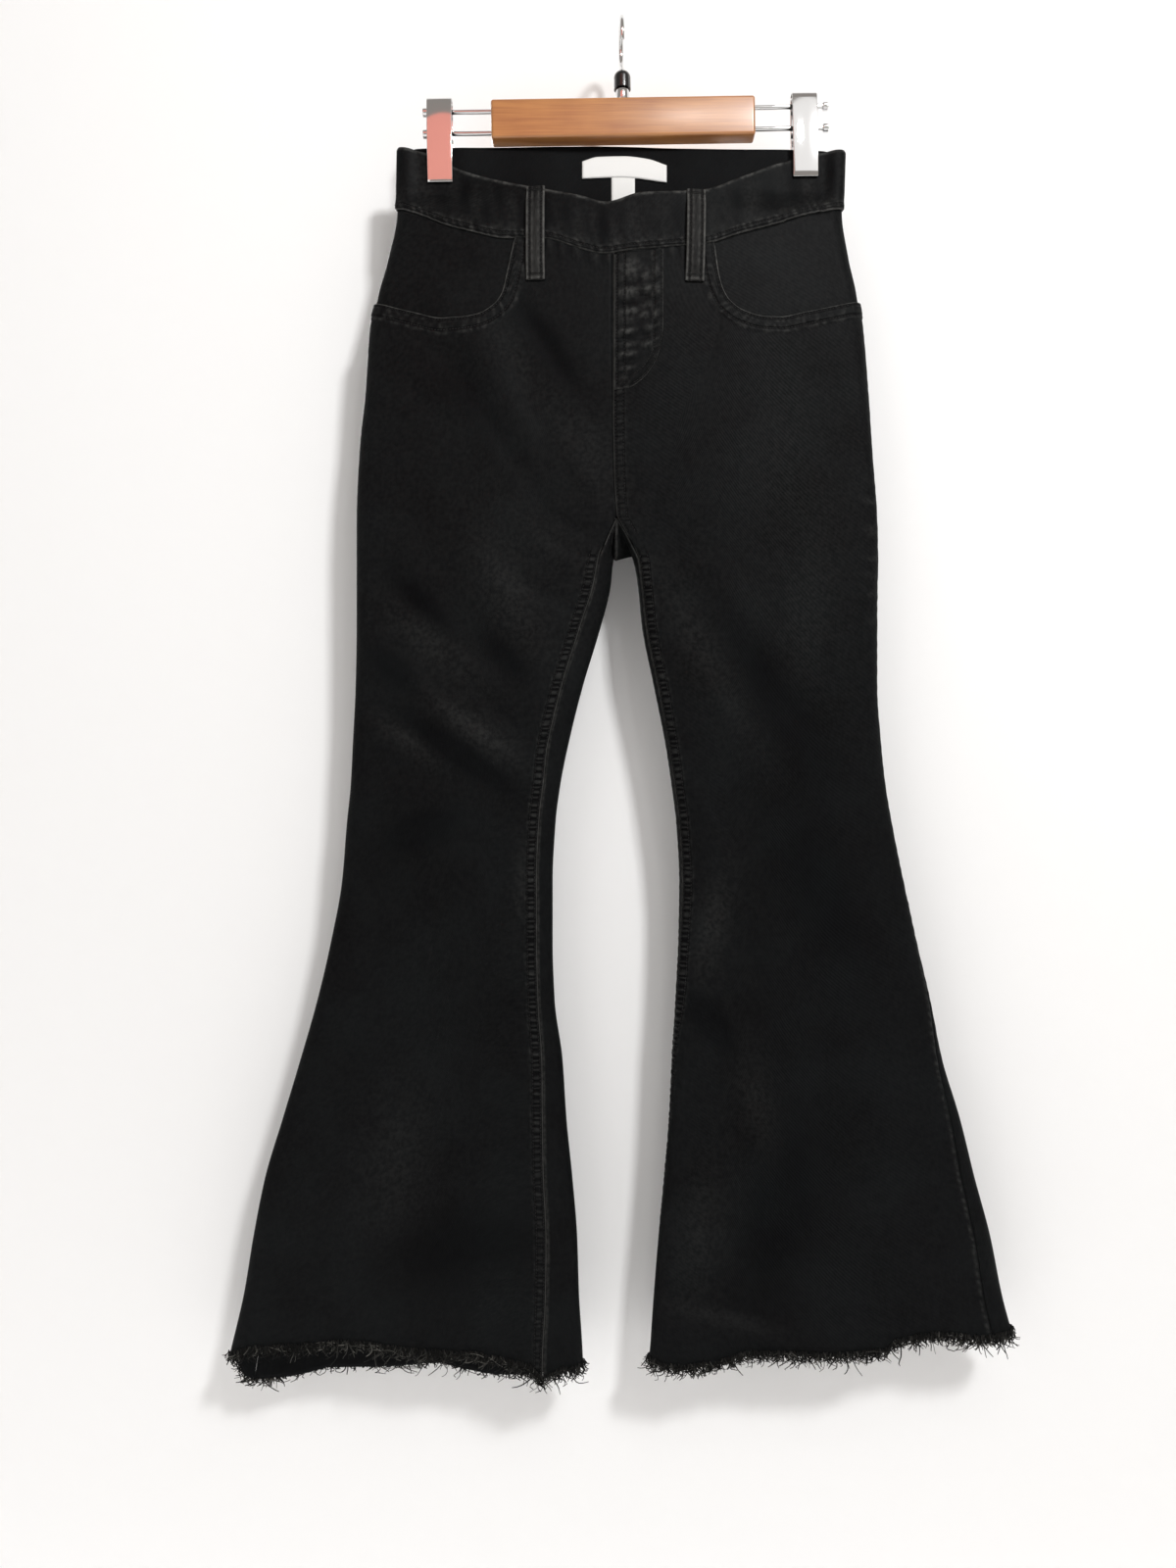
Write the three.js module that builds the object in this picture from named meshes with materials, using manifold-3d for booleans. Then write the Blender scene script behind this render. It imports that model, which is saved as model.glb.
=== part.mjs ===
// Flared jeans hung by the waist from a clip hanger, in millimetres.
// +Z is up and the front faces -Y. The origin is the inside top of the hanger's hook.
// "left" and "right" are the viewer's, looking at the front.
import * as THREE from 'three';
import { mergeVertices } from 'three/addons/utils/BufferGeometryUtils.js';
import Module from 'manifold-3d';

const wasm = await Module();
wasm.setup();

// Driving dimensions
const CLOTH = 1.4;            // stretch denim wall
const BAND = 2.8;             // waistband, folded double
const GAP = 0.3;              // between pieces that meet
const ROLL = 11;              // width over which a side rolls from front to back
const LAYER = 0.9;            // thin layer that lies on a panel
const LOOP_WIDTH = 14;
const LOOP_THICK = 1.8;
const POCKET_LAP = 14;        // how far the facing runs under the pocket mouth
const TOP_ZONE = -237;        // rows are level below this height ...
const HEM_ZONE = -950;        // ... down to this one
const CROTCH = { join: -380, middle: -396, seat: -403, low: -411 };

// Materials
const denim = (name, color, roughness = 0.62) =>
  new THREE.MeshStandardMaterial({ name, color, roughness, metalness: 0 });
const blackDenim = denim('black_denim', 0x1b1b1b);
const wornDenim = denim('worn_denim', 0x2b2b29);
const frayedCotton = denim('frayed_cotton', 0x3c3c3a, 0.9);
const whiteSatin = denim('white_satin', 0xf2f2f2, 0.5);
const hangerWood = denim('hanger_wood', 0xb9835a, 0.45);
const blackPlastic = denim('black_plastic', 0x151515, 0.35);
const chrome = new THREE.MeshStandardMaterial(
  { name: 'chrome', color: 0xd8d8d8, roughness: 0.12, metalness: 1 });

// Sections of the two legs. outer and inner are the outline's x from the front (at the crotch
// inner lies ROLL past the centre seam, and above it CENTRE_SEAM holds). inseam and outseam tell how far in from that outline the
// seam lies, on the front where positive and on the back where negative. fold is the depth at
// the outline, front and back the depths at mid leg, frontIn and backIn those at the inner side.
const LEFT_LEG = [
  { z: -96, outer: -172, outseam: -2, fold: 7.5, front: 18, frontIn: 23, back: 6, backIn: 6 },
  { z: -143, outer: -173, outseam: -2, fold: 7.5, front: 18.5, frontIn: 24, back: 7, backIn: 8 },
  { z: -180, outer: -180, outseam: -2, fold: 8, front: 20, frontIn: 25, back: 11, backIn: 12 },
  { z: -207, outer: -187.5, outseam: -2, fold: 8, front: 20.5, frontIn: 24.5, back: 13, backIn: 14 },
  { z: -237, outer: -192.8, outseam: -3, fold: 8, front: 21, frontIn: 23.5, back: 14, backIn: 15 },
  { z: -282, outer: -195.8, outseam: -3, fold: 8, front: 20, frontIn: 21, back: 14.5, backIn: 15 },
  { z: -327, outer: -200.3, outseam: -4, fold: 8, front: 19, frontIn: 17.5, back: 14, backIn: 12.5 },
  { z: -380, outer: -202.5, inner: 7, inseam: 11, outseam: -5, fold: 7.5, front: 18, frontIn: 11.5, back: 13, backIn: 8 },
  { z: -396, outer: -202.5, inner: 0.5, inseam: 11.8, outseam: -6, fold: 7.5, front: 17.5, frontIn: 10, back: 13, backIn: 8 },
  { z: -411, outer: -202.5, inner: -6, inseam: 11.4, outseam: -6, fold: 7.5, front: 17, frontIn: 9, back: 13, backIn: 8 },
  { z: -432, outer: -202.5, inner: -8.3, inseam: 13, outseam: -8, fold: 7.5, front: 17, frontIn: 8.5, back: 12.5, backIn: 8 },
  { z: -462, outer: -202.5, inner: -15.8, inseam: 15, outseam: -8, fold: 7, front: 16.5, frontIn: 8.5, back: 12.5, backIn: 8 },
  { z: -507, outer: -203.3, inner: -29.3, inseam: 15.5, outseam: -9, fold: 7, front: 16, frontIn: 8, back: 12, backIn: 7.5 },
  { z: -552, outer: -205.5, inner: -40.5, inseam: 15, outseam: -9, fold: 7, front: 15.5, frontIn: 7.5, back: 11.5, backIn: 7 },
  { z: -582, outer: -207, inner: -46.5, inseam: 12.4, outseam: -9, fold: 6.5, front: 15, frontIn: 7.5, back: 11, backIn: 7 },
  { z: -612, outer: -210, inner: -50.3, inseam: 12, outseam: -9, fold: 6.5, front: 14.5, frontIn: 7, back: 10.5, backIn: 6.5 },
  { z: -657, outer: -213.8, inner: -52.5, inseam: 11.5, outseam: -9, fold: 6.5, front: 14, frontIn: 7, back: 10, backIn: 6.5 },
  { z: -702, outer: -222, inner: -52.5, inseam: 11.3, outseam: -9, fold: 6.5, front: 13.5, frontIn: 7, back: 10, backIn: 6.5 },
  { z: -747, outer: -232.5, inner: -51, inseam: 11.8, outseam: -9, fold: 6.5, front: 13, frontIn: 7, back: 9.5, backIn: 6.5 },
  { z: -792, outer: -245.3, inner: -45, inseam: 15, outseam: -10, fold: 6.5, front: 13, frontIn: 7, back: 9.5, backIn: 6.5 },
  { z: -837, outer: -258.8, inner: -42, inseam: 17.5, outseam: -12, fold: 6.5, front: 12.5, frontIn: 7, back: 9.5, backIn: 6.5 },
  { z: -882, outer: -272.3, inner: -37.5, inseam: 21.2, outseam: -14, fold: 6.5, front: 12.5, frontIn: 7, back: 9.5, backIn: 6.5 },
  { z: -927, outer: -281.3, inner: -33.8, inseam: 23, outseam: -16, fold: 6.5, front: 12, frontIn: 7, back: 10, backIn: 6.5 },
  { z: -972, outer: -288.8, inner: -32.3, inseam: 25, outseam: -18, fold: 6.5, front: 11.5, frontIn: 7, back: 10, backIn: 6.5 },
  { z: -1017, outer: -299, inner: -29.5, inseam: 30, outseam: -20, fold: 6.5, front: 11, frontIn: 7, back: 10, backIn: 6.5 },
  { z: -1050, outer: -305, inner: -28, inseam: 32, outseam: -21, fold: 6.5, front: 11, frontIn: 7, back: 10, backIn: 6.5 },
];
const RIGHT_LEG = [
  { z: -96, outer: 171.8, outseam: -2, fold: 7.5, front: 18, frontIn: 23, back: 6, backIn: 6 },
  { z: -143, outer: 170.3, outseam: -2, fold: 7.5, front: 18.5, frontIn: 24, back: 7, backIn: 8 },
  { z: -180, outer: 175.5, outseam: -2, fold: 8, front: 20, frontIn: 25, back: 11, backIn: 12 },
  { z: -207, outer: 181.5, outseam: -2, fold: 8, front: 20.5, frontIn: 24.5, back: 13, backIn: 14 },
  { z: -237, outer: 185.3, outseam: -2, fold: 8, front: 21, frontIn: 23.5, back: 14, backIn: 15 },
  { z: -282, outer: 189, outseam: -2, fold: 8, front: 20, frontIn: 21, back: 14.5, backIn: 15 },
  { z: -327, outer: 192, outseam: -2, fold: 8, front: 19, frontIn: 17.5, back: 14, backIn: 12.5 },
  { z: -380, outer: 195.8, inner: -15, inseam: 11, outseam: -2, fold: 7.5, front: 18, frontIn: 11.5, back: 13, backIn: 8 },
  { z: -396, outer: 196.2, inner: -2, inseam: 7.5, outseam: -2, fold: 7.5, front: 17.5, frontIn: 10, back: 13, backIn: 8 },
  { z: -411, outer: 196.5, inner: 9, inseam: 4, outseam: -2, fold: 7.5, front: 17, frontIn: 9, back: 13, backIn: 8 },
  { z: -432, outer: 196, inner: 12.8, inseam: 3, outseam: -2, fold: 7.5, front: 17, frontIn: 8.5, back: 12.5, backIn: 8 },
  { z: -462, outer: 195.8, inner: 15.8, inseam: 3, outseam: -2, fold: 7, front: 16.5, frontIn: 8.5, back: 12.5, backIn: 8 },
  { z: -507, outer: 195.8, inner: 24.8, inseam: 3, outseam: -2, fold: 7, front: 16, frontIn: 8, back: 12, backIn: 7.5 },
  { z: -552, outer: 198.8, inner: 33.8, inseam: 2, outseam: -2, fold: 7, front: 15.5, frontIn: 7.5, back: 11.5, backIn: 7 },
  { z: -582, outer: 202, inner: 38.3, inseam: 2, outseam: -2, fold: 6.5, front: 15, frontIn: 7.5, back: 11, backIn: 7 },
  { z: -612, outer: 207, inner: 42, inseam: 2, outseam: -2, fold: 6.5, front: 14.5, frontIn: 7, back: 10.5, backIn: 6.5 },
  { z: -657, outer: 216, inner: 44.3, inseam: 2, outseam: -1, fold: 6.5, front: 14, frontIn: 7, back: 10, backIn: 6.5 },
  { z: -702, outer: 225.8, inner: 43.5, inseam: 1, outseam: 0.5, fold: 6.5, front: 13.5, frontIn: 7, back: 10, backIn: 6.5 },
  { z: -747, outer: 236.3, inner: 41.3, inseam: 0.5, outseam: 2, fold: 6.5, front: 13, frontIn: 7, back: 9.5, backIn: 6.5 },
  { z: -792, outer: 245.3, inner: 39, inseam: -1, outseam: 5, fold: 6.5, front: 13, frontIn: 7, back: 9.5, backIn: 6.5 },
  { z: -837, outer: 258.8, inner: 36.8, inseam: -3, outseam: 9, fold: 6.5, front: 12.5, frontIn: 7, back: 9.5, backIn: 6.5 },
  { z: -882, outer: 270, inner: 33, inseam: -6, outseam: 12, fold: 6.5, front: 12.5, frontIn: 7, back: 9.5, backIn: 6.5 },
  { z: -927, outer: 282, inner: 28.5, inseam: -8, outseam: 14, fold: 6.5, front: 12, frontIn: 7, back: 10, backIn: 6.5 },
  { z: -972, outer: 291, inner: 24.8, inseam: -10, outseam: 16, fold: 6.5, front: 11.5, frontIn: 7, back: 10, backIn: 6.5 },
  { z: -1017, outer: 303, inner: 21.8, inseam: -12, outseam: 18, fold: 6.5, front: 11, frontIn: 7, back: 10, backIn: 6.5 },
  { z: -1050, outer: 310, inner: 20, inseam: -13, outseam: 19, fold: 6.5, front: 11, frontIn: 7, back: 10, backIn: 6.5 },
];

const CENTRE_SEAM = [{ z: -380, x: -4 }, { z: -350, x: -6 }, { z: -300, x: -7 }, { z: -130, x: -7 }];

// Edges seen from the front, each as x and z along it.
const FRONT_WAIST_SEAM = [
  { x: -173, z: -143.3 }, { x: -156, z: -149 }, { x: -134, z: -159.5 }, { x: -114, z: -166 },
  { x: -90, z: -172.4 }, { x: -58, z: -174.5 }, { x: -28, z: -184 }, { x: -14, z: -187 },
  { x: 7, z: -184 }, { x: 35, z: -181 }, { x: 63, z: -177.6 }, { x: 88, z: -168.7 },
  { x: 117, z: -159.5 }, { x: 145, z: -149 }, { x: 171, z: -143.5 },
];
const BACK_WAIST_SEAM = [
  { x: -173, z: -143.3 }, { x: -140, z: -142 }, { x: -80, z: -139.5 }, { x: 0, z: -138 },
  { x: 80, z: -140 }, { x: 140, z: -142.5 }, { x: 171, z: -143.5 },
];
const FRONT_TOP_EDGE = [
  { x: -172, z: -96 }, { x: -150, z: -100 }, { x: -128, z: -110.8 }, { x: -90, z: -126 },
  { x: -53, z: -136.4 }, { x: -31, z: -141.8 }, { x: -12, z: -147 }, { x: 14, z: -139.5 },
  { x: 42, z: -137.6 }, { x: 61, z: -135.3 }, { x: 92, z: -121.8 }, { x: 119, z: -109 },
  { x: 150, z: -100.5 }, { x: 172, z: -98.2 },
];
const BACK_TOP_EDGE = [
  { x: -172, z: -96 }, { x: -100, z: -94.6 }, { x: 0, z: -93.5 }, { x: 100, z: -95.5 }, { x: 172, z: -98.2 },
];
const YOKE_SEAM = [
  { x: -182, z: -183 }, { x: -90, z: -194 }, { x: -7, z: -209 }, { x: 80, z: -194.5 }, { x: 178, z: -183 },
];
const POCKET_MOUTH = {
  left: [
    { x: -194, z: -214.5 }, { x: -156, z: -226 }, { x: -133, z: -231.5 }, { x: -122, z: -231.5 },
    { x: -108.5, z: -229.5 }, { x: -96, z: -222.5 }, { x: -90, z: -214 }, { x: -86, z: -198 }, { x: -80.7, z: -173.5 },
  ],
  right: [
    { x: 69, z: -175.5 }, { x: 72.5, z: -200 }, { x: 76, z: -212 }, { x: 81, z: -220 }, { x: 91, z: -227 },
    { x: 107, z: -231 }, { x: 117, z: -231 }, { x: 138, z: -226.3 }, { x: 186, z: -214 },
  ],
};
const HEM = {
  left: {
    front: [
      { x: -300, z: -1019 }, { x: -280, z: -1012 }, { x: -245, z: -1009.7 }, { x: -206, z: -1006 },
      { x: -177, z: -1009.7 }, { x: -141, z: -1013.4 }, { x: -114, z: -1015 }, { x: -83, z: -1021.6 },
      { x: -69, z: -1026 }, { x: -60, z: -1033 }, { x: -44, z: -1028 }, { x: -29, z: -1026 },
    ],
    back: [
      { x: -300, z: -1019 }, { x: -286, z: -1040 }, { x: -254, z: -1039 }, { x: -226, z: -1032.5 },
      { x: -180, z: -1032 }, { x: -143, z: -1029 }, { x: -115, z: -1035 }, { x: -90, z: -1038 },
      { x: -52, z: -1034 }, { x: -29, z: -1026 },
    ],
  },
  right: {
    front: [
      { x: 21, z: -1022 }, { x: 41, z: -1026 }, { x: 72, z: -1022 }, { x: 98, z: -1014.5 }, { x: 155, z: -1015.4 },
      { x: 199, z: -1012 }, { x: 207, z: -1006 }, { x: 240, z: -1000.5 }, { x: 272, z: -1003.5 }, { x: 303, z: -1000 },
    ],
    back: [{ x: 21, z: -1022 }, { x: 100, z: -1014 }, { x: 200, z: -1008 }, { x: 270, z: -1004 }, { x: 303, z: -1000 }],
  },
};
// How far the top of the waistband stands in front of and behind the hanger's plane: pinched at
// the clips, slack between them in front.
const BAND_DEPTH = [
  { x: -172, front: 7, back: 7 }, { x: -162, front: 5.5, back: 5.5 }, { x: -154, front: 3.1, back: 3.1 },
  { x: -125, front: 3.1, back: 3.1 }, { x: -110, front: 6, back: 4 }, { x: -88, front: 12, back: 5 },
  { x: -58, front: 18, back: 6 }, { x: -28, front: 21.5, back: 7 }, { x: 0, front: 22, back: 7 },
  { x: 28, front: 21.5, back: 7 }, { x: 58, front: 18, back: 6 }, { x: 88, front: 12, back: 5 },
  { x: 110, front: 6, back: 4 }, { x: 129, front: 3.1, back: 3.1 }, { x: 154, front: 3.1, back: 3.1 },
  { x: 162, front: 5.5, back: 5.5 }, { x: 172, front: 7, back: 7 },
];
const PINCH = { full: -128, gone: -154 };      // heights between which the clips' pinch lets go

// The largest folds: a soft ridge (height above 0) or trough at x, z, running length long at a
// slope of turn degrees from the level, and width across.
const FOLDS = [
  { side: 'front', x: -128, z: -262, turn: -52, length: 70, width: 15, height: -2.6 },
  { side: 'front', x: -104, z: -268, turn: -54, length: 66, width: 14, height: 2.2 },
  { side: 'front', x: -62, z: -300, turn: -56, length: 60, width: 15, height: -2.4 },
  { side: 'front', x: -150, z: -420, turn: -50, length: 62, width: 14, height: 2.4 },
  { side: 'front', x: -122, z: -452, turn: -52, length: 70, width: 13, height: -2.8 },
  { side: 'front', x: -96, z: -430, turn: -58, length: 60, width: 13, height: 2.2 },
  { side: 'front', x: -160, z: -500, turn: -38, length: 56, width: 12, height: 3 },
  { side: 'front', x: -178, z: -528, turn: -36, length: 44, width: 12, height: -2.8 },
  { side: 'front', x: -120, z: -545, turn: -30, length: 60, width: 12, height: 2.6 },
  { side: 'front', x: -150, z: -572, turn: -8, length: 52, width: 13, height: -2.6 },
  { side: 'front', x: -136, z: -600, turn: 14, length: 60, width: 14, height: 2 },
  { side: 'front', x: 96, z: -462, turn: -55, length: 70, width: 16, height: 2 },
  { side: 'front', x: 128, z: -520, turn: -52, length: 80, width: 16, height: -2 },
  { side: 'front', x: 72, z: -640, turn: -60, length: 70, width: 15, height: 2.4 },
  { side: 'front', x: 92, z: -700, turn: -64, length: 70, width: 14, height: -2.4 },
  { side: 'front', x: 62, z: -800, turn: -70, length: 90, width: 14, height: 2.8 },
  { side: 'front', x: 88, z: -850, turn: -74, length: 80, width: 15, height: -2.2 },
  { side: 'front', x: 80, z: -980, turn: -12, length: 70, width: 9, height: 3 },
  { side: 'front', x: 84, z: -1000, turn: -14, length: 70, width: 9, height: -2.4 },
  { side: 'front', x: 170, z: -330, turn: -72, length: 100, width: 15, height: -2.4 },
  { side: 'front', x: -190, z: -860, turn: 76, length: 110, width: 24, height: 2.4 },
  { side: 'front', x: -110, z: -900, turn: -84, length: 110, width: 26, height: -2.2 },
  { side: 'front', x: 205, z: -900, turn: -78, length: 110, width: 26, height: 2.2 },
  { side: 'back', x: -70, z: -300, turn: 50, length: 80, width: 18, height: -2.6 },
  { side: 'back', x: 70, z: -310, turn: -50, length: 80, width: 18, height: -2.4 },
  { side: 'back', x: -110, z: -410, turn: 24, length: 90, width: 15, height: 2.6 },
  { side: 'back', x: -90, z: -445, turn: 18, length: 80, width: 14, height: -2.4 },
  { side: 'back', x: 100, z: -420, turn: -26, length: 90, width: 15, height: 2.4 },
  { side: 'back', x: 112, z: -560, turn: -14, length: 80, width: 14, height: -2.4 },
  { side: 'back', x: -130, z: -585, turn: 16, length: 80, width: 14, height: 2.4 },
  { side: 'back', x: -160, z: -860, turn: 82, length: 130, width: 26, height: 2.4 },
  { side: 'back', x: 160, z: -870, turn: -80, length: 130, width: 26, height: -2.2 },
];

// A smooth curve through a table's rows that never swings past them.
function along(table, key, column, at) {
  const rising = table[0][key] < table[table.length - 1][key];
  const rows = rising ? table : [...table].reverse();
  const last = rows.length - 1;
  if (at <= rows[0][key]) return rows[0][column];
  if (at >= rows[last][key]) return rows[last][column];
  const slope = (i) => (rows[i + 1][column] - rows[i][column]) / (rows[i + 1][key] - rows[i][key]);
  const tangent = (i) => {
    if (i === 0) return slope(0);
    if (i === last) return slope(last - 1);
    const before = slope(i - 1);
    const after = slope(i);
    return before * after <= 0 ? 0 : (2 * before * after) / (before + after);
  };
  let i = 0;
  while (rows[i + 1][key] < at) i += 1;
  const span = rows[i + 1][key] - rows[i][key];
  const t = (at - rows[i][key]) / span;
  const bend = t * t * (3 - 2 * t);
  return rows[i][column] * (1 - bend) + rows[i + 1][column] * bend
    + span * (t * (1 - t) ** 2 * tangent(i) - t * t * (1 - t) * tangent(i + 1));
}

const mix = (a, b, t) => a + (b - a) * t;
const smoothstep = (a, b, at) => {
  const t = Math.min(1, Math.max(0, (at - a) / (b - a)));
  return t * t * (3 - 2 * t);
};

// Depth that the folds add at a place on the front or the back.
function foldDepth(side, x, z) {
  let depth = 0;
  for (const fold of FOLDS) {
    if (fold.side !== side) continue;
    const turn = (fold.turn * Math.PI) / 180;
    const dx = x - fold.x;
    const dz = z - fold.z;
    const run = (dx * Math.cos(turn) + dz * Math.sin(turn)) / fold.length;
    const across = (dz * Math.cos(turn) - dx * Math.sin(turn)) / fold.width;
    depth += fold.height * Math.exp(-2 * run * run - across * across);
  }
  return depth;
}

// An angle round a rolled side stands for a distance in from the outline, and back again.
function rollAngle(offset) {
  const size = Math.abs(offset);
  const angle = size < ROLL ? Math.acos(1 - size / ROLL) : Math.PI / 2 + (size - ROLL) / ROLL;
  return Math.sign(offset) * angle;
}
const rollOffset = (angle) =>
  angle < Math.PI / 2 ? ROLL * (1 - Math.cos(angle)) : ROLL * (1 + angle - Math.PI / 2);
const rollHeight = (angle) => (angle < Math.PI / 2 ? Math.sin(angle) : 1);

// One leg, or one half of the body above the crotch. A level section is a flattened ring whose
// place q runs from 0 at the outer outline to the span at the inner one, on the front or back.
class Half {
  constructor(name, table) {
    this.name = name;
    this.inward = name === 'left' ? 1 : -1;
    this.table = table.map((row) => ({ ...row, outseamAngle: rollAngle(row.outseam) }));
    this.legTable = table.filter((row) => row.inner !== undefined)
      .map((row) => ({ ...row, inseamAngle: rollAngle(row.inseam) }));
  }

  at(z, column) { return along(this.table, 'z', column, z); }

  // Above the crotch a section ends at the centre seam, lower down at the leg's inner side.
  isBody(side, z) { return z > (side === 'front' ? CROTCH.join - 0.01 : CROTCH.seat - 0.01); }

  inner(side, z) {
    if (!this.isBody(side, z)) return along(this.legTable, 'z', 'inner', z);
    return along(CENTRE_SEAM, 'z', 'x', z) + this.inward * ROLL;
  }

  span(side, z) {
    const width = Math.abs(this.inner(side, z) - this.at(z, 'outer'));
    return Math.PI + (width - 2 * ROLL) / ROLL;
  }

  // How far the outer face of the cloth stands in front of or behind the hanger's plane.
  depth(side, x, z, ring = side) {
    const outer = this.at(z, 'outer');
    const t = Math.abs((x - outer) / (this.inner(ring, z) - outer));
    const base = this.at(z, 'fold') * (1 - t) * (1 - 2 * t)
      + this.at(z, side) * 4 * t * (1 - t) + this.at(z, `${side}In`) * t * (2 * t - 1);
    const pinch = smoothstep(PINCH.gone, PINCH.full, z);
    return mix(base + foldDepth(side, x, z), along(BAND_DEPTH, 'x', side, x), pinch);
  }

  // The ring's point at height z, on the outer face of the cloth.
  point(side, z, q, ring = side) {
    const span = this.span(ring, z);
    const other = side === 'front' ? 'back' : 'front';
    if (q < 0) return this.point(other, z, -q, ring);
    if (q > span) return this.point(other, z, 2 * span - q, ring);
    const outer = this.at(z, 'outer');
    const width = Math.abs(this.inner(ring, z) - outer);
    const fromOuter = q < span / 2 ? rollOffset(q) : width - rollOffset(span - q);
    const x = outer + this.inward * fromOuter;
    const depth = this.depth(side, x, z, ring) * rollHeight(q) * rollHeight(span - q);
    return new THREE.Vector3(x, side === 'front' ? -depth : depth, z);
  }

  // The outward direction of the cloth there.
  normal(side, z, q) {
    const step = 0.05;
    const rise = 1;
    const across = this.point(side, z, q + step).sub(this.point(side, z, q - step));
    const up = this.point(side, z + rise, q, side).sub(this.point(side, z - rise, q, side));
    const facing = (side === 'front' ? 1 : -1) * this.inward;
    return across.cross(up).normalize().multiplyScalar(facing);
  }

  // Where a panel starts at the outseam and ends at the inner seam, as places q.
  range(side, z) {
    const sign = side === 'front' ? 1 : -1;
    const start = sign * this.at(z, 'outseamAngle');
    const end = this.isBody(side, z) ? Math.PI / 2 : sign * along(this.legTable, 'z', 'inseamAngle', z);
    return { start: start + GAP / 2 / ROLL, end: this.span(side, z) - end - GAP / 2 / ROLL };
  }

  // The share u of the way across a panel at which it passes x.
  shareAt(side, x, z) {
    const { start, end } = this.range(side, z);
    return (rollAngle(Math.abs(x - this.at(z, 'outer'))) - start) / (end - start);
  }
}
const halves = { left: new Half('left', LEFT_LEG), right: new Half('right', RIGHT_LEG) };

// Heights of the edges of the pieces at a place x.
const waistSeam = (side, x) => along(side === 'front' ? FRONT_WAIST_SEAM : BACK_WAIST_SEAM, 'x', 'z', x);
const yokeSeam = (x) => along(YOKE_SEAM, 'x', 'z', x);
const pocketMouth = (half, x) => along(POCKET_MOUTH[half.name], 'x', 'z', x);
const pocketTop = (half) => POCKET_MOUTH[half.name].at(half.name === 'left' ? -1 : 0).x;
const inPocket = (half, x) => (x - pocketTop(half)) * half.inward < 0;
const frontTop = (half, x) =>
  (inPocket(half, x) ? Math.min(waistSeam('front', x), pocketMouth(half, x)) : waistSeam('front', x)) - GAP;
const hemHeight = (half, side, x) => along(HEM[half.name][side], 'x', 'z', x);

// A point of a piece: u runs from the outseam to the inner seam, and height gives z over x.
function piecePoint(half, side, u, startHeight, height) {
  let z = startHeight;
  let found = null;
  for (let pass = 0; pass < 6; pass += 1) {
    const { start, end } = half.range(side, z);
    const q = mix(start, end, u);
    const point = half.point(side, z, q);
    const turned = q < 0 || q > half.span(side, z);
    found = { u, z, point, normal: half.normal(side, z, q) };
    z = height(point.x, turned ? (side === 'front' ? 'back' : 'front') : side);
  }
  // At the centre seam the cut edges of left and right face each other squarely.
  if (u === 1 && half.isBody(side, found.z)) found.normal.setX(0).normalize();
  return found;
}

// A closed wall between an outer grid of points and the same grid moved in. outer[row][column]
// holds point and normal. handed is 1 where the columns run from the viewer's left on the front.
function wall(outer, thickness, handed, lift = 0) {
  const rows = outer.length;
  const columns = outer[0].length;
  const positions = [];
  for (const depth of [lift, lift - thickness]) {
    for (const { point, normal } of outer.flat()) {
      positions.push(...point.clone().addScaledVector(normal, depth).toArray());
    }
  }
  const inner = rows * columns;
  const faces = [];
  const quad = (a, b, c, d) => {
    if (handed > 0) faces.push(a, b, c, a, c, d);
    else faces.push(a, c, b, a, d, c);
  };
  for (let i = 0; i < rows - 1; i += 1) {
    for (let j = 0; j < columns - 1; j += 1) {
      const a = i * columns + j;
      const b = a + columns;
      quad(a, b, b + 1, a + 1);
      quad(inner + a, inner + a + 1, inner + b + 1, inner + b);
    }
  }
  for (let i = 0; i < rows - 1; i += 1) {
    const near = i * columns;
    const far = near + columns - 1;
    quad(near, inner + near, inner + near + columns, near + columns);
    quad(far, far + columns, inner + far + columns, inner + far);
  }
  for (let j = 0; j < columns - 1; j += 1) {
    const low = (rows - 1) * columns + j;
    quad(j, j + 1, inner + j + 1, inner + j);
    quad(low, inner + low, inner + low + 1, low + 1);
  }
  return shape(positions, faces);
}

function shape(positions, faces) {
  const geometry = new THREE.BufferGeometry();
  geometry.setAttribute('position', new THREE.Float32BufferAttribute(positions, 3));
  geometry.setIndex(faces);
  geometry.computeVertexNormals();
  return geometry;
}

const jeans = new THREE.Group();
const hanger = new THREE.Group();
const part = new THREE.Group();
part.add(jeans, hanger);
function place(name, geometry, material, parent = jeans) {
  const mesh = new THREE.Mesh(geometry, material);
  mesh.name = name;
  parent.add(mesh);
  return mesh;
}

// Rows of a leg's panel, from its top edge to the hem, and the columns across it.
const TOP_SHARES = [0, 0.22, 0.48, 0.76];
const LEVELS = [TOP_ZONE, -262, -290, -318, -346, CROTCH.join, CROTCH.middle, CROTCH.low, -431,
  -453, -477, -502, -528, -556, -586, -620, -660, -704, -750, -798, -848, -900, HEM_ZONE];
const HEM_SHARES = [0.36, 0.7, 1];
const COLUMNS = [0, 0.04, 0.1, 0.19, 0.29, 0.39, 0.49, 0.59, 0.69, 0.78, 0.86, 0.92, 0.965, 1];
// Where the columns between start along the front's top edge, so that they follow the pocket.
const TOP_STATIONS = {
  left: [-188, -178, -156, -134, -114, -98, -90, -85.6, -81.2, -62, -44, -25],
  right: [180, 170, 148, 126, 106, 87, 78, 72.6, 69.4, 50, 32, 13],
};
const COLUMN_BLEND = { from: -232, to: -330 };

function panelRows(topHeight) {
  return [
    ...TOP_SHARES.map((share) => (
      { level: mix(-170, TOP_ZONE, share), height: (x) => mix(topHeight(x), TOP_ZONE, share) })),
    ...LEVELS.map((z) => ({ level: z, height: () => z })),
    ...HEM_SHARES.map((share) => (
      { level: HEM_ZONE, height: (x, side, half) => mix(HEM_ZONE, hemHeight(half, side, x), share) })),
  ];
}

const topShares = (half) =>
  [0, ...TOP_STATIONS[half.name].map((x) => half.shareAt('front', x, frontTop(half, x))), 1];

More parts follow.
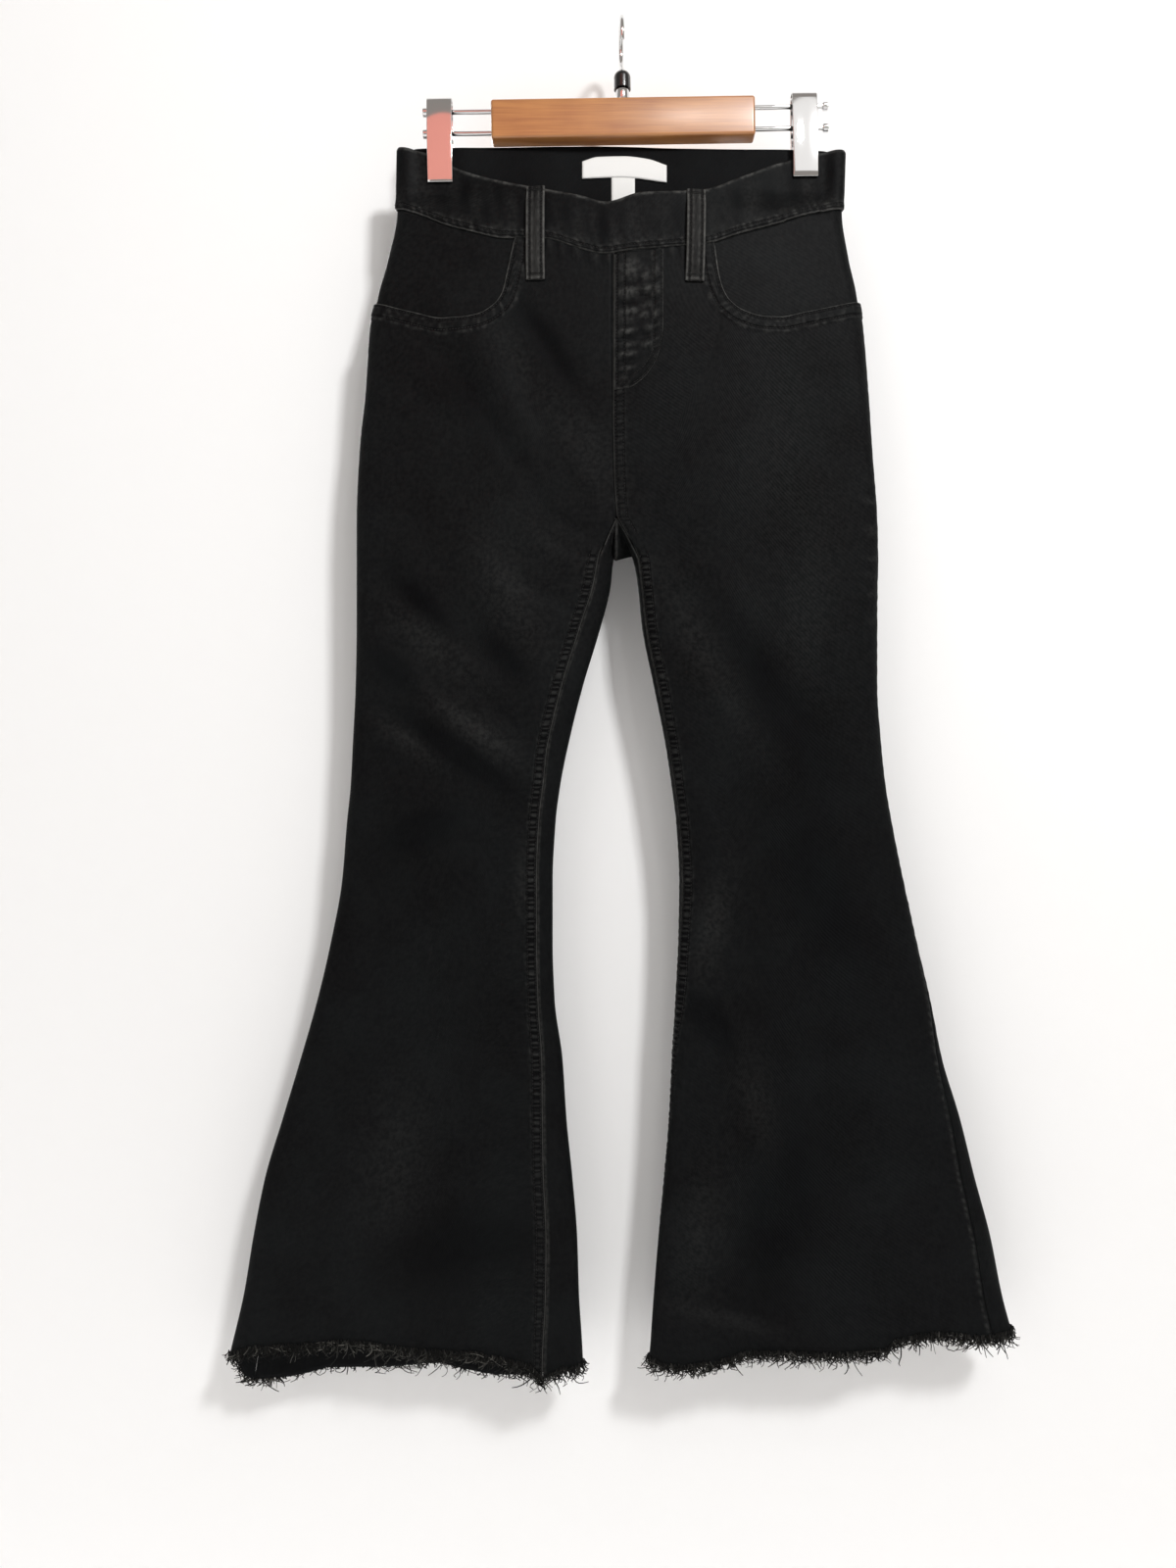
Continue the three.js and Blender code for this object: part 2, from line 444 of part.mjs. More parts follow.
function frontPanel(half) {
  const topHeight = (x) => frontTop(half, x);
  const starts = topShares(half);
  return panelRows(topHeight).map(({ level, height }) => COLUMNS.map((u, j) => {
    const settled = smoothstep(COLUMN_BLEND.from, COLUMN_BLEND.to, level);
    return piecePoint(half, 'front', mix(starts[j], u, settled), level, (x, side) => height(x, side, half));
  }));
}

// Round the crotch the back panel's centre seam passes under and up to the join, where the four
// panels meet. share says how far a row has gone from body to leg; y and z place the seam.
const SEAT = [
  { share: 0, y: 8, z: -403 },
  { share: 0.3, y: -0.5, z: -411.5 },
  { share: 0.55, meets: CROTCH.join },
  { share: 0.8, meets: CROTCH.middle },
];
const SEAT_PULL = { from: 0.86, power: 2 };

function backPanel(half, front) {
  const last = COLUMNS.length - 1;
  const rowAt = ({ level, height }) => COLUMNS.map((u) =>
    piecePoint(half, 'back', u, level, (x, side) => height(x, side, half)));
  const frontEdge = (z) => front.find((row) => Math.abs(row[last].z - z) < 0.01)[last];
  const rows = panelRows((x) => yokeSeam(x) - GAP);
  const body = rows.filter(({ level }) => level > CROTCH.seat + 5).map(rowAt);
  const leg = rows.filter(({ level }) => level < CROTCH.low + 0.01).map(rowAt);
  const above = rowAt({ level: CROTCH.seat, height: () => CROTCH.seat });
  const seats = SEAT.map(({ share, y, z, meets }) => {
    const blended = above.map(({ point }, j) => point.clone().lerp(leg[0][j].point, share));
    const target = meets ? frontEdge(meets).point.clone()
      : new THREE.Vector3(CENTRE_SEAM[0].x - half.inward * GAP / 2, y, z);
    if (meets === CROTCH.join) target.z -= 5 * GAP;
    if (meets === CROTCH.middle) target.x += half.inward * 2 * GAP;
    const shift = target.sub(blended[last]);
    return blended.map((point, j) => {
      const pull = Math.max(0, (COLUMNS[j] - SEAT_PULL.from) / (1 - SEAT_PULL.from)) ** SEAT_PULL.power;
      const normal = above[j].normal.clone().lerp(leg[0][j].normal, share).normalize();
      return { point: point.addScaledVector(shift, pull), normal };
    });
  });
  const grid = [...body, ...seats, ...leg];
  seats.forEach((row, k) => row.forEach((cell, j) => {
    if (COLUMNS[j] < SEAT_PULL.from) return;
    const i = body.length + k;
    const across = grid[i][Math.min(j + 1, last)].point.clone().sub(grid[i][Math.max(j - 1, 0)].point);
    const down = grid[i + 1][j].point.clone().sub(grid[i - 1][j].point);
    cell.normal = across.cross(down).multiplyScalar(half.inward).normalize();
    if (j !== last) return;
    if (SEAT[k].meets) cell.normal.copy(frontEdge(SEAT[k].meets).normal);
    cell.normal.setX(SEAT[k].meets === CROTCH.middle ? cell.normal.x : 0).normalize();
  }));
  return grid;
}

// A smaller piece of one half between two heights over x, at shares us of the way across.
function patch(half, side, us, shares, topHeight, lowHeight) {
  return shares.map((share) => us.map((u) =>
    piecePoint(half, side, u, -160, (x) => mix(topHeight(x), lowHeight(x), share))));
}

const YOKE_SHARES = [0, 0.35, 0.7, 1];
function yoke(half) {
  return patch(half, 'back', COLUMNS, YOKE_SHARES, (x) => waistSeam('back', x) - GAP, yokeSeam);
}

// The facing runs on under the front panel, past the mouth's edge, on the same columns.
function pocketFacing(half) {
  const inPocketShares = topShares(half).filter((u, j) => j === 0 || inPocket(half, TOP_STATIONS[half.name][j - 1]));
  const us = [...inPocketShares, half.shareAt('front', pocketTop(half) + half.inward * POCKET_LAP, -178)];
  const low = (x) => pocketMouth(half, x - half.inward * POCKET_LAP) - POCKET_LAP;
  return patch(half, 'front', us, [0, 0.2, 0.4, 0.6, 0.8, 1], (x) => waistSeam('front', x) - GAP, low);
}

// Where the pieces under the waistband have their columns, so that its edge can follow theirs.
const sewnAt = { front: [], back: [] };
const hemRows = {};
const noteColumns = (side, grid) => sewnAt[side].push(...grid[0].map(({ point }) => point.x));

for (const half of Object.values(halves)) {
  const front = frontPanel(half);
  const facing = pocketFacing(half);
  const back = backPanel(half, front);
  const backTop = yoke(half);
  hemRows[half.name] = { front: front.at(-1), back: back.at(-1) };
  noteColumns('front', [front[0].filter(({ point }) => !inPocket(half, point.x))]);
  noteColumns('front', [facing[0].filter(({ point }) => inPocket(half, point.x))]);
  noteColumns('back', backTop);
  place(`front_panel_${half.name}`, wall(front, CLOTH, half.inward), blackDenim);
  place(`back_panel_${half.name}`, wall(back, CLOTH, -half.inward), blackDenim);
  place(`back_yoke_${half.name}`, wall(backTop, CLOTH, -half.inward), blackDenim);
  place(`pocket_facing_${half.name}`, wall(facing, CLOTH, half.inward, -CLOTH - 3 * GAP), blackDenim);
}

// A spot on the body's front or back face above the crotch, found by x and height.
function bodySpot(side, x, z) {
  const half = x < along(CENTRE_SEAM, 'z', 'x', z) ? halves.left : halves.right;
  const facing = side === 'front' ? -1 : 1;
  const step = 0.5;
  const depth = (dx, dz) => half.depth(side, x + dx, z + dz);
  const slopeX = (depth(step, 0) - depth(-step, 0)) / (2 * step);
  const slopeZ = (depth(0, step) - depth(0, -step)) / (2 * step);
  return {
    point: new THREE.Vector3(x, facing * depth(0, 0), z),
    normal: new THREE.Vector3(-slopeX, facing, -slopeZ).normalize(),
  };
}

// The waistband's level sections run from side seam to side seam, past both clips.
const BAND_ENDS = [{ at: 'top', left: -172, right: 171.8 }, { at: 'seam', left: -173, right: 170.3 }];
const BAND_ROLLS = [-0.3, 0.3, 0.85, 1.3];
const BAND_STATIONS = [-154, -140, -125, 129, 141, 154];
const BAND_REACH = 157;
const STATION_SPACE = 1.5;
const BAND_SHARES = [0, 0.28, 0.52, 0.76, 1];

function bandStations(side) {
  const sewn = sewnAt[side].filter((x) => Math.abs(x) < BAND_REACH).sort((a, b) => a - b);
  const spaced = sewn.filter((x, i) => i === 0 || x - sewn[i - 1] > STATION_SPACE / 2);
  const added = BAND_STATIONS.filter((x) => spaced.every((other) => Math.abs(x - other) > STATION_SPACE));
  return [...spaced, ...added].sort((a, b) => a - b);
}

function waistband(side) {
  const topEdge = side === 'front' ? FRONT_TOP_EDGE : BACK_TOP_EDGE;
  const seamAngle = (side === 'front' ? 1 : -1) * rollAngle(LEFT_LEG[0].outseam) + GAP / 2 / ROLL;
  const angles = [seamAngle, ...BAND_ROLLS.filter((angle) => angle > seamAngle + 0.1)];
  return BAND_SHARES.map((share) => {
    const left = mix(BAND_ENDS[0].left, BAND_ENDS[1].left, share);
    const right = mix(BAND_ENDS[0].right, BAND_ENDS[1].right, share);
    const zAt = (x) => mix(along(topEdge, 'x', 'z', x), waistSeam(side, x), share);
    const rolled = (end, inward, angle) => {
      const x = end + inward * rollOffset(Math.abs(angle));
      const facing = (side === 'front') === (angle >= 0) ? 'front' : 'back';
      const spot = bodySpot(facing, x, zAt(x));
      const reach = Math.abs(spot.point.y);
      const flip = facing === 'front' ? -1 : 1;
      spot.point.y = flip * reach * Math.sin(Math.abs(angle));
      const out = new THREE.Vector3(-inward * reach * Math.cos(angle), flip * ROLL * Math.sin(Math.abs(angle)), 0);
      return { point: spot.point, normal: out.normalize() };
    };
    return [
      ...angles.map((angle) => rolled(left, 1, angle)),
      ...bandStations(side).map((x) => bodySpot(side, x, zAt(x))),
      ...[...angles].reverse().map((angle) => rolled(right, -1, angle)),
    ];
  });
}
place('waistband_front', wall(waistband('front'), BAND, 1), blackDenim);
place('waistband_back', wall(waistband('back'), BAND, -1), blackDenim);

// A flat piece that lies on the body, or inside it where lift is below 0.
function laid(side, stations, shares, topHeight, lowHeight) {
  return shares.map((share) => stations.map((x) => bodySpot(side, x, mix(topHeight(x), lowHeight(x), share))));
}

// Belt loops stand off the waistband between their two sewn ends.
const LOOPS = [
  { name: 'belt_loop_front_left', side: 'front', x: -64.6, lean: 0, below: 32 },
  { name: 'belt_loop_front_right', side: 'front', x: 54.8, lean: 1.5, below: 28 },
  { name: 'belt_loop_back_left', side: 'back', x: -96, lean: 0, below: 24 },
  { name: 'belt_loop_back_centre', side: 'back', x: -4, lean: 0, below: 24 },
  { name: 'belt_loop_back_right', side: 'back', x: 98, lean: 0, below: 24 },
];
const LOOP_STANCE = [
  { share: 0, off: GAP }, { share: 0.07, off: GAP }, { share: 0.17, off: 1.8 }, { share: 0.5, off: 2.6 },
  { share: 0.83, off: 1.8 }, { share: 0.93, off: GAP }, { share: 1, off: GAP },
];
for (const loop of LOOPS) {
  const topEdge = loop.side === 'front' ? FRONT_TOP_EDGE : BACK_TOP_EDGE;
  const top = along(topEdge, 'x', 'z', loop.x) - 1;
  const low = waistSeam(loop.side, loop.x) - loop.below;
  const grid = LOOP_STANCE.map(({ share, off }) => [-0.5, 0, 0.5].map((across) => {
    const spot = bodySpot(loop.side, loop.x + across * LOOP_WIDTH - loop.lean * (share - 0.5), mix(top, low, share));
    spot.point.addScaledVector(spot.normal, off + LOOP_THICK);
    return spot;
  }));
  place(loop.name, wall(grid, LOOP_THICK, loop.side === 'front' ? 1 : -1), wornDenim);
}

// The mock fly: a second layer beside the centre seam that ends in a J.
const FLY_EDGE = [
  { x: -6, z: -287.5 }, { x: 5, z: -286 }, { x: 15, z: -280 }, { x: 23, z: -270 },
  { x: 28, z: -258 }, { x: 31, z: -240 },
];
const flyStations = [-6, 0, 6, 12, 18, 23, 27, 30.5];
place('mock_fly', wall(laid('front', flyStations, [0, 0.2, 0.4, 0.6, 0.8, 1],
  (x) => waistSeam('front', x) - 2, (x) => along(FLY_EDGE, 'x', 'z', x)), LAYER, 1, GAP + LAYER), blackDenim);

// The label inside the back waistband, and the tab sewn in under it. Both are blank.
const LABEL_TOP = [{ x: -30, z: -104 }, { x: -18, z: -100.5 }, { x: 2, z: -100 }, { x: 20, z: -102 }, { x: 35, z: -107 }];
const LABEL_LOW = [{ x: -30, z: -117 }, { x: 0, z: -116 }, { x: 35, z: -120 }];
const inBand = -BAND - GAP;
place('waist_label', wall(laid('back', [-30, -18, -5, 8, 21, 35], [0, 0.5, 1],
  (x) => along(LABEL_TOP, 'x', 'z', x), (x) => along(LABEL_LOW, 'x', 'z', x)), LAYER, -1, inBand), whiteSatin);
place('waist_tab', wall(laid('back', [-7.5, 1.5, 10.5], [0, 0.5, 1],
  (x) => along(LABEL_LOW, 'x', 'z', x) - GAP, () => -136), LAYER, -1, inBand), whiteSatin);

// The raw hems: a narrow strip of loose weave just past each edge, with ends hanging from it.
const FRAY = {
  thick: 1.2, height: 1.6, strands: 78, root: 0.9, sunk: 0.8, shortest: 4, longest: 13, sway: 3.2,
};

function toManifold(geometry) {
  const bare = geometry.clone();
  bare.deleteAttribute('normal');
  const merged = mergeVertices(bare, 1e-5);
  const vertProperties = Float32Array.from(merged.attributes.position.array);
  return new wasm.Manifold(new wasm.Mesh({ numProp: 3, vertProperties, triVerts: Uint32Array.from(merged.index.array) }));
}

function fromManifold(body) {
  const { vertProperties, triVerts } = body.getMesh();
  return shape(Array.from(vertProperties), Array.from(triVerts));
}

// The strip follows the panels' own lower edges once round the leg. Its section has four corners.
function frayStrip(half, ring) {
  const positions = [];
  const faces = [];
  ring.forEach(({ point, normal }, i) => {
    for (const [deep, low] of [[0, 0], [FRAY.thick, 0], [FRAY.thick, FRAY.height], [0, FRAY.height]]) {
      const corner = point.clone().addScaledVector(normal, -deep);
      positions.push(corner.x, corner.y, corner.z - GAP - low);
    }
    for (let k = 0; k < 4; k += 1) {
      const a = i * 4 + k;
      const b = i * 4 + ((k + 1) % 4);
      const c = ((i + 1) % ring.length) * 4 + ((k + 1) % 4);
      const d = ((i + 1) % ring.length) * 4 + k;
      if (half.inward > 0) faces.push(a, c, b, a, d, c);
      else faces.push(a, b, c, a, c, d);
    }
  });
  return shape(positions, faces);
}

// Places spread evenly along the middle of the strip, straight between its corners.
function stripSpots(ring, count) {
  const middle = ring.map(({ point, normal }) => point.clone().addScaledVector(normal, -FRAY.thick / 2));
  const lengths = middle.map((point, i) => point.distanceTo(middle[(i + 1) % ring.length]));
  const total = lengths.reduce((sum, length) => sum + length, 0);
  return Array.from({ length: count }, (_, k) => {
    let run = (total * (k + 0.3 + 0.4 * ((k * 0.569841) % 1))) / count;
    let i = 0;
    while (run > lengths[i]) {
      run -= lengths[i];
      i += 1;
    }
    const share = run / lengths[i];
    const next = (i + 1) % ring.length;
    const point = middle[i].clone().lerp(middle[next], share);
    point.z -= GAP + FRAY.height - FRAY.sunk;
    return { point, normal: ring[i].normal.clone().lerp(ring[next].normal, share).normalize() };
  });
}

// One loose end: three-sided, rooted in the strip, bent once and drawn to a point.
function frayStrand({ point: start, normal }, i) {
  const [part1, part2, part3] = [0.618034, 0.754878, 0.569841].map((stride) => (i * stride) % 1);
  const length = mix(FRAY.shortest, FRAY.longest, part1 ** 2.2);
  const side = new THREE.Vector3(-normal.y, normal.x, 0);
  const sway = side.clone().multiplyScalar((part2 - 0.5) * 2 * FRAY.sway).addScaledVector(normal, (part3 - 0.4) * FRAY.sway);
  const bend = start.clone().addScaledVector(sway, 0.35).add(new THREE.Vector3(0, 0, -0.55 * length - FRAY.sunk));
  const tip = start.clone().add(sway).add(new THREE.Vector3(0, 0, -length - FRAY.sunk));
  const positions = [];
  for (const [centre, size] of [[start, FRAY.root], [bend, FRAY.root * 0.7]]) {
    for (let k = 0; k < 3; k += 1) {
      const angle = (k / 3) * 2 * Math.PI;
      const corner = centre.clone().addScaledVector(side, (size / 2) * Math.cos(angle))
        .addScaledVector(normal, (size / 2) * Math.sin(angle));
      positions.push(corner.x, corner.y, corner.z);
    }
  }
  positions.push(tip.x, tip.y, tip.z);
  const faces = [0, 2, 1, 3, 4, 6, 4, 5, 6, 5, 3, 6];
  for (let k = 0; k < 3; k += 1) {
    const next = (k + 1) % 3;
    faces.push(k, next, k + 3, next, next + 3, k + 3);
  }
  return shape(positions, faces);
}

for (const half of Object.values(halves)) {
  const { front, back } = hemRows[half.name];
  const ring = [...front, ...back.slice(1, -1).reverse()].map(({ point, normal }) => (
    { point, normal: normal.clone().setZ(0).normalize() }));
  let fray = toManifold(frayStrip(half, ring));
  stripSpots(ring, FRAY.strands).forEach((spot, i) => {
    fray = fray.add(toManifold(frayStrand(spot, i)));
  });
  place(`hem_fray_${half.name}`, fromManifold(fray), frayedCotton);
}

// The hanger, tilted a little about the hook so that its right side is higher.
const HANGER_TILT = 0.9;
const BAR = { length: 201, top: -60, low: -90, depth: 15, round: 2.5 };
const ROD = { radius: 1.75, room: 0.3, left: -153, right: 157, heights: [-66, -82.5], cap: 3.2, capLength: 4 };
const CLIP = { width: 19, plate: 1.2, reach: 4.05, bow: 1.6, top: -55.4, low: -121.5, sites: [-140, 138.5] };
const COLLAR = { radius: 5.2, top: -51.2 };
const CAP = { radius: 6.4, low: -51, top: -37, dome: 5 };
const HOOK = { wire: 3.5, inside: 15, tip: 2.4, gapAngle: 205 };
hanger.rotation.y = (-HANGER_TILT * Math.PI) / 180;

// A bar's section lies in the YZ plane and is drawn along X.
function alongX(section, from, to) {
  const geometry = new THREE.ExtrudeGeometry(section, { depth: to - from, bevelEnabled: false, curveSegments: 5 });
  geometry.rotateX(Math.PI / 2).rotateZ(Math.PI / 2).translate(from, 0, 0);
  return geometry;
}

function barSection() {
  const half = BAR.depth / 2;
  const section = new THREE.Shape();
  const corners = [[-half, BAR.low, 0], [half, BAR.low, 1], [half, BAR.top, 2], [-half, BAR.top, 3]];
  section.moveTo(-half, BAR.low + BAR.round);
  for (const [y, z, turn] of corners) {
    const centreY = y - Math.sign(y) * BAR.round;
    const centreZ = z === BAR.low ? z + BAR.round : z - BAR.round;
    const start = Math.PI + (turn * Math.PI) / 2;
    section.absarc(centreY, centreZ, BAR.round, start, start + Math.PI / 2, false);
  }
  section.closePath();
  for (const z of ROD.heights) {
    const bore = new THREE.Path();
    bore.absarc(0, z, ROD.radius + ROD.room, 0, 2 * Math.PI, true);
    section.holes.push(bore);
  }
  return section;
}
place('hanger_bar', alongX(barSection(), -BAR.length / 2, BAR.length / 2), hangerWood, hanger);

// Each rod is turned from one profile, with a small stop at both ends.
for (const [i, z] of ROD.heights.entries()) {
  const profile = [
    [0, ROD.left], [ROD.cap, ROD.left], [ROD.cap, ROD.left + ROD.capLength], [ROD.radius, ROD.left + ROD.capLength],
    [ROD.radius, ROD.right - ROD.capLength], [ROD.cap, ROD.right - ROD.capLength], [ROD.cap, ROD.right], [0, ROD.right],
  ].map(([radius, x]) => new THREE.Vector2(radius, x));
  const rod = new THREE.LatheGeometry(profile, 12).rotateZ(-Math.PI / 2).translate(0, 0, z);
  place(`hanger_rod_${i + 1}`, rod, chrome, hanger);
}

// A clip is one bent plate over the rods, its two jaws closed on the waistband.
function clipSection() {
  const { reach, plate, bow, top, low } = CLIP;
  const shoulder = top - 6;
  const bowed = (low + shoulder) / 2;
  const section = new THREE.Shape();
  section.moveTo(-reach - plate, low);
  section.quadraticCurveTo(-reach - plate - 2 * bow, bowed, -reach - plate, shoulder);
  section.quadraticCurveTo(-reach - plate, top, 0, top);
  section.quadraticCurveTo(reach + plate, top, reach + plate, shoulder);
  section.quadraticCurveTo(reach + plate + 2 * bow, bowed, reach + plate, low);
  section.lineTo(reach, low);
  section.quadraticCurveTo(reach + 2 * bow, bowed, reach, shoulder);
  section.quadraticCurveTo(reach, top - plate, 0, top - plate);
  section.quadraticCurveTo(-reach, top - plate, -reach, shoulder);
  section.quadraticCurveTo(-reach - 2 * bow, bowed, -reach, low);
  section.closePath();
  return section;
}
for (const [i, x] of CLIP.sites.entries()) {
  const clip = alongX(clipSection(), x - CLIP.width / 2, x + CLIP.width / 2);
  place(`hanger_clip_${i === 0 ? 'left' : 'right'}`, clip, chrome, hanger);
}

const lathe = (pairs) => new THREE.LatheGeometry(pairs.map(([r, z]) => new THREE.Vector2(r, z)), 20).rotateX(Math.PI / 2);
const collar = [[0, BAR.top + GAP], [COLLAR.radius, BAR.top + GAP], [COLLAR.radius, COLLAR.top - 1.5],
  [COLLAR.radius - 1.2, COLLAR.top], [0, COLLAR.top]];
place('hanger_collar', lathe(collar), chrome, hanger);
const domed = [0, 0.25, 0.5, 0.75].map((t) => {
  const angle = (t * Math.PI) / 2;
  return [CAP.radius * Math.cos(angle), CAP.top - CAP.dome + CAP.dome * Math.sin(angle)];
});
place('hanger_cap', lathe([[0, CAP.low + GAP], [CAP.radius, CAP.low + GAP], ...domed, [0, CAP.top]]), blackPlastic, hanger);

// The hook turns edge-on to the front. Its neck rises from the cap and rounds over to an open tip.
const hookRadius = HOOK.inside + HOOK.wire / 2;
const hookPoints = [new THREE.Vector3(0, 0, CAP.top + GAP), new THREE.Vector3(0, 0, CAP.top + 1.4)];
for (let angle = -62; angle <= HOOK.gapAngle; angle += 22) {
  const turn = (angle * Math.PI) / 180;
  hookPoints.push(new THREE.Vector3(0, hookRadius * Math.cos(turn), -HOOK.inside + hookRadius * Math.sin(turn)));
}
const wireSection = new THREE.Shape();
wireSection.absarc(0, 0, HOOK.wire / 2, 0, 2 * Math.PI, false);
const hookPath = new THREE.CatmullRomCurve3(hookPoints, false, 'centripetal');
const hookWire = new THREE.ExtrudeGeometry(wireSection, { extrudePath: hookPath, steps: 20, curveSegments: 5, bevelEnabled: false });
place('hanger_hook', hookWire, chrome, hanger);

export default part;
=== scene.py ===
"""Flared jeans on a clip hanger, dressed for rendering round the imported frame.

The cloth pieces are thin shells on the forms of the frame's panels, with their folds, drawn
seams, stitching and frayed edges. The hanger is modelled from primitives. Tables are in mm.
"""
import logging
import math
from dataclasses import dataclass, field
from enum import Enum
from typing import Callable, Sequence

import bpy
import numpy as np
from mathutils import Matrix, Vector


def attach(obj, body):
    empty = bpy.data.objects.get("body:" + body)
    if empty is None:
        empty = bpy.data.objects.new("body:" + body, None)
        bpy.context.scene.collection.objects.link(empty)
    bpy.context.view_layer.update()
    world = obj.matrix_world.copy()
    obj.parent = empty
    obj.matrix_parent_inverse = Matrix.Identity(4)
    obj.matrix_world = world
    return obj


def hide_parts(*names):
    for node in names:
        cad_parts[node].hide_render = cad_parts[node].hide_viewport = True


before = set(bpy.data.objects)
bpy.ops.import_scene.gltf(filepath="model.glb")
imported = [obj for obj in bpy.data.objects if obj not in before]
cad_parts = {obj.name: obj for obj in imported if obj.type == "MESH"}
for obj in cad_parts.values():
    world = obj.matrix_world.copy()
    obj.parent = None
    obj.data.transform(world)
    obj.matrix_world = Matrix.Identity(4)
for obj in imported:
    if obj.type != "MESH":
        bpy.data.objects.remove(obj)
LOG = logging.getLogger("jeans")

# Sizes in mm
MM = 0.001
CLOTH = 1.4              # stretch denim wall
BAND = 2.8               # waistband, folded double
GAP = 0.3                # between pieces that meet
ROLL = 11.0              # width over which a side rolls from front to back
LAYER = 0.9              # thin layer that lies on a panel
LOOP_WIDTH = 14.0
LOOP_THICK = 1.8
POCKET_LAP = 14.0
TOP_ZONE = -237.0
HEM_ZONE = -950.0
CROTCH_JOIN = -380.0
CROTCH_MIDDLE = -396.0
CROTCH_SEAT = -403.0
CROTCH_LOW = -411.0
PINCH_FULL = -128.0
PINCH_GONE = -154.0
PASSES = 6               # times a sloped row's heights are settled

# The photograph's camera: level, straight on, with its image 1200 by 1600
CAMERA_AT = (-25.5, -900.0, -582.0)
LENS = 27.0
SENSOR = 36.0
WALL_Y = 46.0
FLOOR_Z = -1300.0


class Side(Enum):
    """The face of the jeans that a piece lies on."""

    FRONT = "front"
    BACK = "back"

    @property
    def facing(self) -> int:
        """The sign of Y on this side."""
        return -1 if self is Side.FRONT else 1

    @property
    def other(self) -> "Side":
        """The opposite face."""
        return Side.BACK if self is Side.FRONT else Side.FRONT


class Hand(Enum):
    """The viewer's left or right, looking at the front."""

    LEFT = "left"
    RIGHT = "right"

    @property
    def inward(self) -> int:
        """The sign of X from this hand's outseam towards the middle."""
        return 1 if self is Hand.LEFT else -1


def monotone(xs: np.ndarray, ys: np.ndarray, at: np.ndarray) -> np.ndarray:
    """Read a smooth curve through points that never swings past them.

    Args:
        xs: Rising places of the points.
        ys: Values there.
        at: Places to read at, held to the ends.

    Returns:
        The curve's values.
    """
    slopes = np.diff(ys) / np.diff(xs)
    before, after = slopes[:-1], slopes[1:]
    same = before * after > 0
    middle = np.where(same, 2 * before * after / np.where(same, before + after, 1.0), 0.0)
    tangents = np.concatenate([slopes[:1], middle, slopes[-1:]])
    at = np.clip(at, xs[0], xs[-1])
    i = np.clip(np.searchsorted(xs, at) - 1, 0, len(xs) - 2)
    span = xs[i + 1] - xs[i]
    t = (at - xs[i]) / span
    bend = t * t * (3 - 2 * t)
    lift = t * (1 - t) ** 2 * tangents[i] - t * t * (1 - t) * tangents[i + 1]
    return ys[i] * (1 - bend) + ys[i + 1] * bend + span * lift


def smoothstep(low: float, high: float, at: np.ndarray) -> np.ndarray:
    """Rise smoothly from 0 at low to 1 at high."""
    t = np.clip((at - low) / (high - low), 0.0, 1.0)
    return t * t * (3 - 2 * t)


def mix(a: np.ndarray, b: np.ndarray, t: np.ndarray) -> np.ndarray:
    """Go the share t of the way from a to b."""
    return a + (b - a) * t


def wobble(at: np.ndarray, period: float, seed: float) -> np.ndarray:
    """Give an uneven wave between about -1 and 1 whose crests are about a period apart."""
    turn = 2 * math.pi * at / period
    drift = 1.3 * np.sin(turn / 3.7 + seed) + 0.8 * np.sin(turn / 6.1 + 2.3 * seed)
    return np.sin(turn + drift + seed)


@dataclass(frozen=True)
class Table:
    """Named columns of sizes, read as smooth curves."""

    columns: tuple[str, ...]
    rows: tuple[tuple[float, ...], ...]

    def column(self, name: str) -> np.ndarray:
        """Give one column as an array."""
        place = self.columns.index(name)
        return np.array([row[place] for row in self.rows], dtype=float)

    def curve(self, name: str, at: np.ndarray) -> np.ndarray:
        """Read a column over the table's first one."""
        xs, ys = self.column(self.columns[0]), self.column(name)
        if xs[0] > xs[-1]:
            xs, ys = xs[::-1], ys[::-1]
        return monotone(xs, ys, np.asarray(at, dtype=float))


@dataclass(frozen=True)
class Fold:
    """A soft ridge, or a trough where its height is below 0."""

    side: Side
    x: float
    z: float
    turn: float          # degrees from the level
    length: float
    width: float
    height: float

    def depth(self, x: np.ndarray, z: np.ndarray) -> np.ndarray:
        """Give how far the cloth stands out for this fold at each place."""
        turn = math.radians(self.turn)
        dx, dz = x - self.x, z - self.z
        run = (dx * math.cos(turn) + dz * math.sin(turn)) / self.length
        across = (dz * math.cos(turn) - dx * math.sin(turn)) / self.width
        return self.height * np.exp(-2 * run * run - across * across)


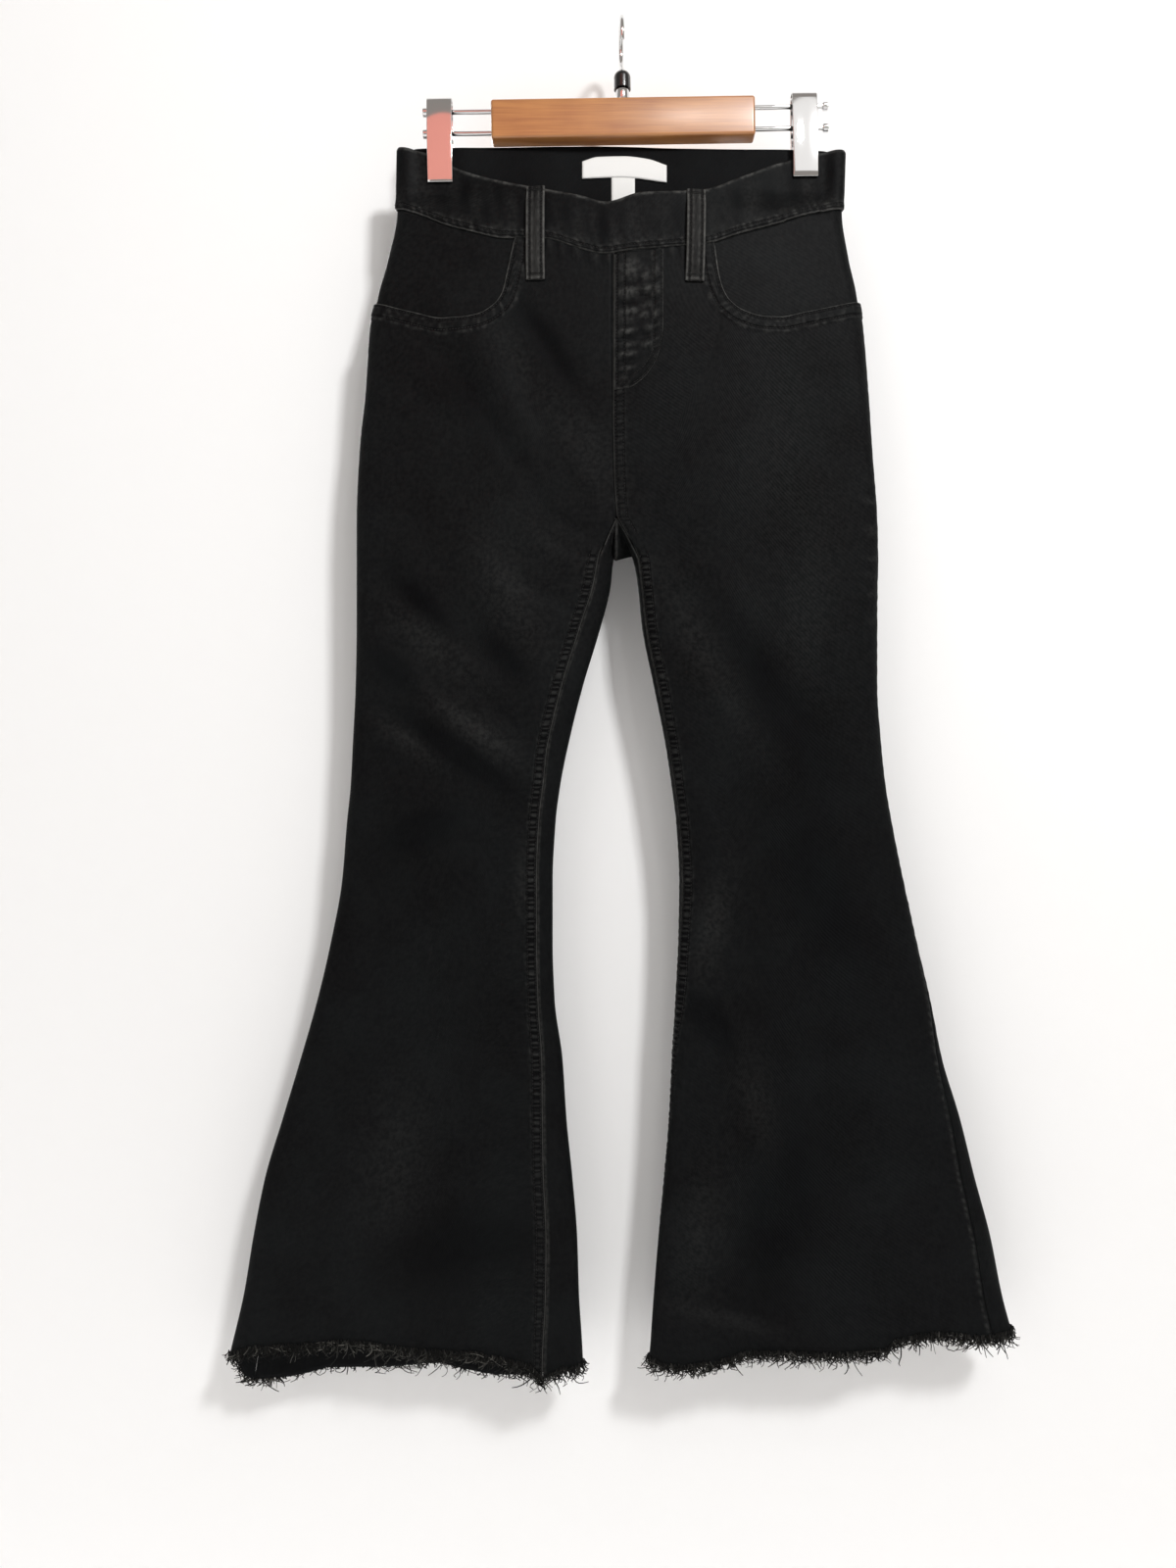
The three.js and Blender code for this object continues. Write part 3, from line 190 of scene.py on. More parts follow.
# Sections of the legs and the edges of the pieces, seen from the front.
LEFT_OUTLINE = Table(
    ("z", "outer", "outseam", "fold", "front", "front_in", "back", "back_in"),
    (
        (-96, -172, -2, 7.5, 18, 23, 6, 6), (-143, -173, -2, 7.5, 18.5, 24, 7, 8),
        (-180, -180, -2, 8, 20, 25, 11, 12), (-207, -187.5, -2, 8, 20.5, 24.5, 13, 14),
        (-237, -192.8, -3, 8, 21, 23.5, 14, 15), (-282, -195.8, -3, 8, 20, 21, 14.5, 15),
        (-327, -200.3, -4, 8, 19, 17.5, 14, 12.5), (-380, -202.5, -5, 7.5, 18, 11.5, 13, 8),
        (-396, -202.5, -6, 7.5, 17.5, 10, 13, 8), (-411, -202.5, -6, 7.5, 17, 9, 13, 8),
        (-432, -202.5, -8, 7.5, 17, 8.5, 12.5, 8), (-462, -202.5, -8, 7, 16.5, 8.5, 12.5, 8),
        (-507, -203.3, -9, 7, 16, 8, 12, 7.5), (-552, -205.5, -9, 7, 15.5, 7.5, 11.5, 7),
        (-582, -207, -9, 6.5, 15, 7.5, 11, 7), (-612, -210, -9, 6.5, 14.5, 7, 10.5, 6.5),
        (-657, -213.8, -9, 6.5, 14, 7, 10, 6.5), (-702, -222, -9, 6.5, 13.5, 7, 10, 6.5),
        (-747, -232.5, -9, 6.5, 13, 7, 9.5, 6.5), (-792, -245.3, -10, 6.5, 13, 7, 9.5, 6.5),
        (-837, -258.8, -12, 6.5, 12.5, 7, 9.5, 6.5), (-882, -272.3, -14, 6.5, 12.5, 7, 9.5, 6.5),
        (-927, -281.3, -16, 6.5, 12, 7, 10, 6.5), (-972, -288.8, -18, 6.5, 11.5, 7, 10, 6.5),
        (-1017, -299, -20, 6.5, 11, 7, 10, 6.5), (-1050, -305, -21, 6.5, 11, 7, 10, 6.5),
    ),
)
LEFT_INSIDE = Table(
    ("z", "inner", "inseam"),
    (
        (-380, 7, 11), (-396, 0.5, 11.8), (-411, -6, 11.4), (-432, -8.3, 13), (-462, -15.8, 15),
        (-507, -29.3, 15.5), (-552, -40.5, 15), (-582, -46.5, 12.4), (-612, -50.3, 12),
        (-657, -52.5, 11.5), (-702, -52.5, 11.3), (-747, -51, 11.8), (-792, -45, 15), (-837, -42, 17.5),
        (-882, -37.5, 21.2), (-927, -33.8, 23), (-972, -32.3, 25), (-1017, -29.5, 30), (-1050, -28, 32),
    ),
)
RIGHT_OUTLINE = Table(
    ("z", "outer", "outseam", "fold", "front", "front_in", "back", "back_in"),
    (
        (-96, 171.8, -2, 7.5, 18, 23, 6, 6), (-143, 170.3, -2, 7.5, 18.5, 24, 7, 8),
        (-180, 175.5, -2, 8, 20, 25, 11, 12), (-207, 181.5, -2, 8, 20.5, 24.5, 13, 14),
        (-237, 185.3, -2, 8, 21, 23.5, 14, 15), (-282, 189, -2, 8, 20, 21, 14.5, 15),
        (-327, 192, -2, 8, 19, 17.5, 14, 12.5), (-380, 195.8, -2, 7.5, 18, 11.5, 13, 8),
        (-396, 196.2, -2, 7.5, 17.5, 10, 13, 8), (-411, 196.5, -2, 7.5, 17, 9, 13, 8),
        (-432, 196, -2, 7.5, 17, 8.5, 12.5, 8), (-462, 195.8, -2, 7, 16.5, 8.5, 12.5, 8),
        (-507, 195.8, -2, 7, 16, 8, 12, 7.5), (-552, 198.8, -2, 7, 15.5, 7.5, 11.5, 7),
        (-582, 202, -2, 6.5, 15, 7.5, 11, 7), (-612, 207, -2, 6.5, 14.5, 7, 10.5, 6.5),
        (-657, 216, -1, 6.5, 14, 7, 10, 6.5), (-702, 225.8, 0.5, 6.5, 13.5, 7, 10, 6.5),
        (-747, 236.3, 2, 6.5, 13, 7, 9.5, 6.5), (-792, 245.3, 5, 6.5, 13, 7, 9.5, 6.5),
        (-837, 258.8, 9, 6.5, 12.5, 7, 9.5, 6.5), (-882, 270, 12, 6.5, 12.5, 7, 9.5, 6.5),
        (-927, 282, 14, 6.5, 12, 7, 10, 6.5), (-972, 291, 16, 6.5, 11.5, 7, 10, 6.5),
        (-1017, 303, 18, 6.5, 11, 7, 10, 6.5), (-1050, 310, 19, 6.5, 11, 7, 10, 6.5),
    ),
)
RIGHT_INSIDE = Table(
    ("z", "inner", "inseam"),
    (
        (-380, -15, 11), (-396, -2, 7.5), (-411, 9, 4), (-432, 12.8, 3), (-462, 15.8, 3),
        (-507, 24.8, 3), (-552, 33.8, 2), (-582, 38.3, 2), (-612, 42, 2), (-657, 44.3, 2),
        (-702, 43.5, 1), (-747, 41.3, 0.5), (-792, 39, -1), (-837, 36.8, -3), (-882, 33, -6),
        (-927, 28.5, -8), (-972, 24.8, -10), (-1017, 21.8, -12), (-1050, 20, -13),
    ),
)
CENTRE_SEAM = Table(
    ("z", "x"),
    (
        (-380, -4), (-350, -6), (-300, -7), (-130, -7),
    ),
)
FRONT_WAIST_SEAM = Table(
    ("x", "z"),
    (
        (-173, -143.3), (-156, -149), (-134, -159.5), (-114, -166), (-90, -172.4), (-58, -174.5),
        (-28, -184), (-14, -187), (7, -184), (35, -181), (63, -177.6), (88, -168.7), (117, -159.5),
        (145, -149), (171, -143.5),
    ),
)
BACK_WAIST_SEAM = Table(
    ("x", "z"),
    (
        (-173, -143.3), (-140, -142), (-80, -139.5), (0, -138), (80, -140), (140, -142.5),
        (171, -143.5),
    ),
)
FRONT_TOP_EDGE = Table(
    ("x", "z"),
    (
        (-172, -96), (-150, -100), (-128, -110.8), (-90, -126), (-53, -136.4), (-31, -141.8),
        (-12, -147), (14, -139.5), (42, -137.6), (61, -135.3), (92, -121.8), (119, -109), (150, -100.5),
        (172, -98.2),
    ),
)
BACK_TOP_EDGE = Table(
    ("x", "z"),
    (
        (-172, -96), (-100, -94.6), (0, -93.5), (100, -95.5), (172, -98.2),
    ),
)
YOKE_SEAM = Table(
    ("x", "z"),
    (
        (-182, -183), (-90, -194), (-7, -209), (80, -194.5), (178, -183),
    ),
)
FLY_EDGE = Table(
    ("x", "z"),
    (
        (-6, -287.5), (5, -286), (15, -280), (23, -270), (28, -258), (31, -240),
    ),
)
LABEL_TOP = Table(
    ("x", "z"),
    (
        (-30, -104), (-18, -100.5), (2, -100), (20, -102), (35, -107),
    ),
)
LABEL_LOW = Table(
    ("x", "z"),
    (
        (-30, -117), (0, -116), (35, -120),
    ),
)
LEFT_POCKET_MOUTH = Table(
    ("x", "z"),
    (
        (-194, -214.5), (-156, -226), (-133, -231.5), (-122, -231.5), (-108.5, -229.5), (-96, -222.5),
        (-90, -214), (-86, -198), (-80.7, -173.5),
    ),
)
RIGHT_POCKET_MOUTH = Table(
    ("x", "z"),
    (
        (69, -175.5), (72.5, -200), (76, -212), (81, -220), (91, -227), (107, -231), (117, -231),
        (138, -226.3), (186, -214),
    ),
)
LEFT_FRONT_HEM = Table(
    ("x", "z"),
    (
        (-300, -1019), (-280, -1012), (-245, -1009.7), (-206, -1006), (-177, -1009.7), (-141, -1013.4),
        (-114, -1015), (-83, -1021.6), (-69, -1026), (-60, -1033), (-44, -1028), (-29, -1026),
    ),
)
LEFT_BACK_HEM = Table(
    ("x", "z"),
    (
        (-300, -1019), (-286, -1040), (-254, -1039), (-226, -1032.5), (-180, -1032), (-143, -1029),
        (-115, -1035), (-90, -1038), (-52, -1034), (-29, -1026),
    ),
)
RIGHT_FRONT_HEM = Table(
    ("x", "z"),
    (
        (21, -1022), (41, -1026), (72, -1022), (98, -1014.5), (155, -1015.4), (199, -1012),
        (207, -1006), (240, -1000.5), (272, -1003.5), (303, -1000),
    ),
)
RIGHT_BACK_HEM = Table(
    ("x", "z"),
    (
        (21, -1022), (100, -1014), (200, -1008), (270, -1004), (303, -1000),
    ),
)
BAND_DEPTH = Table(
    ("x", "front", "back"),
    (
        (-172, 7, 7), (-162, 5.5, 5.5), (-154, 3.1, 3.1), (-125, 3.1, 3.1), (-110, 6, 4), (-88, 12, 5),
        (-58, 18, 6), (-28, 21.5, 7), (0, 22, 7), (28, 21.5, 7), (58, 18, 6), (88, 12, 5), (110, 6, 4),
        (129, 3.1, 3.1), (154, 3.1, 3.1), (162, 5.5, 5.5), (172, 7, 7),
    ),
)
FOLDS = (
    Fold(Side.FRONT, -128, -262, -52, 70, 15, -2.6),
    Fold(Side.FRONT, -104, -268, -54, 66, 14, 2.2),
    Fold(Side.FRONT, -62, -300, -56, 60, 15, -2.4),
    Fold(Side.FRONT, -150, -420, -50, 62, 14, 2.4),
    Fold(Side.FRONT, -122, -452, -52, 70, 13, -2.8),
    Fold(Side.FRONT, -96, -430, -58, 60, 13, 2.2),
    Fold(Side.FRONT, -160, -500, -38, 56, 12, 3),
    Fold(Side.FRONT, -178, -528, -36, 44, 12, -2.8),
    Fold(Side.FRONT, -120, -545, -30, 60, 12, 2.6),
    Fold(Side.FRONT, -150, -572, -8, 52, 13, -2.6),
    Fold(Side.FRONT, -136, -600, 14, 60, 14, 2),
    Fold(Side.FRONT, 96, -462, -55, 70, 16, 2),
    Fold(Side.FRONT, 128, -520, -52, 80, 16, -2),
    Fold(Side.FRONT, 72, -640, -60, 70, 15, 2.4),
    Fold(Side.FRONT, 92, -700, -64, 70, 14, -2.4),
    Fold(Side.FRONT, 62, -800, -70, 90, 14, 2.8),
    Fold(Side.FRONT, 88, -850, -74, 80, 15, -2.2),
    Fold(Side.FRONT, 80, -980, -12, 70, 9, 3),
    Fold(Side.FRONT, 84, -1000, -14, 70, 9, -2.4),
    Fold(Side.FRONT, 170, -330, -72, 100, 15, -2.4),
    Fold(Side.FRONT, -190, -860, 76, 110, 24, 2.4),
    Fold(Side.FRONT, -110, -900, -84, 110, 26, -2.2),
    Fold(Side.FRONT, 205, -900, -78, 110, 26, 2.2),
    Fold(Side.BACK, -70, -300, 50, 80, 18, -2.6),
    Fold(Side.BACK, 70, -310, -50, 80, 18, -2.4),
    Fold(Side.BACK, -110, -410, 24, 90, 15, 2.6),
    Fold(Side.BACK, -90, -445, 18, 80, 14, -2.4),
    Fold(Side.BACK, 100, -420, -26, 90, 15, 2.4),
    Fold(Side.BACK, 112, -560, -14, 80, 14, -2.4),
    Fold(Side.BACK, -130, -585, 16, 80, 14, 2.4),
    Fold(Side.BACK, -160, -860, 82, 130, 26, 2.4),
    Fold(Side.BACK, 160, -870, -80, 130, 26, -2.2),
)

# Smaller creases that only the cloth's surface shows.
CREASES = (
    Fold(Side.FRONT, -150, -292, -50, 60, 8, -0.9),
    Fold(Side.FRONT, -57, -254, -57, 60, 8, -1.5),
    Fold(Side.FRONT, -86, -330, -58, 70, 8, -1.2),
    Fold(Side.FRONT, -40, -332, -62, 60, 8, 1.0),
    Fold(Side.FRONT, -30, -392, -30, 34, 6, -1.0),
    Fold(Side.FRONT, -44, -412, -26, 40, 6, 1.0),
    Fold(Side.FRONT, -60, -438, -28, 44, 7, -1.1),
    Fold(Side.FRONT, -172, -452, -48, 42, 7, 1.1),
    Fold(Side.FRONT, -112, -500, -44, 46, 7, 1.4),
    Fold(Side.FRONT, -98, -520, -46, 44, 6, -1.4),
    Fold(Side.FRONT, -146, -518, -40, 46, 6, 1.6),
    Fold(Side.FRONT, -164, -545, -34, 40, 6, -1.6),
    Fold(Side.FRONT, -86, -562, -30, 40, 7, 1.0),
    Fold(Side.FRONT, -186, -590, 20, 34, 8, 1.2),
    Fold(Side.FRONT, -172, -632, 26, 40, 10, -1.2),
    Fold(Side.FRONT, -100, -640, -40, 60, 12, -1.1),
    Fold(Side.FRONT, -120, -712, -55, 80, 14, 1.2),
    Fold(Side.FRONT, -170, -770, 82, 90, 16, -1.4),
    Fold(Side.FRONT, 40, -400, 34, 40, 7, -1.1),
    Fold(Side.FRONT, 52, -424, 30, 44, 7, 1.0),
    Fold(Side.FRONT, 84, -540, -60, 60, 10, 1.1),
    Fold(Side.FRONT, 150, -590, -66, 70, 12, 1.2),
    Fold(Side.FRONT, 58, -596, -62, 56, 8, 1.3),
    Fold(Side.FRONT, 74, -760, -62, 54, 7, -1.3),
    Fold(Side.FRONT, 60, -728, -60, 50, 7, 1.3),
    Fold(Side.FRONT, 56, -880, -62, 54, 8, -1.4),
    Fold(Side.FRONT, 44, -902, -66, 60, 8, 1.5),
    Fold(Side.FRONT, 150, -800, -84, 110, 16, -1.1),
    Fold(Side.FRONT, 200, -760, -76, 90, 12, 1.0),
    Fold(Side.BACK, -36, -392, 30, 44, 7, -1.2),
    Fold(Side.BACK, -54, -376, 26, 44, 7, 1.2),
    Fold(Side.BACK, 34, -386, -28, 44, 7, -1.2),
    Fold(Side.BACK, 60, -372, -24, 46, 8, 1.1),
    Fold(Side.BACK, -118, -530, 20, 60, 9, 1.4),
    Fold(Side.BACK, -100, -556, 14, 60, 8, -1.4),
    Fold(Side.BACK, 128, -540, -18, 60, 9, 1.5),
    Fold(Side.BACK, 112, -598, -12, 60, 9, 1.2),
    Fold(Side.BACK, 90, -700, -70, 90, 12, 1.2),
    Fold(Side.BACK, -96, -720, 68, 90, 12, -1.2),
)


# Painted highlights on fold crests and painted shade in fold troughs, laid into the coating's wear: heights are shares
# of wear.
FOLD_SHADING = (
    Fold(Side.FRONT, -150, -446, -43, 44, 9, -0.035),
    Fold(Side.FRONT, -145, -476, -40, 62, 13, 0.045),
    Fold(Side.FRONT, -171, -495, -39, 30, 11, -0.035),
    Fold(Side.FRONT, -110, -541, -37, 54, 10, 0.06),
    Fold(Side.FRONT, -124, -558, -34, 58, 8, -0.045),
    Fold(Side.FRONT, -161, -550, -38, 36, 8, 0.05),
    Fold(Side.FRONT, -151, -617, 20, 36, 11, -0.035),
    Fold(Side.FRONT, -87, -486, -44, 34, 10, -0.035),
    Fold(Side.FRONT, -85, -440, -65, 74, 18, 0.035),
    Fold(Side.FRONT, -60, -395, -40, 50, 12, 0.02),
    Fold(Side.FRONT, -74, -655, 86, 50, 8, 0.04),
    Fold(Side.FRONT, -171, -866, 80, 80, 26, 0.03),
    Fold(Side.FRONT, -120, -930, 10, 70, 24, -0.02),
    Fold(Side.FRONT, -57, -254, -57, 62, 10, -0.04),
    Fold(Side.FRONT, -80, -262, -57, 54, 10, 0.03),
    Fold(Side.FRONT, -110, -300, -50, 60, 12, -0.02),
    Fold(Side.FRONT, -24, -330, -60, 70, 16, 0.03),
    Fold(Side.FRONT, 112, -330, 88, 80, 24, 0.012),
    Fold(Side.FRONT, 60, -480, -62, 90, 14, 0.035),
    Fold(Side.FRONT, 118, -520, -56, 90, 16, -0.03),
    Fold(Side.FRONT, 140, -450, 84, 90, 18, 0.02),
    Fold(Side.FRONT, 68, -690, 78, 60, 12, 0.055),
    Fold(Side.FRONT, 66, -760, -50, 50, 10, -0.035),
    Fold(Side.FRONT, 102, -820, -76, 60, 12, 0.04),
    Fold(Side.FRONT, 60, -920, 80, 70, 18, 0.035),
    Fold(Side.FRONT, 76, -986, -14, 60, 7, 0.035),
    Fold(Side.FRONT, 120, -900, 80, 90, 26, -0.025),
    Fold(Side.FRONT, 150, -660, -70, 90, 24, -0.02),
)
COATING_WEAR = 0.045
# How strongly the painted fold highlights and shade are laid into the wear.
FOLD_SHADING_GAIN = 1.75


def rubbed(side: Side, x: np.ndarray, z: np.ndarray) -> np.ndarray:
    """Give a leg's wear from 0 to 1: the coating's even wear, a little less below the upper thigh, with painted
    highlights on its fold crests and painted shade in its troughs.
    """
    plain = COATING_WEAR - 0.016 * smoothstep(-430, -620, z)
    if side is Side.BACK:
        # On the back the fold crests are painted lighter and the troughs darker.
        return np.clip(plain + 0.02 * fold_depth(side, x, z), 0, 1)
    return np.clip(plain + FOLD_SHADING_GAIN * sum(rub.depth(x, z) for rub in FOLD_SHADING), 0, 1)


def fold_depth(side: Side, x: np.ndarray, z: np.ndarray) -> np.ndarray:
    """Add up the folds and creases on one side."""
    return sum(fold.depth(x, z) for fold in FOLDS + CREASES if fold.side is side)


def roll_angle(offset: np.ndarray) -> np.ndarray:
    """Turn a distance in from the outline into an angle round the rolled side."""
    size = np.abs(offset)
    near = np.arccos(np.clip(1 - size / ROLL, -1, 1))
    return np.sign(offset) * np.where(size < ROLL, near, math.pi / 2 + (size - ROLL) / ROLL)


def roll_offset(angle: np.ndarray) -> np.ndarray:
    """Turn an angle round the rolled side into a distance in from the outline."""
    return np.where(
        angle < math.pi / 2, ROLL * (1 - np.cos(angle)), ROLL * (1 + angle - math.pi / 2)
    )


def roll_height(angle: np.ndarray) -> np.ndarray:
    """Give the share of full depth reached round the rolled side."""
    return np.where(angle < math.pi / 2, np.sin(angle), 1.0)


@dataclass
class Grid:
    """A sheet of points in rows from the top down and columns from the outseam inwards."""

    points: np.ndarray
    side: Side
    hand: Hand
    normals: np.ndarray = field(init=False)

    def __post_init__(self) -> None:
        """Find the outward direction of the cloth at each point."""
        self.normals = self.find_normals()

    def find_normals(self) -> np.ndarray:
        """Cross the directions along the rows and down the columns.

        Returns:
            Unit vectors that point away from the inside of the garment.
        """
        across = np.gradient(self.points, axis=1)
        down = np.gradient(self.points, axis=0)
        normals = np.cross(across, down)
        normals *= self.side.facing * self.hand.inward
        lengths = np.linalg.norm(normals, axis=2, keepdims=True)
        return normals / np.maximum(lengths, 1e-9)

    @property
    def from_outseam(self) -> np.ndarray:
        """Distance along each row from its first point."""
        return running(self.points, 1)

    @property
    def from_inside(self) -> np.ndarray:
        """Distance along each row back from its last point."""
        run = running(self.points, 1)
        return run[:, -1:] - run

    @property
    def from_top(self) -> np.ndarray:
        """Distance down each column from its first point."""
        return running(self.points, 0)

    @property
    def from_hem(self) -> np.ndarray:
        """Distance up each column from its last point."""
        run = running(self.points, 0)
        return run[-1:, :] - run

    def area(self) -> float:
        """Give the sheet's area in square metres."""
        a, b = self.points[:-1, :-1], self.points[1:, :-1]
        c, d = self.points[1:, 1:], self.points[:-1, 1:]
        first = np.linalg.norm(np.cross(b - a, c - a), axis=2)
        second = np.linalg.norm(np.cross(c - a, d - a), axis=2)
        return float((first + second).sum() / 2 * MM * MM)

    def line(self, away: np.ndarray, distance: float, keep: np.ndarray) -> tuple[np.ndarray, np.ndarray]:
        """Follow the sheet at one distance from a side edge.

        Args:
            away: Distance of each point from that edge, along the rows.
            distance: Where the line runs.
            keep: Which rows it runs through.

        Returns:
            Points of the line and the cloth's directions there.
        """
        rows = np.flatnonzero(keep)
        spots, ways = [], []
        for i in rows:
            order = np.argsort(away[i])
            spots.append([np.interp(distance, away[i][order], self.points[i][order, k]) for k in range(3)])
            ways.append([np.interp(distance, away[i][order], self.normals[i][order, k]) for k in range(3)])
        return np.array(spots), np.array(ways)

    def line_across(self, away: np.ndarray, distance: float, keep: np.ndarray) -> tuple[np.ndarray, np.ndarray]:
        """Follow the sheet at one distance from its top or lower edge.

        Args:
            away: Distance of each point from that edge, down the columns.
            distance: Where the line runs.
            keep: Which columns it runs through.

        Returns:
            Points of the line and the cloth's directions there.
        """
        columns = np.flatnonzero(keep)
        spots, ways = [], []
        for j in columns:
            order = np.argsort(away[:, j])
            spots.append([np.interp(distance, away[order, j], self.points[order, j, k]) for k in range(3)])
            ways.append([np.interp(distance, away[order, j], self.normals[order, j, k]) for k in range(3)])
        return np.array(spots), np.array(ways)


def running(points: np.ndarray, axis: int) -> np.ndarray:
    """Add up the distance between neighbours along one axis, from 0."""
    steps = np.linalg.norm(np.diff(points, axis=axis), axis=2)
    pad = [(0, 0), (0, 0)]
    pad[axis] = (1, 0)
    return np.cumsum(np.pad(steps, pad), axis=axis)


class Half:
    """One leg, or one half of the body above the crotch, as a flattened ring at each height."""

    def __init__(self, hand: Hand, outline: Table, inside: Table, mouth: Table, hems: dict[Side, Table]) -> None:
        """Keep the tables of one half.

        Args:
            hand: Which half it is.
            outline: Outer side, outseam and depths over height.
            inside: Inner side and inseam over height, below the crotch.
            mouth: Edge of the pocket mouth.
            hems: Lower edges of the front and the back.
        """
        self.hand = hand
        self.inward = hand.inward
        self.outline = outline
        self.inside = inside
        self.mouth = mouth
        self.hems = hems
        self.outseam = Table(("z", "angle"), tuple(
            zip(outline.column("z"), roll_angle(outline.column("outseam")))))
        self.inseam = Table(("z", "angle"), tuple(
            zip(inside.column("z"), roll_angle(inside.column("inseam")))))

    def outer(self, z: np.ndarray) -> np.ndarray:
        """Give the outline's x at each height."""
        return self.outline.curve("outer", z)

    def is_body(self, side: Side, z: np.ndarray) -> np.ndarray:
        """Tell where a section ends at the centre seam and not at a leg's inner side."""
        return z > (CROTCH_JOIN if side is Side.FRONT else CROTCH_SEAT) - 0.01

    def inner(self, side: Side, z: np.ndarray) -> np.ndarray:
        """Give the x at which a section turns back, on the inner side."""
        body = CENTRE_SEAM.curve("x", z) + self.inward * ROLL
        return np.where(self.is_body(side, z), body, self.inside.curve("inner", z))

    def span(self, side: Side, z: np.ndarray) -> np.ndarray:
        """Give the place at which a section turns back."""
        width = np.abs(self.inner(side, z) - self.outer(z))
        return math.pi + (width - 2 * ROLL) / ROLL

    def depth(self, side: Side, x: np.ndarray, z: np.ndarray, ring: Side | None = None) -> np.ndarray:
        """Give how far the cloth's outer face stands from the hanger's plane.

        Args:
            side: The face.
            x: Places across.
            z: Heights.
            ring: The face whose section is meant, where it isn't the same one.

        Returns:
            Depths, above 0 on both faces.
        """
        outer = self.outer(z)
        t = np.abs((x - outer) / (self.inner(ring or side, z) - outer))
        base = (
            self.outline.curve("fold", z) * (1 - t) * (1 - 2 * t)
            + self.outline.curve(side.value, z) * 4 * t * (1 - t)
            + self.outline.curve(f"{side.value}_in", z) * t * (2 * t - 1)
        )
        pinch = smoothstep(PINCH_GONE, PINCH_FULL, z)
        folded = base + fold_depth(side, x, z)
        return mix(folded, BAND_DEPTH.curve(side.value, x), pinch)

    def unroll(self, side: Side, z: np.ndarray, q: np.ndarray) -> tuple[np.ndarray, np.ndarray, np.ndarray]:
        """Find where a place round the ring lies.

        Args:
            side: The ring's face, from which places are counted.
            z: Heights.
            q: Places round the ring.

        Returns:
            The x of each place, its share of full depth, and whether it lies on the other face.
        """
        span = self.span(side, z)
        turned = (q < 0) | (q > span)
        near = np.where(q < 0, -q, np.where(q > span, 2 * span - q, q))
        outer = self.outer(z)
        width = np.abs(self.inner(side, z) - outer)
        offset = np.where(near < span / 2, roll_offset(near), width - roll_offset(span - near))
        return outer + self.inward * offset, roll_height(near) * roll_height(span - near), turned

    def points(self, side: Side, z: np.ndarray, q: np.ndarray) -> np.ndarray:
        """Give the ring's points on the cloth's outer face."""
        x, share, turned = self.unroll(side, z, q)
        here = self.depth(side, x, z, side) * side.facing
        there = self.depth(side.other, x, z, side) * side.other.facing
        return np.stack([x, np.where(turned, there, here) * share, z], axis=-1)

    def limits(self, side: Side, z: np.ndarray) -> tuple[np.ndarray, np.ndarray]:
        """Give the places at which a panel starts at the outseam and ends at the inner seam."""
        sign = -side.facing
        start = sign * self.outseam.curve("angle", z)
        end = np.where(self.is_body(side, z), math.pi / 2, sign * self.inseam.curve("angle", z))
        return start + GAP / 2 / ROLL, self.span(side, z) - end - GAP / 2 / ROLL

    def share_at(self, side: Side, x: float, z: float) -> float:
        """Give the share of the way across a panel at which it passes x."""
        start, end = self.limits(side, np.asarray(z))
        return float((roll_angle(np.abs(x - self.outer(z))) - start) / (end - start))

    def sheet(self, side: Side, u: np.ndarray, height: Callable[[np.ndarray, np.ndarray], np.ndarray],
              start: np.ndarray) -> np.ndarray:
        """Lay out a sheet whose rows follow heights over x.

        Args:
            side: The face.
            u: Shares of the way across, for each point.
            height: Heights for places across and the marks of those on the other face.
            start: Heights to start from.

        Returns:
            Points in rows and columns.
        """
        z = start
        for _ in range(PASSES):
            first, last = self.limits(side, z)
            x, _, turned = self.unroll(side, z, mix(first, last, u))
            z = height(x, turned)
        first, last = self.limits(side, z)
        return self.points(side, z, mix(first, last, u))

    def hem(self, side: Side, x: np.ndarray, turned: np.ndarray) -> np.ndarray:
        """Give the height of the raw edge, which the other face sets where a panel wraps round."""
        return np.where(turned, self.hems[side.other].curve("z", x), self.hems[side].curve("z", x))

    def pocket_top(self) -> float:
        """Give the x at which the pocket mouth meets the waist seam."""
        return self.mouth.rows[-1 if self.hand is Hand.LEFT else 0][0]

    def in_pocket(self, x: np.ndarray) -> np.ndarray:
        """Tell which places lie between the outseam and the pocket mouth's top."""
        return (x - self.pocket_top()) * self.inward < 0

    def front_top(self, x: np.ndarray) -> np.ndarray:
        """Give the front panel's top edge: the waist seam, or the pocket mouth."""
        seam = FRONT_WAIST_SEAM.curve("z", x)
        mouth = np.minimum(seam, self.mouth.curve("z", x))
        return np.where(self.in_pocket(x), mouth, seam) - GAP


HALVES = {
    Hand.LEFT: Half(Hand.LEFT, LEFT_OUTLINE, LEFT_INSIDE, LEFT_POCKET_MOUTH,
                    {Side.FRONT: LEFT_FRONT_HEM, Side.BACK: LEFT_BACK_HEM}),
    Hand.RIGHT: Half(Hand.RIGHT, RIGHT_OUTLINE, RIGHT_INSIDE, RIGHT_POCKET_MOUTH,
                     {Side.FRONT: RIGHT_FRONT_HEM, Side.BACK: RIGHT_BACK_HEM}),
}


def body_points(side: Side, x: np.ndarray, z: np.ndarray) -> np.ndarray:
    """Give points on the outer face of the body above the crotch, found by x and height."""
    left = x < CENTRE_SEAM.curve("x", z)
    depth = np.where(left, HALVES[Hand.LEFT].depth(side, x, z), HALVES[Hand.RIGHT].depth(side, x, z))
    return np.stack([x, depth * side.facing, z], axis=-1)


def waist_seam(side: Side, x: np.ndarray) -> np.ndarray:
    """Give the height of the seam under the waistband."""
    return (FRONT_WAIST_SEAM if side is Side.FRONT else BACK_WAIST_SEAM).curve("z", x)


def top_edge(side: Side, x: np.ndarray) -> np.ndarray:
    """Give the height of the waistband's folded top."""
    return (FRONT_TOP_EDGE if side is Side.FRONT else BACK_TOP_EDGE).curve("z", x)


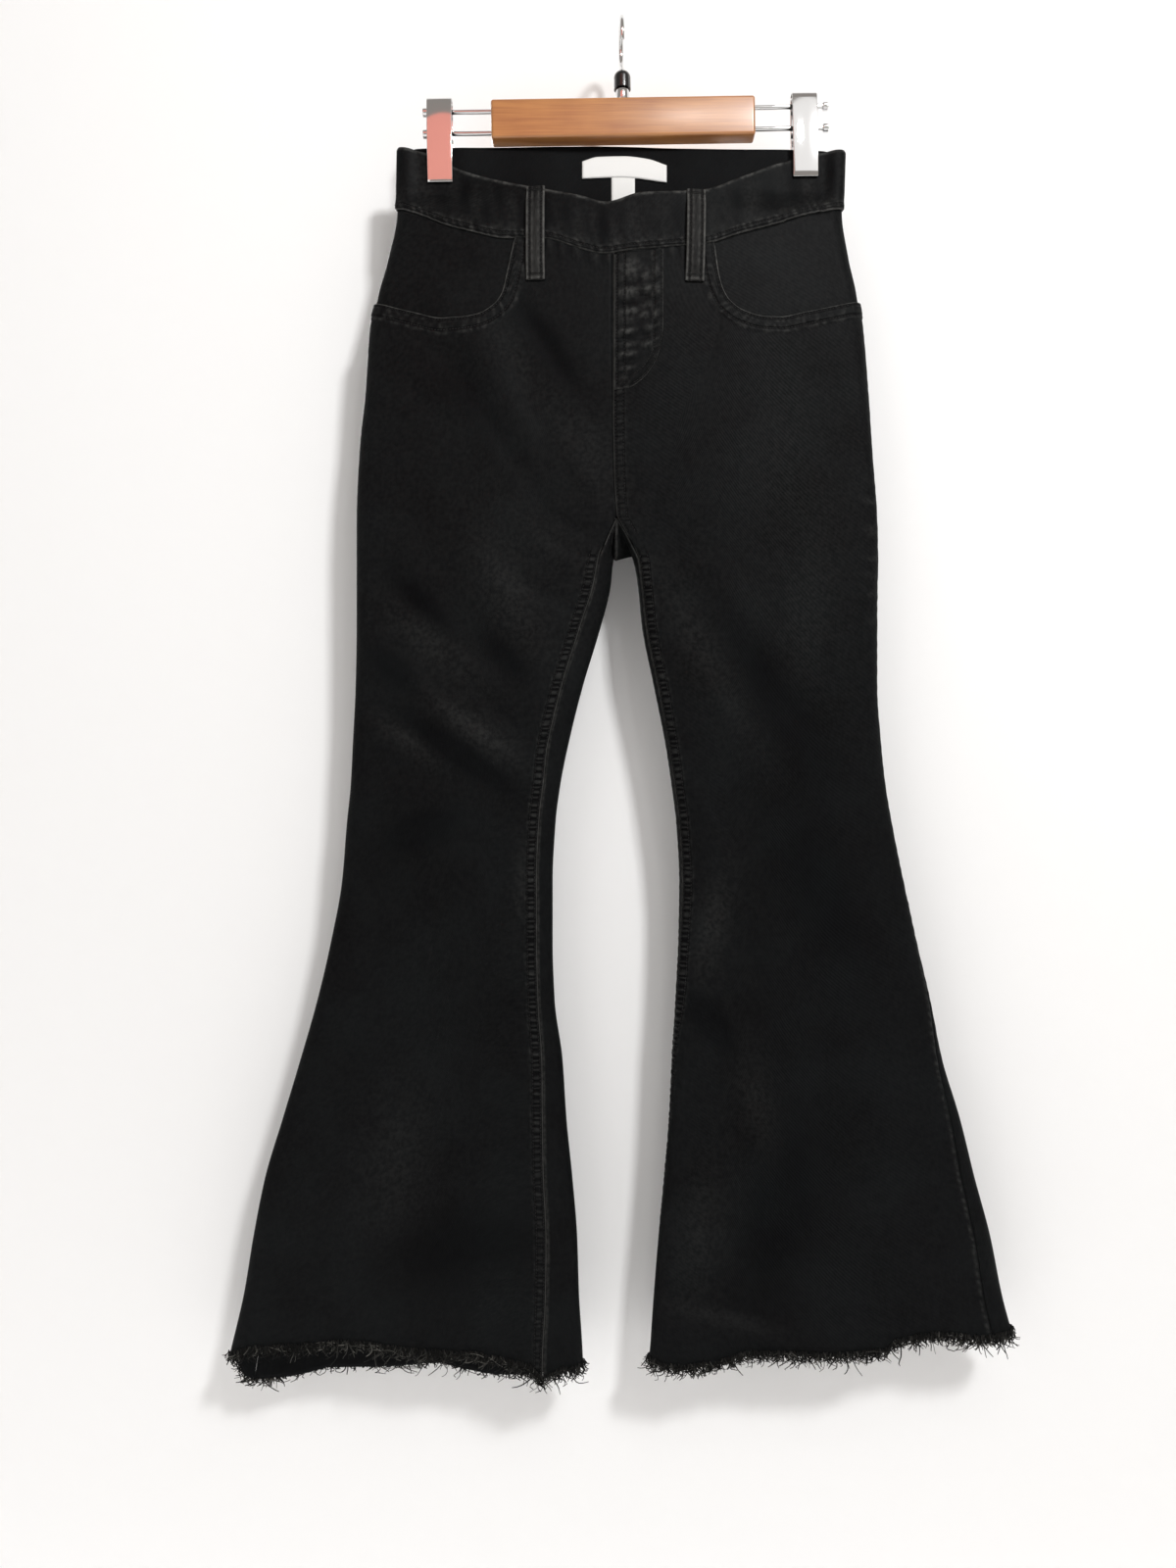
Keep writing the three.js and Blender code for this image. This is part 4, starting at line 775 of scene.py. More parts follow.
@dataclass(frozen=True)
class SeamBand:
    """Cloth doubled beside a seam, drawn into puckers by its two rows of stitches."""

    height: float        # how far the band stands up
    pucker: float        # depth of the puckers
    period: float        # mm from one pucker to the next
    worn: float          # how far its crests are rubbed grey
    seed: float
    rub: float = 0.35    # how far its puckers are rubbed
    width: float = 9.0
    last: float = 7.6    # how far the outer of its two rows of stitches lies from the seam
    rungs: float = 0.6   # how strongly its stitches show; above 0.6 they draw rungs across it

    def drawn(self, away: np.ndarray) -> np.ndarray:
        """Stretch distances from the seam so that both rows lie where the material draws them."""
        real = (0.0, 1.3, self.last, self.width, self.width + 5)
        return np.interp(away, real, (0.0, 1.3, STITCH_ROWS[1], 9.0, 14.0))

    def rows(self) -> tuple[float, float]:
        """Give the real distances of its two rows."""
        first = 1.3 + (STITCH_ROWS[0] - 1.3) * (self.last - 1.3) / (STITCH_ROWS[1] - 1.3)
        return first, self.last

    def window(self, away: np.ndarray) -> np.ndarray:
        """Give 1 on the band and 0 beside it."""
        rise = smoothstep(-0.4, 1.1, away)
        return rise * (1 - smoothstep(self.width - 0.6, self.width + 1.6, away))

    def wave(self, away: np.ndarray, run: np.ndarray) -> np.ndarray:
        """Give the uneven wave of puckers along the seam."""
        return wobble(run + 0.4 * away, self.period, self.seed) * (0.72 + 0.28 * wobble(run, self.period * 3.1, 1.7))

    def relief(self, away: np.ndarray, run: np.ndarray) -> np.ndarray:
        """Give how far the cloth stands up.

        Args:
            away: Distance from the seam.
            run: Distance along it.

        Returns:
            Heights in mm.
        """
        window = self.window(away)
        spread = np.exp(-((away / (self.width * 0.95)) ** 2)) * (1 - window) * 0.6
        grooves = sum(np.exp(-(((away - row) / 0.9) ** 2)) for row in self.rows())
        ditch = np.exp(-((away / 0.7) ** 2)) * 0.35
        return window * self.height + self.pucker * self.wave(away, run) * (window + spread) - 0.16 * grooves - ditch

    def wear(self, away: np.ndarray, run: np.ndarray) -> np.ndarray:
        """Give how far the cloth is rubbed grey, from 0 to 1."""
        crest = np.clip(0.1 + self.wave(away, run), 0, 1) * self.window(away)
        bulge = np.exp(-(((away - self.width) / 1.5) ** 2)) * (0.6 + 0.4 * wobble(run, 17.0, self.seed + 1))
        edge = np.exp(-(((away - 0.4) / 0.7) ** 2)) * (0.7 + 0.3 * wobble(run, 23.0, self.seed))
        return self.worn * np.clip(self.rub * crest + 0.22 * bulge + 0.85 * edge, 0, 1)


STITCH_ROWS = (1.9, 7.6)
STITCH_PITCH = 2.4
RUNG_PITCH = 4.4
FAR = 99.0
FELLED = SeamBand(height=0.45, pucker=0.32, period=6.0, worn=0.42, seed=0.4, rub=0.4, rungs=1.0)
CENTRE = SeamBand(height=0.4, pucker=0.18, period=5.2, worn=0.42, seed=2.1, rungs=0.72)
MOUTH = SeamBand(height=0.5, pucker=0.08, period=5.4, worn=0.85, seed=3.3, rub=0.3, width=11.5, last=9.4)
FLY = SeamBand(height=0.15, pucker=0.12, period=8.2, worn=0.5, seed=5.2)
WAIST = SeamBand(height=0.25, pucker=0.1, period=6.6, worn=0.95, seed=4.4, width=5.6, last=3.8)


@dataclass
class Dressing:
    """What is laid over a sheet's plain form: its relief, its wear with painted highlights and shade on some folds,
    and where its seams run.
    """

    relief: np.ndarray
    worn: np.ndarray
    seam: np.ndarray     # distance from the nearest stitched seam, distance along it, strength

    @classmethod
    def plain(cls, grid: Grid) -> "Dressing":
        """Start with bare cloth."""
        shape = grid.points.shape[:2]
        seam = np.zeros(shape + (3,))
        seam[..., 0] = FAR
        return cls(np.zeros(shape), np.full(shape, COATING_WEAR), seam)

    def add_band(self, band: SeamBand, away: np.ndarray, run: np.ndarray, keep: np.ndarray, strength: float = 1.0) -> None:
        """Add a seam's band where keep is above 0.

        Args:
            band: The band.
            away: Distance of each point from the seam.
            run: Distance of each point along it.
            keep: Share of the band that shows, from 0 to 1.
            strength: How strongly its stitches show.
        """
        self.relief += band.relief(away, run) * keep
        self.worn = np.maximum(self.worn, band.wear(away, run) * keep)
        drawn = band.drawn(away)
        uneven = run + 0.9 * wobble(run, 15.0, band.seed) + 0.5 * wobble(run, 6.3, 1.1)
        nearer = (drawn < self.seam[..., 0]) & (away < band.width + 4) & (keep > 0.02)
        self.seam[nearer] = np.stack([drawn, uneven, keep * strength * band.rungs], axis=-1)[nearer]


class Cloth:
    """A cloth piece: its sheet, what is laid over it, and the mesh made from both."""

    def __init__(self, name: str, grid: Grid, thickness: float, lift: float = 0.0, coarse: int = 3) -> None:
        """Start a piece.

        Args:
            name: Name of the piece.
            grid: Its outer face.
            thickness: Its wall.
            lift: How far the outer face stands off the grid.
            coarse: How many points of the outer face go to one of the hidden inner face.
        """
        self.name = name
        self.grid = grid
        self.thickness = thickness
        self.lift = lift
        self.coarse = coarse
        self.dressing = Dressing.plain(grid)

    def outer(self) -> np.ndarray:
        """Give the outer face's points with their relief."""
        stand = (self.dressing.relief + self.lift)[..., None]
        return self.grid.points + self.grid.normals * stand

    def build(self, material: bpy.types.Material) -> bpy.types.Object:
        """Make the closed shell.

        Args:
            material: Its finish.

        Returns:
            The new object.
        """
        outer = self.outer()
        rows, columns = outer.shape[:2]
        picked_rows = picks(rows, self.coarse)
        picked_columns = picks(columns, self.coarse)
        inner_grid = np.ix_(picked_rows, picked_columns)
        wall = self.grid.normals[inner_grid] * (self.lift - self.thickness)
        inner = self.grid.points[inner_grid] + wall
        flip = -self.grid.side.facing * self.grid.hand.inward
        start = rows * columns
        faces = quads(rows, columns, 0, flip) + quads(len(picked_rows), len(picked_columns), start, -flip)
        faces += rims(rows, columns, picked_rows, picked_columns, start, flip)
        vertices = np.concatenate([outer.reshape(-1, 3), inner.reshape(-1, 3)]) * MM
        flat = np.stack([self.grid.from_outseam, self.grid.from_top], axis=-1) * MM
        flat = np.concatenate([flat.reshape(-1, 2), flat[inner_grid].reshape(-1, 2)])
        hidden = len(inner.reshape(-1, 3))
        worn = np.concatenate([self.dressing.worn.ravel(), np.zeros(hidden)])
        bare = np.tile([FAR, 0.0, 0.0], (hidden, 1))
        seam = np.concatenate([self.dressing.seam.reshape(-1, 3), bare])
        return cloth_object(self.name, vertices, faces, flat, worn, seam, material)

    def declare(self, piece: bpy.types.Object, nodes: Sequence[str], slot: str, hangs_from: Sequence[str],
                with_pieces: Sequence[bpy.types.Object] = ()) -> None:
        """Attach the piece to the root, hide the solids that it stands for and log its size.

        Args:
            piece: The object made from this cloth.
            nodes: The solids that it stands for.
            slot: Not used.
            hangs_from: Not used.
            with_pieces: Not used.
        """
        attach(piece, "root")
        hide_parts(*nodes)
        width = float(self.grid.from_outseam.max()) * MM
        length = float(self.grid.from_top.max()) * MM
        width, length = round(width, 3), round(length, 3)
        area = min(self.grid.area(), width * length)
        LOG.info("%s: %.0f by %.0f mm, %.4f square metres, %d faces", self.name, width / MM, length / MM,
                 area, len(piece.data.polygons))


def picks(count: int, step: int) -> np.ndarray:
    """Pick every so many of a row of points, with both its ends."""
    return np.unique(np.append(np.arange(0, count - 1, step), count - 1))


def quads(rows: int, columns: int, start: int, flip: int) -> list[list[int]]:
    """Give the faces of a grid of vertices.

    Args:
        rows: Rows of vertices.
        columns: Vertices in a row.
        start: Number of the first vertex.
        flip: Above 0 where the grid faces along down cross across.

    Returns:
        Four vertices a face.
    """
    ids = np.arange(rows * columns).reshape(rows, columns) + start
    ring = [ids[:-1, :-1], ids[1:, :-1], ids[1:, 1:], ids[:-1, 1:]]
    faces = np.stack(ring if flip > 0 else ring[::-1], axis=-1)
    return faces.reshape(-1, 4).tolist()


def rims(rows: int, columns: int, picked_rows: np.ndarray, picked_columns: np.ndarray, start: int, flip: int) -> list[list[int]]:
    """Close the four edges between a fine outer face and a coarse inner one.

    Args:
        rows: Rows of the outer face.
        columns: Columns of the outer face.
        picked_rows: Rows that the inner face has.
        picked_columns: Columns that the inner face has.
        start: Number of the inner face's first vertex.
        flip: The outer face's direction.

    Returns:
        Faces with three or more vertices.
    """
    outer = np.arange(rows * columns).reshape(rows, columns)
    inner = np.arange(len(picked_rows) * len(picked_columns)).reshape(len(picked_rows), len(picked_columns)) + start
    edges = (
        (outer[:, 0], inner[:, 0], picked_rows, -1),
        (outer[:, -1], inner[:, -1], picked_rows, 1),
        (outer[0, :], inner[0, :], picked_columns, 1),
        (outer[-1, :], inner[-1, :], picked_columns, -1),
    )
    faces = []
    for fine, rough, places, turn in edges:
        for k in range(len(places) - 1):
            along = fine[places[k]:places[k + 1] + 1].tolist()
            face = along + [int(rough[k + 1]), int(rough[k])]
            faces.append(face if turn * flip > 0 else face[::-1])
    return faces


def cloth_object(name: str, vertices: np.ndarray, faces: list[list[int]], flat: np.ndarray, worn: np.ndarray,
                 seam: np.ndarray, material: bpy.types.Material) -> bpy.types.Object:
    """Make an object from a shell, with its flat layout, wear and seams kept on its points.

    Args:
        name: Name of the object.
        vertices: Places in metres.
        faces: Vertices of each face, outward.
        flat: Place of each vertex on the flat cloth, in metres.
        worn: Wear of each vertex, with painted highlights and shade on some folds.
        seam: Seam values of each vertex.
        material: The finish.

    Returns:
        The new object.
    """
    mesh = bpy.data.meshes.new(name)
    mesh.from_pydata(vertices.tolist(), [], faces)
    corners = np.empty(len(mesh.loops), dtype=np.int32)
    mesh.loops.foreach_get("vertex_index", corners)
    layer = mesh.uv_layers.new(name="cloth")
    layer.data.foreach_set("uv", flat[corners].astype(np.float32).ravel())
    mesh.attributes.new("worn", "FLOAT", "POINT").data.foreach_set("value", worn.astype(np.float32))
    mesh.attributes.new("seam", "FLOAT_VECTOR", "POINT").data.foreach_set("vector", seam.astype(np.float32).ravel())
    mesh.polygons.foreach_set("use_smooth", np.ones(len(mesh.polygons), dtype=bool))
    mesh.materials.append(material)
    mesh.update()
    piece = bpy.data.objects.new(name, mesh)
    bpy.context.scene.collection.objects.link(piece)
    return piece


class Thread:
    """The stitches on one piece, each a small spindle that stands out of the cloth."""

    PITCH = STITCH_PITCH
    LENGTH = 2.5
    WIDE = 0.62
    TALL = 0.5

    def __init__(self, name: str) -> None:
        """Start with no stitches."""
        self.name = name
        self.centres: list[np.ndarray] = []
        self.ways: list[np.ndarray] = []
        self.ups: list[np.ndarray] = []
        self.lengths: list[np.ndarray] = []

    def add_row(self, points: np.ndarray, normals: np.ndarray, pitch: float = STITCH_PITCH, length: float = LENGTH,
                lift: float = 0.0) -> None:
        """Sew a row of stitches along a line.

        Args:
            points: The line on the cloth.
            normals: The cloth's directions along it.
            pitch: From one stitch to the next.
            length: Length of one stitch.
            lift: How far the stitches stand off the line.
        """
        if len(points) < 2:
            return
        run = np.concatenate([[0.0], np.cumsum(np.linalg.norm(np.diff(points, axis=0), axis=1))])
        at = np.arange(pitch / 2, run[-1], pitch)
        centres = np.stack([np.interp(at, run, points[:, k]) for k in range(3)], axis=-1)
        before = np.stack([np.interp(at - length / 2, run, points[:, k]) for k in range(3)], axis=-1)
        after = np.stack([np.interp(at + length / 2, run, points[:, k]) for k in range(3)], axis=-1)
        ups = np.stack([np.interp(at, run, normals[:, k]) for k in range(3)], axis=-1)
        ups /= np.maximum(np.linalg.norm(ups, axis=1, keepdims=True), 1e-9)
        ways = after - before
        ways /= np.maximum(np.linalg.norm(ways, axis=1, keepdims=True), 1e-9)
        self.centres.append(centres + ups * lift)
        self.ways.append(ways)
        self.ups.append(ups)
        self.lengths.append(np.full(len(at), length))

    def build(self, material: bpy.types.Material) -> bpy.types.Object:
        """Make all the stitches one object.

        Args:
            material: The thread's finish.

        Returns:
            The new object.
        """
        centres, ways = np.concatenate(self.centres), np.concatenate(self.ways)
        ups, lengths = np.concatenate(self.ups), np.concatenate(self.lengths)
        sides = np.cross(ups, ways)
        spindle = np.array(
            [(-0.5, 0, -0.3)]
            + [(run, side * self.WIDE / 2, up * self.TALL / 2) for run in (-0.26, 0.26)
               for side, up in ((1, 0), (0, 1), (-1, 0), (0, -1))]
            + [(0.5, 0, -0.3)]
        )
        count, size = len(centres), len(spindle)
        vertices = (
            centres[:, None, :]
            + ways[:, None, :] * (spindle[None, :, 0:1] * lengths[:, None, None])
            + sides[:, None, :] * spindle[None, :, 1:2]
            + ups[:, None, :] * spindle[None, :, 2:3]
        ).reshape(-1, 3)
        first = [[0, 1 + (k + 1) % 4, 1 + k] for k in range(4)]
        last = [[9, 5 + k, 5 + (k + 1) % 4] for k in range(4)]
        middle = [[1 + k, 1 + (k + 1) % 4, 5 + (k + 1) % 4, 5 + k] for k in range(4)]
        starts = np.arange(count) * size
        faces = []
        for pattern in (first, last, middle):
            block = np.array(pattern)[None, :, :] + starts[:, None, None]
            faces += block.reshape(-1, block.shape[-1]).tolist()
        return strand_object(self.name, vertices, faces, np.zeros(len(vertices)), material)


def strand_object(name: str, vertices: np.ndarray, faces: list[list[int]], shade: np.ndarray,
                  material: bpy.types.Material) -> bpy.types.Object:
    """Make an object of thread, with the shade of each vertex kept on it.

    Args:
        name: Name of the object.
        vertices: Places in mm.
        faces: Vertices of each face.
        shade: How light the thread is, from 0 to 1.
        material: The finish.

    Returns:
        The new object.
    """
    mesh = bpy.data.meshes.new(name)
    mesh.from_pydata((vertices * MM).tolist(), [], faces)
    mesh.attributes.new("shade", "FLOAT", "POINT").data.foreach_set("value", shade.astype(np.float32))
    mesh.polygons.foreach_set("use_smooth", np.ones(len(mesh.polygons), dtype=bool))
    mesh.materials.append(material)
    mesh.update()
    piece = bpy.data.objects.new(name, mesh)
    bpy.context.scene.collection.objects.link(piece)
    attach(piece, "root")
    LOG.info("%s: %d faces", name, len(faces))
    return piece


# How the rows and columns of the sheets are spaced.
ROW_SPACE = 1.6
BACK_ROW_SPACE = 2.6
SHARE_STEPS = (0.0, 0.1, 0.86, 1.0)
FRONT_COUNTS = (12, 70, 24)
BACK_COUNTS = (10, 46, 14)
COLUMN_SHARES = (0, 0.04, 0.1, 0.19, 0.29, 0.39, 0.49, 0.59, 0.69, 0.78, 0.86, 0.92, 0.965, 1)
TOP_STATIONS = {
    Hand.LEFT: (-188, -178, -156, -134, -114, -98, -90, -85.6, -81.2, -62, -44, -25),
    Hand.RIGHT: (180, 170, 148, 126, 106, 87, 78, 72.6, 69.4, 50, 32, 13),
}
COLUMN_BLEND = (-232.0, -330.0)
TOP_START = -170.0


def shares(counts: Sequence[int]) -> np.ndarray:
    """Space columns across a panel, closer near its seams."""
    parts = [np.linspace(a, b, n, endpoint=False) for a, b, n in zip(SHARE_STEPS[:-1], SHARE_STEPS[1:], counts)]
    return np.append(np.concatenate(parts), 1.0)


def spaced(start: float, end: float, space: float) -> np.ndarray:
    """Space heights evenly from start to end, both kept."""
    return np.linspace(start, end, max(2, int(round(abs(end - start) / space)) + 1))


class LegPanel:
    """A front or back panel of one leg, from its top edge to the raw hem."""

    def __init__(self, hand: Hand, side: Side) -> None:
        """Choose the panel."""
        self.half = HALVES[hand]
        self.hand = hand
        self.side = side
        self.name = f"{side.value}_panel_{hand.value}"
        self.space = ROW_SPACE if side is Side.FRONT else BACK_ROW_SPACE

    def top(self, x: np.ndarray) -> np.ndarray:
        """Give the height of the panel's top edge."""
        if self.side is Side.FRONT:
            return self.half.front_top(x)
        return YOKE_SEAM.curve("z", x) - GAP

    def rows(self, u: np.ndarray, levels: np.ndarray) -> np.ndarray:
        """Lay out level rows.

        Args:
            u: Shares of the way across.
            levels: Heights of the rows.

        Returns:
            Points in rows and columns.
        """
        z = np.repeat(levels[:, None], len(u), axis=1)
        return self.half.sheet(self.side, np.broadcast_to(u, z.shape), lambda x, turned: z, z)

    def top_rows(self, u: np.ndarray, space: float) -> np.ndarray:
        """Lay out the rows that go from the top edge over to level."""
        steps = spaced(0, 1, space / (TOP_START - TOP_ZONE))[:-1, None]
        start = np.repeat(mix(TOP_START, TOP_ZONE, steps), u.shape[-1], axis=1)
        across = np.broadcast_to(u, start.shape)
        return self.half.sheet(
            self.side, across, lambda x, turned: mix(self.top(x), TOP_ZONE, steps), start)

    def hem_rows(self, u: np.ndarray, space: float) -> np.ndarray:
        """Lay out the rows that go from level over to the raw hem."""
        steps = spaced(0, 1, space / 65)[1:, None]
        start = np.full((len(steps), u.shape[-1]), HEM_ZONE)
        across = np.broadcast_to(u, start.shape)
        return self.half.sheet(
            self.side, across, lambda x, turned: mix(HEM_ZONE, self.half.hem(self.side, x, turned), steps), start)

    def front_shares(self, levels: np.ndarray) -> np.ndarray:
        """Shift the columns so that they follow the pocket mouth near the top.

        Args:
            levels: Heights of the rows.

        Returns:
            Shares for each row and column.
        """
        u = shares(FRONT_COUNTS)
        stations = TOP_STATIONS[self.hand]
        starts = [0.0] + [self.half.share_at(Side.FRONT, x, float(self.top(np.asarray(x, dtype=float))))
                          for x in stations] + [1.0]
        shifted = np.interp(u, COLUMN_SHARES, starts)
        settled = smoothstep(COLUMN_BLEND[1], COLUMN_BLEND[0], levels)[:, None]
        return mix(u[None, :], shifted[None, :], settled)

    def front_points(self) -> np.ndarray:
        """Lay out a front panel."""
        steps = spaced(0, 1, self.space / (TOP_START - TOP_ZONE))[:-1]
        top_u = self.front_shares(mix(TOP_START, TOP_ZONE, steps))
        start = np.repeat(mix(TOP_START, TOP_ZONE, steps)[:, None], top_u.shape[1], axis=1)
        top = self.half.sheet(
            self.side, top_u, lambda x, turned: mix(self.top(x), TOP_ZONE, steps[:, None]), start)
        levels = spaced(TOP_ZONE, HEM_ZONE, self.space)
        u = self.front_shares(levels)
        z = np.repeat(levels[:, None], u.shape[1], axis=1)
        body = self.half.sheet(self.side, u, lambda x, turned: z, z)
        return np.concatenate([top, body, self.hem_rows(shares(FRONT_COUNTS), self.space)])

    def front_edge(self, z: float) -> np.ndarray:
        """Give the front panel's inner edge at a height."""
        spot = self.half.sheet(Side.FRONT, np.ones((1, 1)), lambda x, turned: np.full((1, 1), z), np.full((1, 1), z))
        return spot[0, 0]

    def seat_rows(self, u: np.ndarray) -> np.ndarray:
        """Lay out the rows that pass under the crotch, from body to leg.

        Args:
            u: Shares of the way across.

        Returns:
            Points in rows and columns.
        """
        above = self.rows(u, np.array([CROTCH_SEAT]))[0]
        below = self.rows(u, np.array([CROTCH_LOW]))[0]
        middle = CENTRE_SEAM.rows[0][1] - self.half.inward * GAP / 2
        join = self.front_edge(CROTCH_JOIN) + np.array([0, 0, -5 * GAP])
        fork = self.front_edge(CROTCH_MIDDLE) + np.array([self.half.inward * 2 * GAP, 0, 0])
        knots = np.array([0.0, 0.3, 0.55, 0.8, 1.0])
        targets = np.array([(middle, 8.0, -403.0), (middle, -0.5, -411.5), join, fork, below[-1]])
        at = np.linspace(0, 0.94, SEAT_ROWS)
        path = np.stack([monotone(knots, targets[:, k], at) for k in range(3)], axis=-1)
        blended = mix(above[None], below[None], at[:, None, None])
        pull = np.clip((u - SEAT_PULL_FROM) / (1 - SEAT_PULL_FROM), 0, 1) ** 2
        return blended + (path - blended[:, -1])[:, None, :] * pull[None, :, None]

    def back_points(self) -> np.ndarray:
        """Lay out a back panel."""
        u = shares(BACK_COUNTS)
        return np.concatenate([
            self.top_rows(u, self.space),
            self.rows(u, spaced(TOP_ZONE, CROTCH_MIDDLE, self.space)),
            self.seat_rows(u),
            self.rows(u, spaced(CROTCH_LOW, HEM_ZONE, self.space)),
            self.hem_rows(u, self.space),
        ])

    def cloth(self) -> Cloth:
        """Make the panel with its seams dressed.

        Returns:
            The piece, ready to build.
        """
        points = self.front_points() if self.side is Side.FRONT else self.back_points()
        grid = Grid(points, self.side, self.hand)
        self.square_centre(grid)
        piece = Cloth(self.name, grid, CLOTH)
        if self.side is Side.FRONT:
            self.dress_front(piece)
        else:
            self.dress_back(piece)
        return piece

    def square_centre(self, grid: Grid) -> None:
        """Turn the cut edges at the centre seam to face each other squarely."""
        body = grid.points[:, -1, 2] > (CROTCH_JOIN if self.side is Side.FRONT else CROTCH_SEAT)
        grid.normals[body, -1, 0] = 0
        edge = grid.normals[:, -1]
        edge /= np.maximum(np.linalg.norm(edge, axis=1, keepdims=True), 1e-9)

    def dress_front(self, piece: Cloth) -> None:
        """Add the seams, wear, painted fold shading, a painted shadow under the waistband and small waves of a front
        panel.
        """
        grid, dressing = piece.grid, piece.dressing
        x, z = grid.points[..., 0], grid.points[..., 2]
        inside, outseam = grid.from_inside, grid.from_outseam
        run = -z
        leg = smoothstep(CROTCH_LOW + 12, CROTCH_LOW - 2, z)
        dressing.worn = rubbed(self.side, x, z)
        dressing.add_band(FELLED, inside, run, leg * (1 - 0.22 * smoothstep(-780, -940, z)))
        if self.hand is Hand.RIGHT:
            dressing.add_band(CENTRE, inside, run, smoothstep(CROTCH_MIDDLE - 2, CROTCH_MIDDLE + 8, z))
        away, along = distance_to(self.half.mouth, x, z)
        in_pocket = smoothstep(-4, 2, -(x - self.half.pocket_top()) * self.half.inward + 6)
        beside = smoothstep(-4, 2, -(x - self.half.pocket_top()) * self.half.inward + 18)
        dressing.add_band(MOUTH, away, along, beside * smoothstep(-262, -250, z))
        under = np.exp(-((grid.from_top / 9.0) ** 2)) * (1 - in_pocket)
        dressing.relief += 0.3 * under * wobble(x, 11.5, 0.9)
        # Painted shadow: the wear is taken away under the waistband, and the crests of the small gathers there get
        # painted highlights.
        dressing.worn = dressing.worn * (1 - 0.9 * under)
        dressing.worn = np.maximum(dressing.worn, 0.15 * under * np.clip(wobble(x, 11.5, 0.9), 0, 1))
        side = np.exp(-((outseam / 7.0) ** 2))
        dressing.relief += 0.16 * side * wobble(run, 11.0, 1.3)
        if self.hand is Hand.RIGHT:
            self.rub_outseam(piece)
        self.dress_hem(piece)

    def rub_outseam(self, piece: Cloth) -> None:
        """Rub the puckers at the right hip, and the rope that the turnings make down the flare."""
        dressing, outseam = piece.dressing, piece.grid.from_outseam
        z = piece.grid.points[..., 2]
        hip = smoothstep(-345, -372, z) * smoothstep(-480, -445, z)
        puckers = np.exp(-(((outseam - 14.0) / 8.0) ** 2)) * np.clip(wobble(-z, 17.0, 2.0), 0, 1) * hip
        rope = np.exp(-(((outseam - 1.8) / 1.4) ** 2)) * smoothstep(-430, -640, z)
        rope *= 0.6 + 0.4 * wobble(-z, 7.0, 0.4)
        dressing.relief += 0.5 * puckers + 0.25 * rope
        dressing.worn = np.maximum(dressing.worn, 0.15 * puckers + 0.34 * np.clip(rope, 0, 1))

    def dress_back(self, piece: Cloth) -> None:
        """Add the seams, wear, painted fold shading and small waves of a back panel."""
        grid, dressing = piece.grid, piece.dressing
        x, z = grid.points[..., 0], grid.points[..., 2]
        run = -z
        dressing.worn = rubbed(self.side, x, z)
        body = smoothstep(CROTCH_SEAT - 2, CROTCH_SEAT + 10, z)
        if self.hand is Hand.LEFT:
            dressing.add_band(CENTRE, grid.from_inside, run, body)
        across = grid.from_outseam
        top = 1 - smoothstep(14, 18, grid.from_top)
        dressing.add_band(MOUTH, grid.from_top, across, top)
        beside = np.exp(-((grid.from_inside / 8.0) ** 2)) * (1 - body)
        dressing.relief += 0.2 * beside * wobble(run, 7.0, 0.8)
        side = np.exp(-((grid.from_outseam / 7.0) ** 2))
        dressing.relief += 0.14 * side * wobble(run, 12.0, 2.3)
        dressing.worn = np.maximum(dressing.worn, 0.4 * np.exp(-((grid.from_inside / 1.2) ** 2)))
        self.dress_hem(piece)

    def dress_hem(self, piece: Cloth) -> None:
        """Let the raw edge wave a little, and rub it pale."""
        grid, dressing = piece.grid, piece.dressing
        near = np.exp(-((grid.from_hem / 9.0) ** 2))
        x = grid.points[..., 0]
        dressing.relief += near * (0.35 * wobble(x, 21.0, 0.6) + 0.2 * wobble(x, 8.0, 2.6))
        fringe = np.exp(-((grid.from_hem / 2.2) ** 2))
        dressing.worn = np.maximum(dressing.worn, fringe * (0.2 + 0.15 * wobble(x, 6.0, 1.1)))

    def stitches(self, piece: Cloth) -> Thread:
        """Sew the rows that show on the panel.

        Args:
            piece: The dressed panel.

        Returns:
            Its thread.
        """
        grid = Grid(piece.outer(), self.side, self.hand)
        thread = Thread(f"stitches_{self.name}")
        z = grid.points[:, -1, 2]
        if self.side is Side.FRONT:
            for row in STITCH_ROWS:
                thread.add_row(*grid.line(piece.grid.from_inside, row, z < CROTCH_LOW + 4))
                if self.hand is Hand.RIGHT:
                    seam = (z > CROTCH_MIDDLE + 4) & (z < FLY_LOW)
                    thread.add_row(*grid.line(piece.grid.from_inside, row, seam))
            for row in MOUTH.rows():
                thread.add_row(*mouth_line(grid, self.half, row))
        else:
            top = np.ones(grid.points.shape[1], dtype=bool)
            for row in STITCH_ROWS:
                thread.add_row(*grid.line_across(piece.grid.from_top, row, top))
                if self.hand is Hand.LEFT:
                    thread.add_row(*grid.line(piece.grid.from_inside, row, z > CROTCH_SEAT + 4))
        return thread


SEAT_ROWS = 14
SEAT_PULL_FROM = 0.86
FLY_LOW = -287.0


def mouth_samples(mouth: Table) -> np.ndarray:
    """Give close points along a pocket mouth, as x and z."""
    xs = mouth.column("x")
    x = np.concatenate([np.linspace(a, b, 30, endpoint=False) for a, b in zip(xs[:-1], xs[1:])] + [xs[-1:]])
    return np.stack([x, mouth.curve("z", x)], axis=-1)


